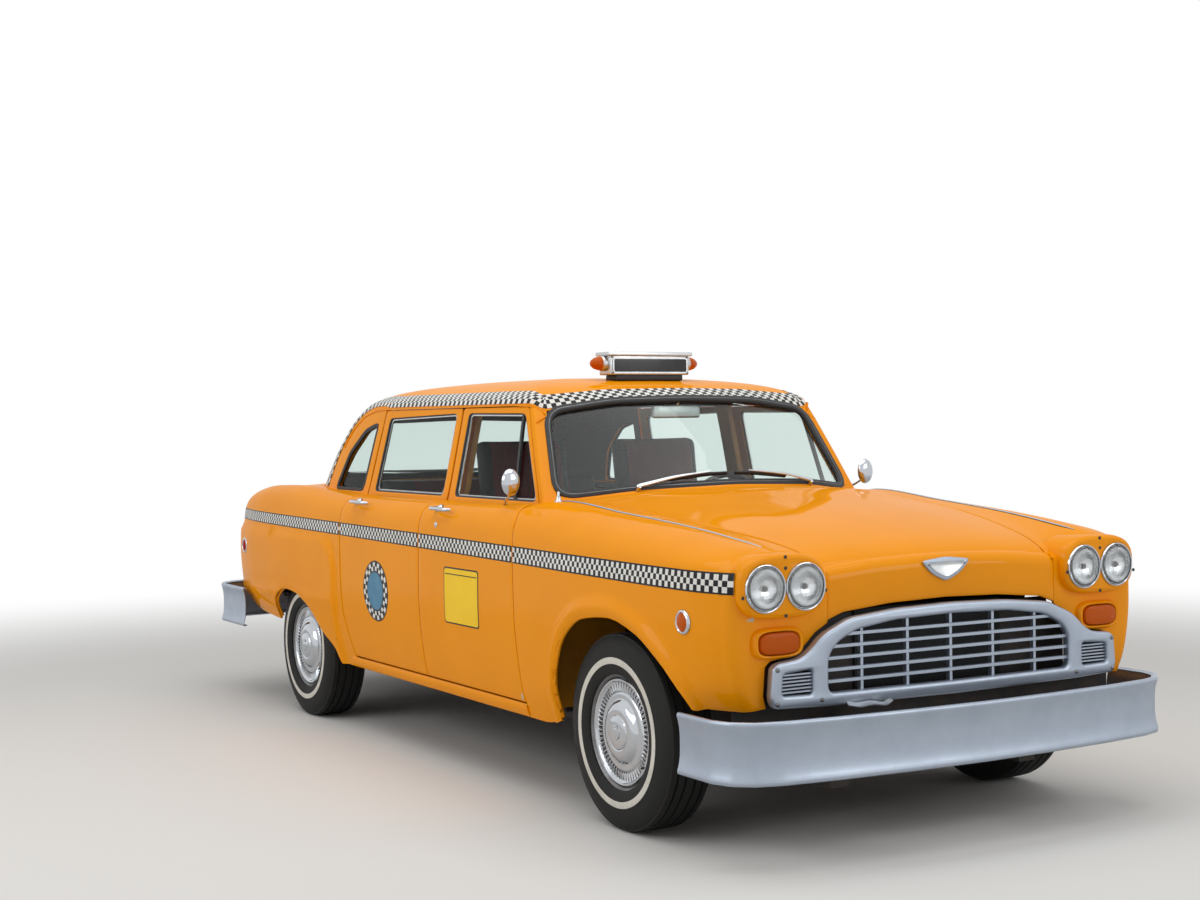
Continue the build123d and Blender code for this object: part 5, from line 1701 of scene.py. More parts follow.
    def chequered_band(self) -> None:
        """Rows of black and white squares round the roof, as thin film."""
        v = np.linspace(0, float(UPPER_V_AT_X(UPPER_W_AT_Z(3.2, self.side_top), -700.0)), 500)
        down = curve(self.band_down, 90)
        path = np.concatenate([UPPER.at(v, UPPER_W_AT_Z(v, self.roof_low(v))), upper_side_point(*down.T)])
        row = resampled(path, self.chequer)
        along_path = np.gradient(row, axis=0)
        skin = UPPER.at(*np.meshgrid(np.linspace(0, 9, 300), np.linspace(0, 9, 160), indexing="ij"))
        tree = BVHTree.FromPolygons(skin.reshape(-1, 3).tolist(), grid_faces(300, 160, 0))
        lines = []
        for step in [self.band_lift] + [self.chequer] * self.chequer_rows + [0]:
            near = [tree.find_nearest(Vector(p)) for p in row]
            on, out = (np.array([tuple(n[k]) for n in near]) for k in (0, 1))
            out *= np.sign(out[:, 2:] * (on[:, 2:] - 900) + out[:, 1:2] * on[:, 1:2])
            across = np.cross(out, along_path)
            row = on + across / np.linalg.norm(across, axis=1, keepdims=True) * step
            lines.append(on + out * 2.0)
        grid = np.array(lines[1:]).transpose(1, 0, 2)
        points, faces, slots = [], [], []
        for sign in (1, -1):
            start = sum(len(p) for p in points)
            shape = grid.shape
            points.append((grid * np.array([1, sign, 1])).reshape(-1, 3))
            quads = grid_faces(shape[0], shape[1], start, flip=sign > 0)
            faces += quads
            slots += [(n // (shape[1] - 1) + n % (shape[1] - 1) + (sign < 0)) % 2 for n in range(len(quads))]
        band = make_mesh("roof_chequered_band", np.concatenate(points) * MM, faces, slots)
        fit(dress(band, BLACK_FILM, WHITE_FILM), "body", "body_paint")


def whole_panel_round(name: str, half: Grid, depth: float, finishes: Sequence[Finish]) -> Object:
    """Domed panel that closes round the car: rows from its edge to its middle, left half first."""
    ring = np.concatenate([half, half[::-1][1:-1] * np.array([1, -1, 1])], axis=0)
    n = np.cross(np.roll(ring, -1, 0) - np.roll(ring, 1, 0), np.gradient(ring, axis=1))
    n /= np.maximum(np.linalg.norm(n, axis=-1, keepdims=True), 1e-9)
    n = np.where(n[..., 2:] < 0, -n, n)
    n[:, -1] = (0, 0, 1)
    return loop_shell(name, ring, ring - n * depth, (0,), finishes, weld=2e-4)


@dataclass
class Stripe:
    """Chequered stripe along the flank, with black borders, in lengths that ride with each panel."""

    side: int
    name: str
    rows: int = 3
    border: float = 5.0
    front: tuple[float, float, float] = (2412, 880, 950)
    rise: float = 1.0
    nose_rise: float = 3.0
    rear: tuple[float, float, float] = (-2366, 944, 998)

    def lengths(self) -> list[tuple[str, str, Bound, Bound]]:
        """Pieces of the stripe: name, body and the x of its ends at a height."""
        return [
            ("fender", "body", lambda z: along(FRONT_EDGE, z, True) + GAP + 2,
             lambda z: np.full_like(z, self.front[0])),
            ("front_door", f"front_door_{self.name}", lambda z: np.full_like(z, MEETING_X + GAP),
             lambda z: along(FRONT_EDGE, z, True) - 2),
            ("rear_door", f"rear_door_{self.name}", lambda z: along(REAR_EDGE, z, True) + 2,
             lambda z: np.full_like(z, MEETING_X - GAP)),
            ("quarter", "body", lambda z: np.full_like(z, self.rear[0]), lambda z: along(REAR_EDGE, z, True) - GAP - 2),
        ]

    def edge(self, x: Grid, share: float) -> Grid:
        """Height of a line of the stripe, 0 at its lower edge and 1 at its upper."""
        ends = [self.rear[0], self.front[0]]
        low = np.interp(x, ends, [self.rear[1], self.front[1]])
        high = np.interp(x, ends, [self.rear[2], self.front[2]])
        return low + (high - low) * share

    def round_nose(self, points: Grid) -> Grid:
        """Points bent round the fender's nose and on along the lamp pod."""
        radius = FrontFender(1, "left").nose_radius
        start = NOSE_X - radius
        x, z = points[..., 0], points[..., 2]
        past = np.clip(x - start, 0, radius)
        nose = side_point(np.minimum(x, start), z)[..., 1] - radius + np.sqrt(radius ** 2 - past ** 2)
        pod = LampGroup(1, "left")
        outer = np.array(sorted((z, y) for y, z in pod.slot_outline(3) if y > pod.pod[0]))
        bent = points.copy()
        bent[..., 1] = np.where(x > start, np.maximum(nose, np.interp(z, *outer.T)) + self.nose_rise,
                                points[..., 1])
        return bent

    def build(self) -> None:
        """Make the stripe's lengths."""
        quarter = Quarter(1, "left")
        for name, body, rear, front in self.lengths():
            height = float(self.edge(np.array(0.0), 1) - self.edge(np.array(0.0), 0))
            border = self.border / height
            shares = [0, border] + [border + (1 - 2 * border) * k / self.rows for k in range(1, self.rows + 1)] + [1]
            mid = np.array(925.0)
            x0, x1 = float(rear(mid)), float(front(mid))
            size = (height - 2 * self.border) / self.rows
            cells = max(1, int(round((x1 - x0) / size)))
            points = np.zeros((cells + 1, len(shares), 3))
            for j, share in enumerate(shares):
                z = self.edge(np.linspace(x0, x1, cells + 1), share)
                lo, hi = rear(z), front(z)
                x = lo + np.linspace(0, 1, cells + 1) * (hi - lo)
                points[:, j] = side_point(x, z)
            n = normals(points, (0, 1, 0))
            rise = self.rise + (quarter.crease(points)[..., None] if name == "quarter" else 0.0)
            points = points + n * rise
            if name == "fender":
                points = self.round_nose(points)
            faces = grid_faces(cells + 1, len(shares), 0, flip=self.side > 0)
            per = len(shares) - 1
            offset = int(round(x0 / size))
            slots = [0 if k % per in (0, per - 1) else (k // per + k % per + offset) % 2
                     for k in range(len(faces))]
            scaled = points * np.array([1, self.side, 1]) * MM
            piece = make_mesh(f"stripe_{name}_{self.name}", scaled, faces, slots)
            fit(dress(piece, BLACK_FILM, WHITE_FILM), body, "body_paint")


@dataclass
class EndGlass:
    """Windscreen and back window with their rubber gaskets, and the fixed quarter windows."""

    quarter_heights: Point2 = (1122.0, 1444.0)

    def pane(self, name: str, outline: Outline, rear: bool, node: str) -> None:
        """Curved pane with its gasket.

        Args:
            name: Piece name.
            outline: Half outline seen from the front.
            rear: The back window.
            node: Plain piece that it stands for.
        """
        whole = mirrored(outline)
        heights = np.linspace(min(v for _, v in outline) + 1, max(v for _, v in outline) - 1, 26)
        flat = []
        for z in heights:
            half_width = span(whole, z)[1]
            flat.append(np.stack([np.linspace(-half_width, half_width, 40), np.full(40, z)], 1))
        flat = np.array(flat)
        inset = np.array([14.0 if rear else -14.0, 0, -4])
        points = upper_end_point(flat[..., 0], flat[..., 1], rear) + inset
        outer, faces, _ = slab(points, 5, (-1 if rear else 1, 0, 0.7), 0.2)
        fit(dress(make_mesh(f"{name}_pane", outer, faces), WINDOW_GLASS), "body", "clear_glass", node)
        line = resampled(np.array(rounded(whole, 60 if rear else 72, 8)), 16, True)
        at = upper_end_point(line[:, 0], line[:, 1], rear)
        out = np.broadcast_to(np.array([-0.8 if rear else 0.8, 0, 0.55]), at.shape)
        profile = [(-16, -14), (15, -14), (16, 1), (10, 5), (3, 6), (1, 4.2), (-1, 6), (-9, 5), (-15, 0)]
        rubber = sweep(f"{name}_gasket", at, profile, out, closed_path=True)
        fit(dress(rubber, RUBBER_AND_SHADE_BLACK), "body", "body_paint")
        inner = sweep(f"{name}_gasket_line", at + out * 4.6, oblong((-2, -1), (2, 1.2)), out,
                      closed_path=True)
        fit(dress(inner, BARE_STEEL), "body", "silver_metal")

    def quarter(self, name: str, side: int) -> None:
        """Fixed quarter window with its seal."""
        line = resampled(np.array(rounded(QUARTER_WINDOW, 30, 5)), 14, True)
        at = upper_side_point(line[:, 0], line[:, 1]) - (0, 3, 0)
        seal = sweep(f"quarter_seal_{name}", at * np.array([1, side, 1]),
                     [(-10, -5), (10, -5), (10, 3), (0, 6), (-10, 3)], (0, side, 0), closed_path=True)
        fit(dress(seal, RUBBER_AND_SHADE_BLACK), "body", "body_paint")
        heights = np.linspace(*self.quarter_heights, 12)
        pane = side_pane(f"quarter_pane_{name}", QUARTER_WINDOW, heights, 12, 12, 0.2, side)
        fit(pane, "body", "clear_glass", *(("quarter_glass",) if side > 0 else ()))

    def build(self) -> None:
        """Make the fixed glass."""
        self.pane("windscreen", WINDSCREEN, False, "windscreen")
        self.pane("back_window", BACK_WINDOW, True, "back_window")
        for name, side in SIDES:
            self.quarter(name, side)


@dataclass
class Grille:
    """Painted metal grille: arched frame, bars, side grilles, screws and a bent bracket below."""

    opening: tuple[Point2, ...] = ((0, 540), (535, 543), (534, 660), (500, 704), (420, 742), (250, 764), (0, 770))
    side_opening: tuple[Point2, ...] = ((598, 545), (722, 548), (716, 618), (598, 626))
    bars: tuple[float, ...] = (578.0, 616.0, 654.0, 692.0, 730.0)
    posts: tuple[float, ...] = (-385.0, -190.0, 0.0, 190.0, 385.0)
    front: float = 2441.0

    def half_width(self, z: float) -> float:
        """Half width of the main opening at a height."""
        return float(np.interp(z, [540, 660, 704, 742, 764, 770], [535, 534, 500, 420, 250, 40]))

    def frame(self) -> Object:
        """Arched frame with the main opening and one on each side."""
        holes = [rounded(mirrored(self.opening), 26, 5)]
        for side in (1, -1):
            hole = [(side * y, z) for y, z in self.side_opening]
            holes.append(rounded(hole if side > 0 else hole[::-1], 14, 5))
        outer = rounded(mirrored(GRILLE_OUTLINE), 30, 6)
        return dress(plate("grille_frame", [outer] + holes, 40, 11, facing_x(self.front - 20)), SILVER_PAINT)

    def bars_and_screws(self) -> list[Object]:
        """Cross bars, upright posts, side slats and the frame's screws."""
        pieces = []
        for z in self.bars:
            wide = self.half_width(z) + 12
            path = np.array([(self.front - 26, y, z) for y in np.linspace(-wide, wide, 9)])
            pieces.append(dress(sweep("bar", path, [(-9, -5), (6, -6.5), (10, -5), (10, 5), (6, 6.5), (-9, 5)],
                                      (0, 0, 1)), SILVER_PAINT))
        for y in self.posts:
            top = float(along(self.opening[4:], abs(y))) + 8
            path = np.array([(self.front - 30, y, z) for z in np.linspace(532, top, 7)])
            pieces.append(dress(sweep("post", path, oblong((-5, -9), (6, 9)), (1, 0, 0)), SILVER_PAINT))
        for side in (1, -1):
            for z in (556, 567.5, 579, 590.5, 602, 613):
                path = np.array([(self.front - 22, side * y, z) for y in (590, 660, 730)])
                pieces.append(dress(sweep("slat", path, oblong((-8, -2.6), (8, 2.6)), (0, 0, 1)),
                                    SILVER_PAINT))
            for y, z in ((744, 524), (742, 634), (566, 524)):
                pieces.append(dress(turned("screw", [(-2, 8), (1, 8), (3.5, 5), (4, 0)], (self.front, side * y, z),
                                           (1, 0, 0), 20), BARE_STEEL))
        return pieces

    def build(self) -> None:
        """Make the grille and what stands behind and below it."""
        fit(join("grille_assembly", [self.frame()] + self.bars_and_screws()), "body", "silver_metal", "grille")
        core = block("radiator_core", (2252, -328, 432), (2308, 328, 798), 4)
        fit(dress(core, DARK_CORE), "body", "engine_iron", "radiator")
        baffles = [side_block("baffle", side, (2296, 326, low), (2300, far, high), 1.5)
                   for side in (1, -1) for far, low, high in ((640, 400, 742), (560, 740, 786))]
        # Black sheet between the grille and the bumper: painted shade of the space behind the bumper.
        baffles.append(block("apron", (2316, -838, 335), (2320, 838, 520), 1.5))
        fit(dress(join("grille_baffles_and_shade_sheet", baffles), CHASSIS_AND_SHADE_BLACK), "body", "chassis_black")
        # Black sheets behind the side grilles: painted shade behind their openings.
        shade_sheets = [dress(side_block("shade", side, (2388, 588, 538), (2394, 735, 632), 2), CHASSIS_AND_SHADE_BLACK)
                 for side in (1, -1)]
        fit(join("grille_painted_shade_sheets", shade_sheets), "body", "chassis_black")
        bent = np.array([(2448, -470, 505), (2458, -430, 497), (2462, -380, 500), (2466, -330, 494), (2468, -300, 506)])
        line = smooth_through(np.arange(5.0), bent, np.linspace(0, 4, 17))
        strap = sweep("bent_bracket", line, oblong((-13, -2), (13, 2)), (0.35, 0, 1), scale=np.linspace(1.3, 0.7, 17))
        fit(dress(strap, BARE_ALUMINIUM), "body", "silver_metal")


@dataclass
class LampGroup:
    """Headlamp pod, signal lamp and side markers of one side."""

    side: int
    name: str
    pod: tuple[float, float] = (701.0, 901.0)
    pod_size: tuple[float, float] = (344.0, 210.0)
    lamps: tuple[float, float] = (778.0, 619.0)
    lamp_z: float = 897.0
    face: float = 2429.0
    signal_at: Point2 = (712.0, 716.0)
    skirt: Outline = ((2300, 2), (2372, 2), (2404, 0), (2418, -3), (2425, -8), (2429, -15))

    def slot_outline(self, grow: float) -> list[Point2]:
        """Rounded outline of the pod, larger or smaller by some millimetres."""
        width, height = self.pod_size[0] / 2 + grow, self.pod_size[1] / 2 + grow
        made = []
        for a in np.linspace(0, 2 * math.pi, 72, endpoint=False):
            c, s = math.cos(a), math.sin(a)
            y = math.copysign(abs(c) ** 0.62, c) * width
            z = math.copysign(abs(s) ** 0.72, s) * height
            made.append((self.pod[0] + y, self.pod[1] + z))
        return made

    def at(self, points: Grid) -> Grid:
        """Points moved to this side."""
        return points * np.array([1, self.side, 1])

    def build_pod(self) -> None:
        """Painted pod with two lamp openings and its rim, and black discs at its screw holes as painted shade."""
        skirt = np.array([[(x, y, z) for y, z in self.slot_outline(grow)] for x, grow in self.skirt], float)
        faces = grid_faces(*skirt.shape[:2], 0, False, True, self.side < 0)
        shell = make_mesh("pod_skirt", self.at(skirt) * MM, faces)
        fix_normals(shell)
        outline = [(self.side * y, z) for y, z in self.slot_outline(-14)]
        holes = [circle(79, 48, (self.side * y, self.lamp_z)) for y in self.lamps]
        face = plate("pod_face", [outline] + holes, 6, 2, facing_x(self.face - 3))
        pieces = [dress(shell, BODY_ENAMEL), dress(face, BODY_ENAMEL)]
        # Black discs at the screw holes: painted shade of the holes.
        for y, z in ((698, 996), (698, 806), (866, 872), (538, 880), (698, 960)):
            hole = turned("hole", [(-1, 6), (0.6, 6), (0.8, 3), (-0.5, 0)], (self.face + 0.4, self.side * y, z),
                          (1, 0, 0), 16)
            pieces.append(dress(hole, RUBBER_AND_SHADE_BLACK))
        fit(join(f"headlamp_pod_{self.name}", pieces), "body", "body_paint")

    def build_lamps(self) -> None:
        """Sealed-beam headlamps: bowl, fluted lens, bright ring."""
        pieces = []
        rings = []
        for y in self.lamps:
            centre = (self.face, self.side * y, self.lamp_z)
            bowl = turned("bowl", [(-2, 76), (-7, 71), (-15, 60), (-22, 42), (-26, 22), (-27, 0)], centre,
                          (1, 0, 0), 48)
            bulb = turned("bulb", [(-26, 0), (-26, 9), (-14, 9), (-9, 5), (-8, 0)], centre, (1, 0, 0), 24)
            lens = turned("lens", [(-6, 75), (-1, 75), (4, 66), (9, 42), (11, 18), (11.5, 0), (9, 0), (8.5, 18),
                                   (6.5, 42), (1, 66), (-6, 72)], centre, (1, 0, 0), 64, angle=60)
            pieces += [dress(bowl, SILVERED), dress(bulb, WHITE_FILM), dress(lens, LAMP_GLASS)]
            rings.append(dress(turned("ring", [(-16, 79.5), (2, 79.5), (5, 78), (6, 75.5), (4, 73.5), (-4, 73.5)],
                                      centre, (1, 0, 0), 64), CHROME))
        fit(join(f"headlamp_units_{self.name}", pieces), "body", "lamp_glass",
            *(("headlamps",) if self.side > 0 else ()))
        fit(join(f"headlamp_rings_{self.name}", rings), "body", "silver_metal")

    def signal_part(self, name: str, sections: Sequence[Point3], finish: Finish, slot: str, *nodes: str) -> None:
        """Part of the signal lamp, built up of rounded boxes one before the other.

        Args:
            name: Piece name.
            sections: Place along the car, width and height of each box.
            finish: Its finish.
            slot: The record's slot.
            nodes: Plain pieces that it stands for.
        """
        a = np.linspace(0, 2 * math.pi, 40, endpoint=False)
        c, s = np.cos(a), np.sin(a)
        unit = np.stack([np.sign(c) * np.abs(c) ** 0.55 / 2, np.sign(s) * np.abs(s) ** 0.6 / 2], 1)
        rings = [np.column_stack([np.full(len(a), x), unit * (width, height) + self.signal_at])
                 for x, width, height in sections]
        made = make_mesh(f"{name}_{self.name}", self.at(np.array(rings)) * MM,
                         grid_faces(len(rings), len(a), 0, False, True))
        fix_normals(made)
        fit(dress(made, finish), "body", slot, *nodes)

    def build_signal(self) -> None:
        """Amber signal lamp in its painted rounded bezel."""
        self.signal_part("signal_bezel", ((2380, 204, 104), (2398, 202, 103), (2408, 196, 98), (2413, 184, 88),
                                          (2411, 168, 80), (2400, 162, 76), (2388, 160, 75)), BODY_ENAMEL, "body_paint")
        self.signal_part("signal_lens", ((2390, 156, 72), (2408, 156, 72), (2416, 148, 66), (2419, 118, 48),
                                         (2420, 60, 20), (2420, 1, 1)), AMBER_LENS, "amber_lens",
                         *(("amber_lamps",) if self.side > 0 else ()))

    def marker(self, name: str, x: float, z: float, radius: float, finish: Finish, slot: str, lift: float) -> None:
        """Round side marker with its bright ring.

        Args:
            name: Piece name.
            x: Place along the car.
            z: Height.
            radius: Outer radius.
            finish: Lens finish.
            slot: The record's slot.
            lift: How far the panel stands out there.
        """
        at = side_point(x, z) + np.array([0, lift, 0])
        centre = tuple(self.at(at))
        ring = turned(f"{name}_ring_{self.name}", [(-4, radius), (2, radius), (6, radius - 3), (8, radius - 8),
                                                  (5, radius - 11), (-4, radius - 11)], centre, (0, self.side, 0), 40)
        fit(dress(ring, CHROME), "body", "silver_metal")
        inner = radius - 11
        lens = turned(f"{name}_lens_{self.name}", [(-4, inner), (5, inner), (9, inner * 0.8), (12, inner * 0.4),
                                                  (13, 0)], centre, (0, self.side, 0), 40)
        fit(dress(lens, finish), "body", slot)

    def build(self) -> None:
        """Make the lamps."""
        self.build_pod()
        self.build_lamps()
        self.build_signal()
        self.marker("front_marker", 2188, 780, 42, AMBER_LENS, "amber_lens", 0)
        self.marker("rear_marker", -2085, 806, 40, RED_LENS, "red_lens", 17)


@dataclass
class Bumper:
    """Pressed bumper with rolled lips and a hollowed face."""

    name: str
    end: float
    direction: int
    wrap: float
    base: float
    face: tuple[Point2, ...] = ((0, 0), (8, 300), (28, 600), (52, 800), (82, 890), (135, 950), (205, 975))
    profile: tuple[Point2, ...] = (
        (24, 6), (10, 0), (3, 2), (0, 8), (0.5, 16), (4, 26), (8, 42), (10.5, 62), (11.5, 84), (11.5, 120),
        (10.5, 142), (8, 162), (4, 180), (0.5, 190), (0, 197), (3, 203), (10, 205), (24, 199))

    def build(self) -> None:
        """Make the bumper."""
        half = [(self.end - self.direction * back, y) for back, y in self.face]
        half.append((self.end - self.direction * self.wrap, self.face[-1][1]))
        knots = run_of(np.array(half))
        line = smooth_through(knots, np.array(half), np.linspace(0, knots[-1], 90))
        line = resampled(line, 22)
        whole = np.concatenate([line[::-1] * np.array([1, -1]), line[1:]])
        tangent = np.gradient(whole, axis=0)
        tangent /= np.linalg.norm(tangent, axis=1, keepdims=True)
        inward = np.stack([-tangent[:, 1], tangent[:, 0]], 1) * self.direction
        outer = [(recess, z) for recess, z in self.profile]
        back = [(recess + 3.2, min(max(z, 9), 196)) for recess, z in self.profile[1:-1]]
        loop = outer + back[::-1]
        points = np.zeros((len(whole), len(loop), 3))
        for k, (recess, z) in enumerate(loop):
            points[:, k, :2] = whole + inward * recess
            points[:, k, 2] = self.base + z
        made = make_mesh(f"{self.name}_bar", points * MM, tube_faces(len(whole), len(loop)), angle=60)
        fix_normals(made)
        fit(dress(made, SILVER_PAINT), "body", "silver_metal", self.name)


@dataclass
class RoadWheel:
    """Tyre with a white band, steel wheel and bright full cover."""

    where: str
    x: float
    y: float
    side: int
    radius: float = 348.0
    white_band: Point2 = (240.5, 263.0)
    rib_count: int = 60
    rib_ring: Point2 = (145.0, 170.0)

    @property
    def centre(self) -> Point3:
        """Middle of the wheel."""
        return (self.x, self.y, self.radius)

    def lathe(self, name: str, profile: Outline, segments: int, **more: object) -> Object:
        """Profile turned about the wheel's axle, outside of the car at positive widths.

        Args:
            name: Object name.
            profile: Points (across the wheel, radius) in millimetres.
            segments: Points round the wheel.
            more: Other arguments of turned.

        Returns:
            The object.
        """
        return turned(name, [(self.side * a, r) for a, r in profile], self.centre, (0, 1, 0), segments, **more)

    def tyre(self) -> None:
        """Make the tyre."""
        wall = [(90, 203), (95, 210), (99, 222), (101.5, 236), (102.6, 241), (102.6, 264), (101.6, 267), (101, 285),
                (97, 304), (91, 320), (84, 333), (80, 338), (80, 344)]
        tread = [(74, 346.5), (58, 347.6), (57, 340), (51, 340), (50, 347.9), (24, 348), (23, 340), (17, 340),
                 (16, 348)]
        outside = wall + tread
        profile = outside + [(-a, r) for a, r in reversed(outside)] + [(-78, 204), (-60, 198), (60, 198), (78, 204)]
        low, high = self.white_band
        white = {k for k, (_, r) in enumerate(wall) if low <= r <= high}
        made = self.lathe(f"tyre_{self.where}_tread", profile, 144, closed=True,
                          slots=lambda i, k: 1 if k in white else 0, angle=32)
        fit(dress(made, TYRE_RUBBER, WHITE_RUBBER), f"wheel_{self.where}", "tyre_rubber", f"tyre_{self.where}")

    def ribs(self) -> Object:
        """Fine radial ribs round the cover."""
        inner, outer = self.rib_ring
        ribs = []
        for k in range(self.rib_count):
            a = 2 * math.pi * (k + 0.75) / self.rib_count
            ends = np.array([(self.x + r * math.cos(a), self.y + self.side * 73.5, self.radius + r * math.sin(a))
                             for r in (inner, outer)])
            ribs.append(sweep("rib", ends, [(-2.4, 0), (-1.2, 3), (1.2, 3), (2.4, 0)], (0, self.side, 0)))
        return dress(join("ribs", ribs), CHROME)

    def cover(self) -> None:
        """Make the wheel and its cover, with slots pressed in between the ribs' foot and the dish, their faces black as
        painted shade.
        """
        s = self.side
        rim = [(78, 203), (82.5, 206), (84, 203), (81, 197), (74, 193), (66, 190), (-66, 190), (-74, 193), (-82, 206),
               (-78, 203), (-60, 186), (60, 186), (68, 188)]
        face = [(66, 191), (76, 190), (80, 186), (79, 180), (74, 176), (72, 172), (71, 168), (70, 146), (70, 142),
                (74, 138), (76, 132), (74, 122), (76, 112), (84, 104), (90, 96), (93, 84), (95, 68), (93, 62),
                (97, 58), (100, 46), (101.5, 30), (102, 0)]
        medallion = [(101, 27), (104, 26), (105, 22), (104.5, 20), (105.5, 16), (106.5, 0)]
        # The slots' faces take the black rubber finish: painted shade inside the slots.
        slot = face.index((70, 146))
        bright = self.lathe("cover", face, 4 * self.rib_count, angle=30,
                            slots=lambda i, k: 1 if slot - 1 <= k <= slot and i % 4 < 2 else 0,
                            push=lambda i, k: -5.0 * s if k == slot and i % 4 == 1 else 0.0)
        valve = sweep("valve", np.array([(self.x + 150, self.y + s * 70, self.radius - 100),
                                         (self.x + 154, self.y + s * 92, self.radius - 103)]), circle(4, 10),
                      (0, 0, 1))
        made = join(f"wheel_{self.where}_cover", [
            dress(self.lathe("rim", rim, 96, closed=True), BARE_STEEL),
            dress(self.lathe("backing", [(20, 186), (18, 120), (-30, 84), (-30, 32)], 64), CHASSIS_AND_SHADE_BLACK),
            dress(bright, CHROME, RUBBER_AND_SHADE_BLACK), self.ribs(), dress(self.lathe("medallion", medallion, 48), CHROME),
            dress(valve, RUBBER_AND_SHADE_BLACK)])
        fit(made, f"wheel_{self.where}", "wheel_cover", f"wheel_{self.where}")

    def build(self) -> None:
        """Make the wheel."""
        self.tyre()
        self.cover()


@dataclass
class RoofSign:
    """Aluminium box with blank black panels and domed amber ends."""

    x: float = 445.0
    half: float = 200.0
    base: float = 1632.0
    top: float = 1722.0

    def box(self) -> list[Object]:
        """Box with its lid and foot, and a framed blank panel on each face."""
        box = block("box", (397, -self.half, self.base + 6), (493, self.half, self.top), 5)
        lid = block("lid", (386, -213, self.top - 2), (504, 213, 1737), 4)
        foot = block("foot", (398, -170, 1612), (492, 170, self.base + 8), 8)
        pieces = [dress(box, BARE_ALUMINIUM), dress(lid, BARE_ALUMINIUM), dress(foot, RUBBER_AND_SHADE_BLACK)]
        for x, sign in ((495, 1), (395, -1)):
            lower = [(-186, self.base + 18), (186, self.base + 18), (186, self.top - 14), (-186, self.top - 14)]
            panel_piece = plate("panel", [rounded(lower, 6, 4)], 3, 1, facing_x(x, sign < 0))
            pieces.append(dress(panel_piece, SIGN_BLACK))
            edge = resampled(np.array(rounded(grown(lower, 2), 8, 4)), 12, True)
            path = np.column_stack([np.full(len(edge), x + sign * 1.0), edge])
            pieces.append(dress(sweep("edge", path, oblong((-3, -2), (3, 2)), (1, 0, 0),
                                      closed_path=True), BARE_ALUMINIUM))
            for y in (-190, 190):
                for z in (self.base + 14, self.top - 8):
                    pieces.append(dress(turned("screw", [(-1, 4), (1, 4), (2.4, 2), (2.6, 0)], (x + sign * 1.5, y, z),
                                               (sign, 0, 0), 12), BARE_STEEL))
        return pieces

    def build(self) -> None:
        """Make the sign with a domed lamp at each end."""
        fit(join("roof_sign_box", self.box()), "body", "sign_aluminium", "roof_sign")
        for name, side in SIDES:
            centre = (self.x, side * (self.half + 4), 1688)
            base = turned(f"sign_lamp_base_{name}", [(-4, 0), (-4, 33), (14, 33), (18, 30), (18, 0)], centre,
                          (0, side, 0), 40)
            dome = turned(f"sign_lamp_dome_{name}", [(18, 0), (18, 30), (30, 29), (48, 24), (62, 14), (67, 6),
                                                     (68, 0)], centre, (0, side, 0), 40)
            fit(dress(base, BARE_ALUMINIUM), "body", "sign_aluminium")
            fit(dress(dome, AMBER_LENS), "body", "amber_lens")


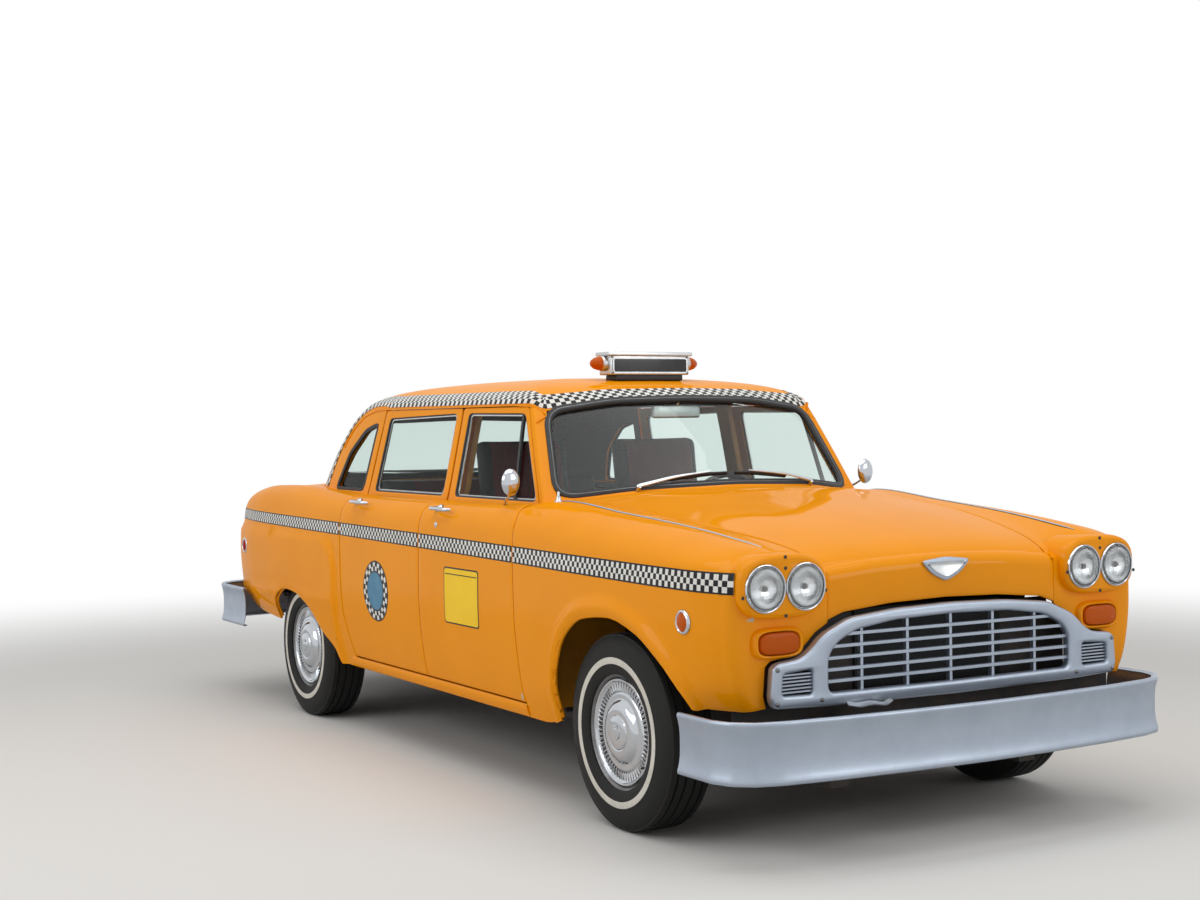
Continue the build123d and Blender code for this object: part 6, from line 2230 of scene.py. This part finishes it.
@dataclass
class Brightwork:
    """Crown strips, wipers, mirrors, aerial base, hood ornament, door emblem and fare board."""

    def crown_strip(self, name: str, side: int) -> None:
        """Thin bright strip with dark edges along the fender's crown."""
        x = np.linspace(2300, 1020, 60)
        t = LOWER_T_AT_Y(x, np.interp(x, [1000, 1500, 2300], [762, 746, 700]))
        at = LOWER.at(x, t) * np.array([1, side, 1])
        size = np.interp(np.arange(60), [0, 3, 56, 59], [0.4, 1, 1, 0.5])
        strip = sweep("strip", at, [(-4.5, 0.5), (-2.2, 3.4), (0, 4.2), (2.2, 3.4), (4.5, 0.5)], (0, 0, 1), scale=size,
                      closed_profile=False)
        edges = sweep("edges", at, [(-8, 0.4), (-4, 1.3), (4, 1.3), (8, 0.4)], (0, 0, 1), scale=size,
                      closed_profile=False)
        fit(join(f"crown_strip_{name}", [dress(strip, CHROME), dress(edges, RUBBER_AND_SHADE_BLACK)]), "body", "silver_metal")

    def wiper(self, name: str, side: int) -> None:
        """Wiper arm and blade, parked over the lower glass."""
        foot = upper_end_point(side * 420.0, 1168.0) + (12, 0, 16)
        tip = upper_end_point(side * 90.0, 1216.0) + (10, 0, 18)
        middle = (foot * 0.5 + tip * 0.5) + (10, 0, 8)
        bar = sweep("arm", curve([foot, middle, tip], 17), [(-6, -2), (6, -2), (5, 2.5), (-5, 2.5)], (0.7, 0, 0.7),
                    scale=np.linspace(1.3, 0.55, 17))
        boss = turned("boss", [(-14, 11), (6, 11), (10, 7), (11, 0)], foot - (4, 0, 6), (0.6, 0, 0.8), 24)
        edge = [upper_end_point(side * y, z) + (7, 0, 8)
                for y, z in ((285.0, 1196.0), (90.0, 1214.0), (20.0, 1216.0))]
        blade = sweep("blade", curve(edge, 15), [(-3, -7), (3, -7), (5, 3), (3, 8), (-3, 8), (-5, 3)], (0.6, 0, 0.8))
        fit(join(f"wiper_{name}", [dress(bar, BARE_ALUMINIUM), dress(boss, CHROME), dress(blade, RUBBER_AND_SHADE_BLACK)]), "body",
            "silver_metal")

    def door_mirror(self, name: str, side: int) -> None:
        """Small oval mirror on a bright arm, at the front of the door's window."""
        foot = np.array([700, 826, 1101.0])
        path = [foot, (742, 842, 1122), (810, 862, 1148), (858, 874, 1176)]
        arm = sweep("arm", curve(path, 19) * np.array([1, side, 1]), circle(5, 12), (0, 0, 1),
                    scale=np.linspace(1.3, 0.8, 19))
        base = turned("base", [(-6, 22), (3, 20), (7, 12), (8, 0)], tuple(foot * (1, side, 1)),
                      (0, side * 0.8, 0.6), 28)
        at = (866, side * 878, 1205)
        head = turned("head", [(-14, 0), (-13, 26), (-8, 44), (0, 52), (5, 54), (7, 53), (6, 50), (4, 49)], at,
                      (-1, 0, 0), 48)
        glass = turned("glass", [(4, 49), (4.4, 30), (4.6, 0)], at, (-1, 0, 0), 48)
        for piece in (head, glass):
            for vertex in piece.data.vertices:
                vertex.co.y = (vertex.co.y - at[1] * MM) * 0.74 + at[1] * MM
        fit(join(f"door_mirror_{name}", [dress(arm, CHROME), dress(base, CHROME), dress(head, CHROME),
                                         dress(glass, CHROME)]), f"front_door_{name}", "silver_metal")

    def ornament(self) -> None:
        """Plain raised shield on the bonnet's front, of no maker's shape."""
        outline = rounded([(0, 876), (64, 905), (110, 950), (0, 962), (-110, 950), (-64, 905)], 22, 5)
        made = plate("ornament", [outline], 9, 3.5, facing_x(NOSE_X + 4))
        inner = plate("ornament_inner", [grown(outline, -16)], 5, 2, facing_x(NOSE_X + 8))
        fit(join("hood_ornament", [dress(made, SILVER_PAINT), dress(inner, BARE_ALUMINIUM)]), "hood", "silver_metal")

    def film(self, name: str, body: str, slot: str, outline: Outline, lift: float, side: int,
             finish: Finish, rows: int = 24) -> Object:
        """Thin film on the flank.

        Args:
            name: Piece name.
            body: Body that it rides on.
            slot: The record's slot.
            outline: Outline seen from the side, (x, z).
            lift: Height over the paint.
            side: 1 for left, -1 for right.
            finish: The film.
            rows: Rows of faces.

        Returns:
            The object.
        """
        heights = np.array([v for _, v in outline], float)
        flat = []
        for z in np.linspace(heights.min() + 0.01, heights.max() - 0.01, rows):
            flat.append(np.stack([np.linspace(*span(outline, z), 18), np.full(18, z)], 1))
        flat = np.array(flat)
        at = side_point(flat[..., 0], flat[..., 1])
        at = (at + normals(at, (0, 1, 0)) * lift) * np.array([1, side, 1])
        made = make_mesh(name, at * MM, grid_faces(rows, 18, 0, flip=side < 0))
        return fit(dress(made, finish), body, slot)

    def emblem(self, name: str, side: int) -> None:
        """Generic round device on the rear door: plain rings and a chequered ring, without words."""
        cx, cz = -362.0, 691.0
        body = f"rear_door_{name}"
        rings = ((138, 0.8, BLACK_FILM), (131, 1.2, WHITE_FILM), (92, 2.0, BLACK_FILM), (86, 2.4, BLUE_FILM))
        for k, (radius, lift, finish) in enumerate(rings):
            self.film(f"door_emblem_{k}_{name}", body, "body_paint", circle(radius, 48, (cx, cz)), lift, side,
                      finish, 34)
        cells = 32
        quads, faces, count = [], [], 0
        for ring, (r0, r1) in enumerate(((92, 111), (111, 131))):
            for k in range(cells):
                if (k + ring) % 2:
                    continue
                a0, a1 = 2 * math.pi * k / cells, 2 * math.pi * (k + 1) / cells
                flat = np.array([(cx + r * math.cos(a), cz + r * math.sin(a))
                                 for r, a in ((r0, a0), (r1, a0), (r1, a1), (r0, a1))])
                at = side_point(flat[:, 0], flat[:, 1]) + (0, 1.8, 0)
                quads.append(at * np.array([1, side, 1]))
                faces.append(tuple(range(count, count + 4)) if side < 0 else tuple(range(count + 3, count - 1, -1)))
                count += 4
        made = make_mesh(f"door_emblem_squares_{name}", np.concatenate(quads) * MM, faces)
        fit(dress(made, BLACK_FILM), body, "body_paint")

    def fare_board(self, name: str, side: int) -> None:
        """Blank yellow board with a black border on the front door."""
        body = f"front_door_{name}"
        outline = rounded(oblong((357, 615), (678, 848)), 10, 4)
        self.film(f"fare_board_edge_{name}", body, "body_paint", outline, 0.8, side, BLACK_FILM)
        self.film(f"fare_board_{name}", body, "body_paint", rounded(oblong((363, 621), (672, 842)),
                                                                   8, 4), 1.3, side, YELLOW_FILM)
        self.film(f"fare_board_head_{name}", body, "body_paint", oblong((370, 818), (665, 822)), 1.8,
                  side, BLACK_FILM, 3)

    def chip(self) -> None:
        """Paint chip at the front door's lower front corner, and pale patch under the right pod."""
        rng = np.random.default_rng(7)
        outline = [(985 + 9 * math.cos(a) * (0.7 + 0.5 * rng.random()),
                    382 + 16 * math.sin(a) * (0.7 + 0.5 * rng.random()))
                   for a in np.linspace(0, 2 * math.pi, 14, endpoint=False)]
        self.film("paint_chip", "front_door_right", "body_paint", outline, 0.5, -1, PALE_PRIMER, 8)
        radius = FrontFender(-1, "right").nose_radius
        bare = [(868, 827), (850, 824), (815, 810), (800, 801), (803, 789), (835, 795), (864, 811)]
        points = [(NOSE_X - radius + math.sqrt(radius ** 2 - max(0, y - 824) ** 2) + 1.2, -y, z) for y, z in bare]
        patch = make_mesh("bare_patch_right", np.array(points, float) * MM, [tuple(range(len(bare)))])
        fit(dress(patch, PALE_PRIMER), "body", "body_paint")

    def build(self) -> None:
        """Make the bright parts and the films."""
        for name, side in SIDES:
            self.crown_strip(name, side)
            self.door_mirror(name, side)
            self.wiper(name, side)
            self.emblem(name, side)
            self.fare_board(name, side)
        foot = LOWER.at(1052.0, LOWER_T_AT_Y(1052.0, 770.0))
        base = turned("aerial_base", [(-4, 17), (3, 16), (8, 10), (20, 8), (24, 5), (36, 4.5), (40, 3), (40, 0)],
                      (foot[0], -foot[1], foot[2]), (0, 0, 1), 28)
        fit(dress(base, CHROME), "body", "silver_metal")
        self.ornament()
        self.chip()


@dataclass
class Cushion:
    """Stuffed seat part: a crowned leathercloth form with a red centre, black borders and sewn channels."""

    name: str
    low: Point3
    high: Point3
    crown: float = 16.0
    lean: float = 0.0
    channels: int = 0
    border: float = 60.0
    round_mm: float = 34.0
    shrink: float = 12.0
    travel: float = 12.0
    voxel: float = 12.0

    def build(self, *nodes: str) -> Object:
        """Make the cushion.

        Args:
            nodes: Plain pieces that it stands for.

        Returns:
            The object.
        """
        low, high = (np.array(v, float) for v in (self.low, self.high))
        made = block(self.name, tuple(low + self.shrink), tuple(high - self.shrink), self.round_mm, 5)
        remesh = made.modifiers.new("remesh", "REMESH")
        remesh.mode = "VOXEL"
        remesh.voxel_size = self.voxel * MM
        self.apply(made)
        self.inflate(made)
        mesh = made.data
        at = np.empty(len(mesh.vertices) * 3)
        mesh.vertices.foreach_get("co", at)
        at = at.reshape(-1, 3) / MM
        at = self.shaped(at, (low + high) / 2, (high - low) / 2)
        mesh.vertices.foreach_set("co", (at * MM).ravel())
        dress(made, RED_VINYL, BLACK_VINYL)
        seam = (high[1] - low[1]) / 2 - self.border
        middle = (low[1] + high[1]) / 2
        for face in mesh.polygons:
            centre = sum((mesh.vertices[v].co.y for v in face.vertices)) / len(face.vertices) / MM
            face.material_index = int(abs(centre - middle) > seam)
        smooth = made.modifiers.new("smooth", "SUBSURF")
        smooth.levels = smooth.render_levels = 1
        self.apply(made)
        made.data.shade_smooth()
        fit(made, "body", "seat_vinyl", *nodes)
        return made

    def shaped(self, at: Grid, middle: Grid, half: Grid) -> Grid:
        """Crown, seam grooves, sewn channels and lean.

        Args:
            at: Points of the stuffed form.
            middle: Middle of the cushion.
            half: Its half sizes.

        Returns:
            The points moved.
        """
        share = np.clip((at - middle) / half, -1, 1)
        u, v, w = share.T
        made = at.copy()
        seam = half[1] - self.border
        off = np.abs(np.abs(at[:, 1] - middle[1]) - seam)
        snap = off < self.voxel * 0.55
        made[snap, 1] = middle[1] + np.sign(at[snap, 1] - middle[1]) * seam
        groove = 5.0 * np.exp(-(off / 7.0) ** 2)
        inside = np.abs(at[:, 1] - middle[1]) < seam - 12
        lines = np.maximum(0, np.cos(math.pi * (v + 1) * self.channels)) ** 10 * 6.0 * inside
        if self.lean:
            swell = self.crown * 0.6 * (1 - v ** 2) * (1 - w ** 2)
            made[:, 0] += np.where(np.abs(u) > 0.35, np.sign(u) * swell, 0)
            made[:, 0] -= np.where(u > 0.3, groove + lines, 0)
            made[:, 0] -= math.tan(math.radians(self.lean)) * (at[:, 2] - (middle[2] - half[2]))
        else:
            made[:, 2] += np.where(w > 0.2, self.crown * (1 - u ** 2) * (1 - v ** 2) - groove - lines, 0)
        return made

    def inflate(self, made: Object) -> None:
        """Stuff the cover by a short cloth simulation, with each point's travel capped.

        Args:
            made: The remeshed cover.
        """
        before = [v.co.copy() for v in made.data.vertices]
        cloth = made.modifiers.new("stuffing", "CLOTH")
        cloth.settings.use_pressure = True
        cloth.settings.uniform_pressure_force = 4.0
        cloth.settings.effector_weights.gravity = 0.0
        cloth.settings.tension_stiffness = 12
        cloth.settings.bending_stiffness = 2
        cloth.point_cache.frame_end = 20
        scene = bpy.context.scene
        for number in range(1, 21):
            scene.frame_set(number)
        depsgraph = bpy.context.evaluated_depsgraph_get()
        after = [v.co.copy() for v in made.evaluated_get(depsgraph).data.vertices]
        made.modifiers.remove(cloth)
        scene.frame_set(1)
        limit = self.travel * MM
        for vertex, start, end in zip(made.data.vertices, before, after):
            move = end - start
            vertex.co = start + (move if move.length < limit else move.normalized() * limit)

    @staticmethod
    def apply(made: Object) -> None:
        """Apply an object's modifiers."""
        depsgraph = bpy.context.evaluated_depsgraph_get()
        mesh = bpy.data.meshes.new_from_object(made.evaluated_get(depsgraph))
        made.modifiers.clear()
        made.data = mesh


@dataclass
class Cabin:
    """Seats, dashboard, steering wheel, sills and posts."""

    wheel_at: Point3 = (430.0, 385.0, 1010.0)
    wheel_tilt: float = 26.0
    wheel_radius: float = 205.0
    rim_bar: float = 11.5
    horn_radius: float = 118.0
    column_gap: float = 45.0
    dash_half_width: float = 655.0

    def seats(self) -> None:
        """Front bench with two high backs, and the rear bench."""
        Cushion("front_seat_cushion", (4, -648, 410), (518, 648, 597), 14, 0, 8, 70).build("front_seat")
        for name, side in SIDES:
            y0, y1 = sorted((side * 112, side * 588))
            Cushion(f"front_seat_back_{name}", (8, y0, 560), (120, y1, 1378), 16, 8.65, 4, 62).build()
            runner = side_block(f"seat_runner_{name}", side, (10, 500, 348), (500, 560, 372), 4)
            fit(dress(runner, BARE_STEEL), "body", "chassis_black")
        frame_base = block("front_seat_base", (30, -600, 368), (490, 600, 420), 10)
        fit(dress(frame_base, CHASSIS_AND_SHADE_BLACK), "body", "chassis_black")
        Cushion("rear_seat_cushion", (-1044, -626, 512), (-534, 626, 698), 14, 0, 9, 190).build("rear_seat")
        Cushion("rear_seat_back", (-1046, -626, 650), (-932, 626, 1183), 16, 8.7, 9, 190).build()

    def dashboard(self) -> None:
        """Moulded dashboard, instrument hood, dials, glovebox and column."""
        outline = [(1078, 805), (905, 770), (842, 800), (822, 860), (820, 960), (838, 1020), (880, 1046), (960, 1062),
                   (1078, 1086)]
        line = np.array(rounded(outline, 26, 5))
        ys = np.linspace(-self.dash_half_width, self.dash_half_width, 31)
        points = np.array([[(x, y, z) for x, z in line] for y in ys])
        body = make_mesh("dash", points * MM, tube_faces(len(ys), len(line)))
        fix_normals(body)
        brow = block("brow", (800, 210, 985), (905, 560, 1072), 22)
        panel_piece = block("dials_panel", (806, 228, 905), (826, 542, 1000), 6)
        pieces = [dress(body, DASH_PLASTIC), dress(brow, DASH_PLASTIC), dress(panel_piece, BARE_ALUMINIUM)]
        for y in (300, 385, 470):
            dial = turned("dial", [(0, 34), (5, 34), (6, 31), (3, 30), (3, 0)], (806, y, 955), (-1, 0, 0), 36)
            pieces.append(dress(dial, SIGN_BLACK))
        drawer = block("glovebox", (812, -480, 870), (826, -170, 985), 6)
        pieces.append(dress(drawer, DASH_PLASTIC))
        fit(join("dashboard_assembly", pieces), "body", "dash_plastic", "dashboard")
        way = self.wheel_axis
        start = np.array(self.wheel_at) + way * self.column_gap
        column = turned("steering_column", [(0, 0), (0, 30), (60, 34), (260, 34), (280, 26), (590, 26), (590, 0)],
                        tuple(start), tuple(way), 32)
        fit(dress(column, DASH_PLASTIC), "body", "dash_plastic")

    @property
    def wheel_axis(self) -> Grid:
        """Direction of the steering column, forward and down."""
        tilt = math.radians(self.wheel_tilt)
        return np.array([math.cos(tilt), 0, -math.sin(tilt)])

    def steering_wheel(self) -> None:
        """Thin-rimmed two-spoke steering wheel with a half horn ring."""
        axis, centre = Vector(self.wheel_axis), Vector(self.wheel_at)
        across = Vector((0, 1, 0))
        upward = across.cross(axis)
        ring = np.array([centre + (across * math.cos(a) + upward * math.sin(a)) * self.wheel_radius
                         for a in np.linspace(0, 2 * math.pi, 96, endpoint=False)])
        rim = sweep("rim", ring, circle(self.rim_bar, 14), tuple(axis), closed_path=True)
        pieces = [dress(rim, DASH_PLASTIC)]
        for sign in (-1, 1):
            path = np.array([centre + across * sign * r + axis * (18 - r * 0.09) for r in (30, 80, 140, 204)])
            pieces.append(dress(sweep("spoke", path, [(-12, -4), (12, -4), (9, 4), (-9, 4)], tuple(-axis),
                                      scale=[1.4, 1.1, 0.9, 0.9]), DASH_PLASTIC))
        horn = np.array([centre + (across * math.cos(a) + upward * math.sin(a)) * self.horn_radius + axis * 4
                         for a in np.linspace(math.pi, 2 * math.pi, 30)])
        pieces.append(dress(sweep("horn_ring", horn, circle(4, 10), tuple(axis)), CHROME))
        hub = turned("hub", [(34, 0), (34, 34), (6, 40), (-6, 34), (-12, 20), (-13, 0)], tuple(centre), tuple(axis), 40)
        pieces.append(dress(hub, DASH_PLASTIC))
        fit(join("steering_wheel_assembly", pieces), "steering_wheel", "dash_plastic", "steering_wheel")

    def posts(self) -> None:
        """Sills, centre posts and kick panels behind the door gaps."""
        for name, side in SIDES:
            s, r = np.linspace(0, 1, 60), np.linspace(0, 1, 12)
            a, b = solve_patch(s, r, fixed(-742), fixed(1010), fixed(0.0),
                               lambda a, b: LOWER_T_AT_Z(a, 356.0), (0, 0.4))
            skin = LOWER.at(a, b)
            skin = skin + np.array([0, 1.0, 0]) * (9 * np.sin(math.pi * r) ** 0.7)[None, :, None]
            fit(panel(f"rocker_{name}", skin, 70, (0, 1, 0), (BODY_ENAMEL, INNER_ENAMEL), side), "body", "body_paint",
                f"side_frame_{name}")
            line = ((866, 350), (888, 480), (905, 700), (900, 900), (850, 1030), (802, 1090), (786, 1140), (754, 1300),
                    (722, 1450), (708, 1508))
            path = curve([(MEETING_X, y - 66, z) for y, z in line], 40)
            path[:, 1] *= side
            post = sweep(f"centre_post_{name}", path, [(-46, -14), (46, -14), (50, 0), (46, 12), (-46, 12), (-50, 0)],
                         (0, side, 0))
            fit(dress(post, INNER_ENAMEL), "body", "body_paint")
            rows = []
            for z in np.linspace(352, 1085, 12):
                x = np.linspace(1000, 1086, 5)
                rows.append(side_point(x, np.full(5, z)) - (0, 24, 0))
            kick = panel(f"kick_panel_{name}", np.array(rows), 20, (0, 1, 0), (INNER_ENAMEL, BLACK_VINYL), side)
            fit(kick, "body", "body_paint")

    def build(self) -> None:
        """Make the cabin."""
        self.seats()
        self.dashboard()
        self.steering_wheel()
        self.posts()
        at = (700, 0, 1478)
        mirror = block("mirror", (at[0] - 16, -118, at[2] - 30), (at[0] + 4, 118, at[2] + 30), 9)
        stalk = sweep("stalk", np.array([(706, 0, 1500), (718, 0, 1534)]), circle(6, 10), (0, 1, 0))
        fit(join("inside_mirror", [dress(mirror, BARE_ALUMINIUM), dress(stalk, CHROME)]), "body", "silver_metal")


@dataclass
class Tail:
    """Tail lamps, lid handle, blank plate and lower panel."""

    y: float = 690.0
    heights: tuple[float, float] = (790.0, 895.0)

    def lamps(self) -> None:
        """Two round red lamps with bright rings on each side."""
        lamps, rings = [], []
        for _, side in SIDES:
            for z in self.heights:
                centre = (TAIL_X, side * self.y, z)
                lamps.append(dress(turned("lens", [(-6, 44), (4, 44), (12, 38), (20, 22), (22, 8), (22.5, 0)], centre,
                                          (-1, 0, 0), 40), RED_LENS))
                rings.append(dress(turned("ring", [(-6, 54), (3, 54), (8, 51), (10, 47), (7, 44), (-6, 44)], centre,
                                          (-1, 0, 0), 48), CHROME))
        fit(join("tail_lamp_lenses", lamps), "body", "red_lens", "red_lamps")
        fit(join("tail_lamp_rings", rings), "body", "silver_metal")

    def lower_panel(self) -> None:
        """Panel under the lid, with its lower edge turned in."""
        grid = []
        for y in np.linspace(-498, 498, 40):
            grid.append([(TAIL_X + 14, y, 506), (TAIL_X + 3, y, 520), (TAIL_X, y, 536), (TAIL_X, y, 575),
                         (TAIL_X, y, 620), (TAIL_X, y, 633)])
        points, faces, slots = slab(np.array(grid, float), 10, (-1, 0, 0))
        fit(dress(make_mesh("tail_lower_panel", points, faces, slots), BODY_ENAMEL, INNER_ENAMEL), "body", "body_paint",
            "tail_panel")

    def build(self) -> None:
        """Make the tail, with a blank number plate on the lid."""
        self.lamps()
        self.lower_panel()
        plate_piece = plate("plate_blank", [rounded(oblong((-152, 700), (152, 852)), 12, 4)], 4, 1.5,
                            facing_x(TAIL_X - 5, True))
        edge = resampled(np.array(rounded(oblong((-158, 694), (158, 858)), 14, 4)), 14, True)
        rim = sweep("plate_frame", np.column_stack([np.full(len(edge), TAIL_X - 6), edge]),
                    [(-5, -4), (5, -4), (4, 3), (-4, 3)], (-1, 0, 0), closed_path=True)
        handle = block("lid_handle", (TAIL_X - 30, -62, 884), (TAIL_X + 4, 62, 902), 8)
        lamp = block("plate_lamp", (TAIL_X - 24, -40, 864), (TAIL_X + 4, 40, 876), 5)
        fit(join("lid_fittings", [dress(plate_piece, WHITE_FILM), dress(rim, CHROME), dress(handle, CHROME),
                                  dress(lamp, CHROME)]), "trunk_lid", "silver_metal")


@dataclass
class Mechanics:
    """Finishes of the working parts that keep their own shape, and the engine's fittings."""

    # The inner aprons take the flat black of the wells: painted shade.
    finishes: dict = field(default_factory=lambda: {
        "firewall": INNER_ENAMEL, "rear_bulkhead": BLACK_VINYL, "inner_apron_left": WELL_SHADE_BLACK,
        "inner_apron_right": WELL_SHADE_BLACK, "chassis_frame": CHASSIS_AND_SHADE_BLACK, "control_arms": CHASSIS_AND_SHADE_BLACK,
        "rear_axle": CHASSIS_AND_SHADE_BLACK, "leaf_springs": CHASSIS_AND_SHADE_BLACK, "floor_pan": FLOOR_RUBBER,
        "rear_floor": FLOOR_RUBBER, "engine_block": CAST_IRON, "propeller_shaft": BARE_STEEL,
        "fuel_tank": CHASSIS_AND_SHADE_BLACK, "exhaust_pipe": BARE_STEEL, "knuckle_left": CAST_IRON,
        "knuckle_right": CAST_IRON})

    def build(self) -> None:
        """Dress the working parts and add the engine's covers."""
        for name, finish in self.finishes.items():
            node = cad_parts[name]
            for slot in node.material_slots:
                slot.material = finish.build()
        pieces = [dress(side_block("cover", side, (1400, 70, 928), (1960, 205, 962), 16), CAST_IRON)
                  for side in (1, -1)]
        cleaner = turned("cleaner", [(0, 0), (0, 150), (8, 158), (52, 158), (60, 150), (62, 30), (70, 12), (70, 0)],
                         (1690, 0, 925), (0, 0, 1), 64)
        pieces.append(dress(cleaner, CHASSIS_AND_SHADE_BLACK))
        fit(join("engine_covers", pieces), "body", "engine_iron")


@dataclass
class Studio:
    """Pale floor, soft light and the camera at the photograph's place."""

    camera_at: Point3 = (7.165, -4.14, 1.444)
    yaw: float = 149.8
    pitch: float = -0.94
    roll: float = -0.76
    lens: float = 54.31

    def camera(self) -> None:
        """Set the camera."""
        yaw, pitch, roll = (math.radians(v) for v in (self.yaw, self.pitch, self.roll))
        forward = Vector((math.cos(yaw) * math.cos(pitch), math.sin(yaw) * math.cos(pitch), math.sin(pitch)))
        right = Vector((math.sin(yaw), -math.cos(yaw), 0))
        up = right.cross(forward)
        right, up = (right * math.cos(roll) + up * math.sin(roll), up * math.cos(roll) - right * math.sin(roll))
        data = bpy.data.cameras.new("camera")
        data.lens = self.lens
        data.sensor_width = 36.0
        data.clip_end = 200.0
        camera = in_scene("camera", data)
        turn = Matrix((right, up, -forward)).transposed()
        camera.matrix_world = Matrix.Translation(self.camera_at) @ turn.to_4x4()
        bpy.context.scene.camera = camera

    def light(self, name: str, at: Point3, size: Point2, power: float) -> None:
        """Large soft lamp aimed at the car.

        Args:
            name: Lamp name.
            at: Its place.
            size: Its width and height.
            power: Watts.
        """
        data = bpy.data.lights.new(name, "AREA")
        data.shape = "RECTANGLE"
        data.size, data.size_y = size
        data.energy = power
        lamp = in_scene(name, data)
        lamp.location = at
        lamp.rotation_euler = (Vector((0, 0, 0.7)) - Vector(at)).to_track_quat("-Z", "Y").to_euler()

    def seen(self, tree: bpy.types.NodeTree) -> bpy.types.NodeSocket:
        """Whether a ray is the camera's own, a reflection or one through glass, before any diffuse bounce."""
        rays = add_node(tree, "ShaderNodeLightPath")
        first = add_node(tree, "ShaderNodeMath", {"operation": "MAXIMUM"}, links={
            0: rays.outputs["Is Camera Ray"], 1: rays.outputs["Is Transmission Ray"]})
        second = add_node(tree, "ShaderNodeMath", {"operation": "MAXIMUM"}, links={
            0: first.outputs["Value"], 1: rays.outputs["Is Glossy Ray"]})
        direct = add_node(tree, "ShaderNodeMath", {"operation": "LESS_THAN"}, {1: 0.5},
                          {0: rays.outputs["Diffuse Depth"]})
        return add_node(tree, "ShaderNodeMath", {"operation": "MULTIPLY"}, links={
            0: second.outputs["Value"], 1: direct.outputs["Value"]}).outputs["Value"]

    def floor(self) -> None:
        """Pale floor that keeps the shadow and runs into white away from the car."""
        mesh = bpy.data.meshes.new("floor")
        mesh.from_pydata([(-60, -60, 0), (60, -60, 0), (60, 60, 0), (-60, 60, 0)], [], [(0, 1, 2, 3)])
        floor = in_scene("floor", mesh)
        material = bpy.data.materials.new("studio_floor")
        tree = empty_tree(material)
        near = add_node(tree, "ShaderNodeBsdfDiffuse", values={"Color": to_linear("#E4E3E0")})
        far = add_node(tree, "ShaderNodeEmission", values={"Color": (1, 1, 1, 1), "Strength": 1.0})
        where = add_node(tree, "ShaderNodeTexCoord").outputs["Object"]
        reach = add_node(tree, "ShaderNodeVectorMath", {"operation": "LENGTH"}, links={0: where})
        fade = add_node(tree, "ShaderNodeMapRange", {"interpolation_type": "SMOOTHSTEP"},
                        {"From Min": 3.6, "From Max": 8.5}, {"Value": reach.outputs["Value"]})
        share = add_node(tree, "ShaderNodeMath", {"operation": "MULTIPLY"}, links={
            0: fade.outputs["Result"], 1: self.seen(tree)})
        mixed = add_node(tree, "ShaderNodeMixShader", links={
            0: share.outputs["Value"], 1: near.outputs["BSDF"], 2: far.outputs["Emission"]})
        add_node(tree, "ShaderNodeOutputMaterial", links={"Surface": mixed.outputs["Shader"]})
        mesh.materials.append(material)

    def world(self) -> None:
        """Even pale surroundings, white to the camera, in reflections and through glass."""
        world = bpy.data.worlds.new("studio")
        bpy.context.scene.world = world
        tree = empty_tree(world)
        soft = add_node(tree, "ShaderNodeBackground", values={"Color": (1, 1, 1, 1), "Strength": 0.42})
        white = add_node(tree, "ShaderNodeBackground", values={"Color": (1, 1, 1, 1), "Strength": 1.0})
        mixed = add_node(tree, "ShaderNodeMixShader", links={
            0: self.seen(tree), 1: soft.outputs["Background"], 2: white.outputs["Background"]})
        add_node(tree, "ShaderNodeOutputWorld", links={"Surface": mixed.outputs["Shader"]})

    def build(self) -> None:
        """Make the studio."""
        self.camera()
        self.floor()
        self.world()
        self.light("sky_panel", (1.5, -1.0, 7.0), (9, 6), 260)
        self.light("front_panel", (8.0, 3.5, 3.6), (4, 3), 90)
        self.light("side_panel", (0.5, -8.0, 4.2), (7, 3), 130)
        bpy.context.scene.view_settings.view_transform = "Standard"


def main() -> None:
    """Build the cab's parts in order."""
    logging.basicConfig(level=logging.INFO, format="%(message)s")
    Studio().build()
    for name, side in SIDES:
        FrontFender(side, name).build()
        Quarter(side, name).build()
        Door("front", side, name).build()
        Door("rear", side, name).build()
        Stripe(side, name).build()
        LampGroup(side, name).build()
    BONNET.build()
    BOOT_LID.build()
    UpperBody().build()
    EndGlass().build()
    Grille().build()
    Bumper("front_bumper", 2600, 1, 400, 285).build()
    Bumper("rear_bumper", -2600, -1, 560, 380).build()
    for where, x, y, side in (("front_left", FRONT_AXLE_X, 818.5, 1), ("front_right", FRONT_AXLE_X, -818.5, -1),
                              ("rear_left", REAR_AXLE_X, 804, 1), ("rear_right", REAR_AXLE_X, -804, -1)):
        RoadWheel(where, x, y, side).build()
    RoofSign().build()
    Brightwork().build()
    Cabin().build()
    Tail().build()
    Mechanics().build()


if __name__ == "__main__":
    main()
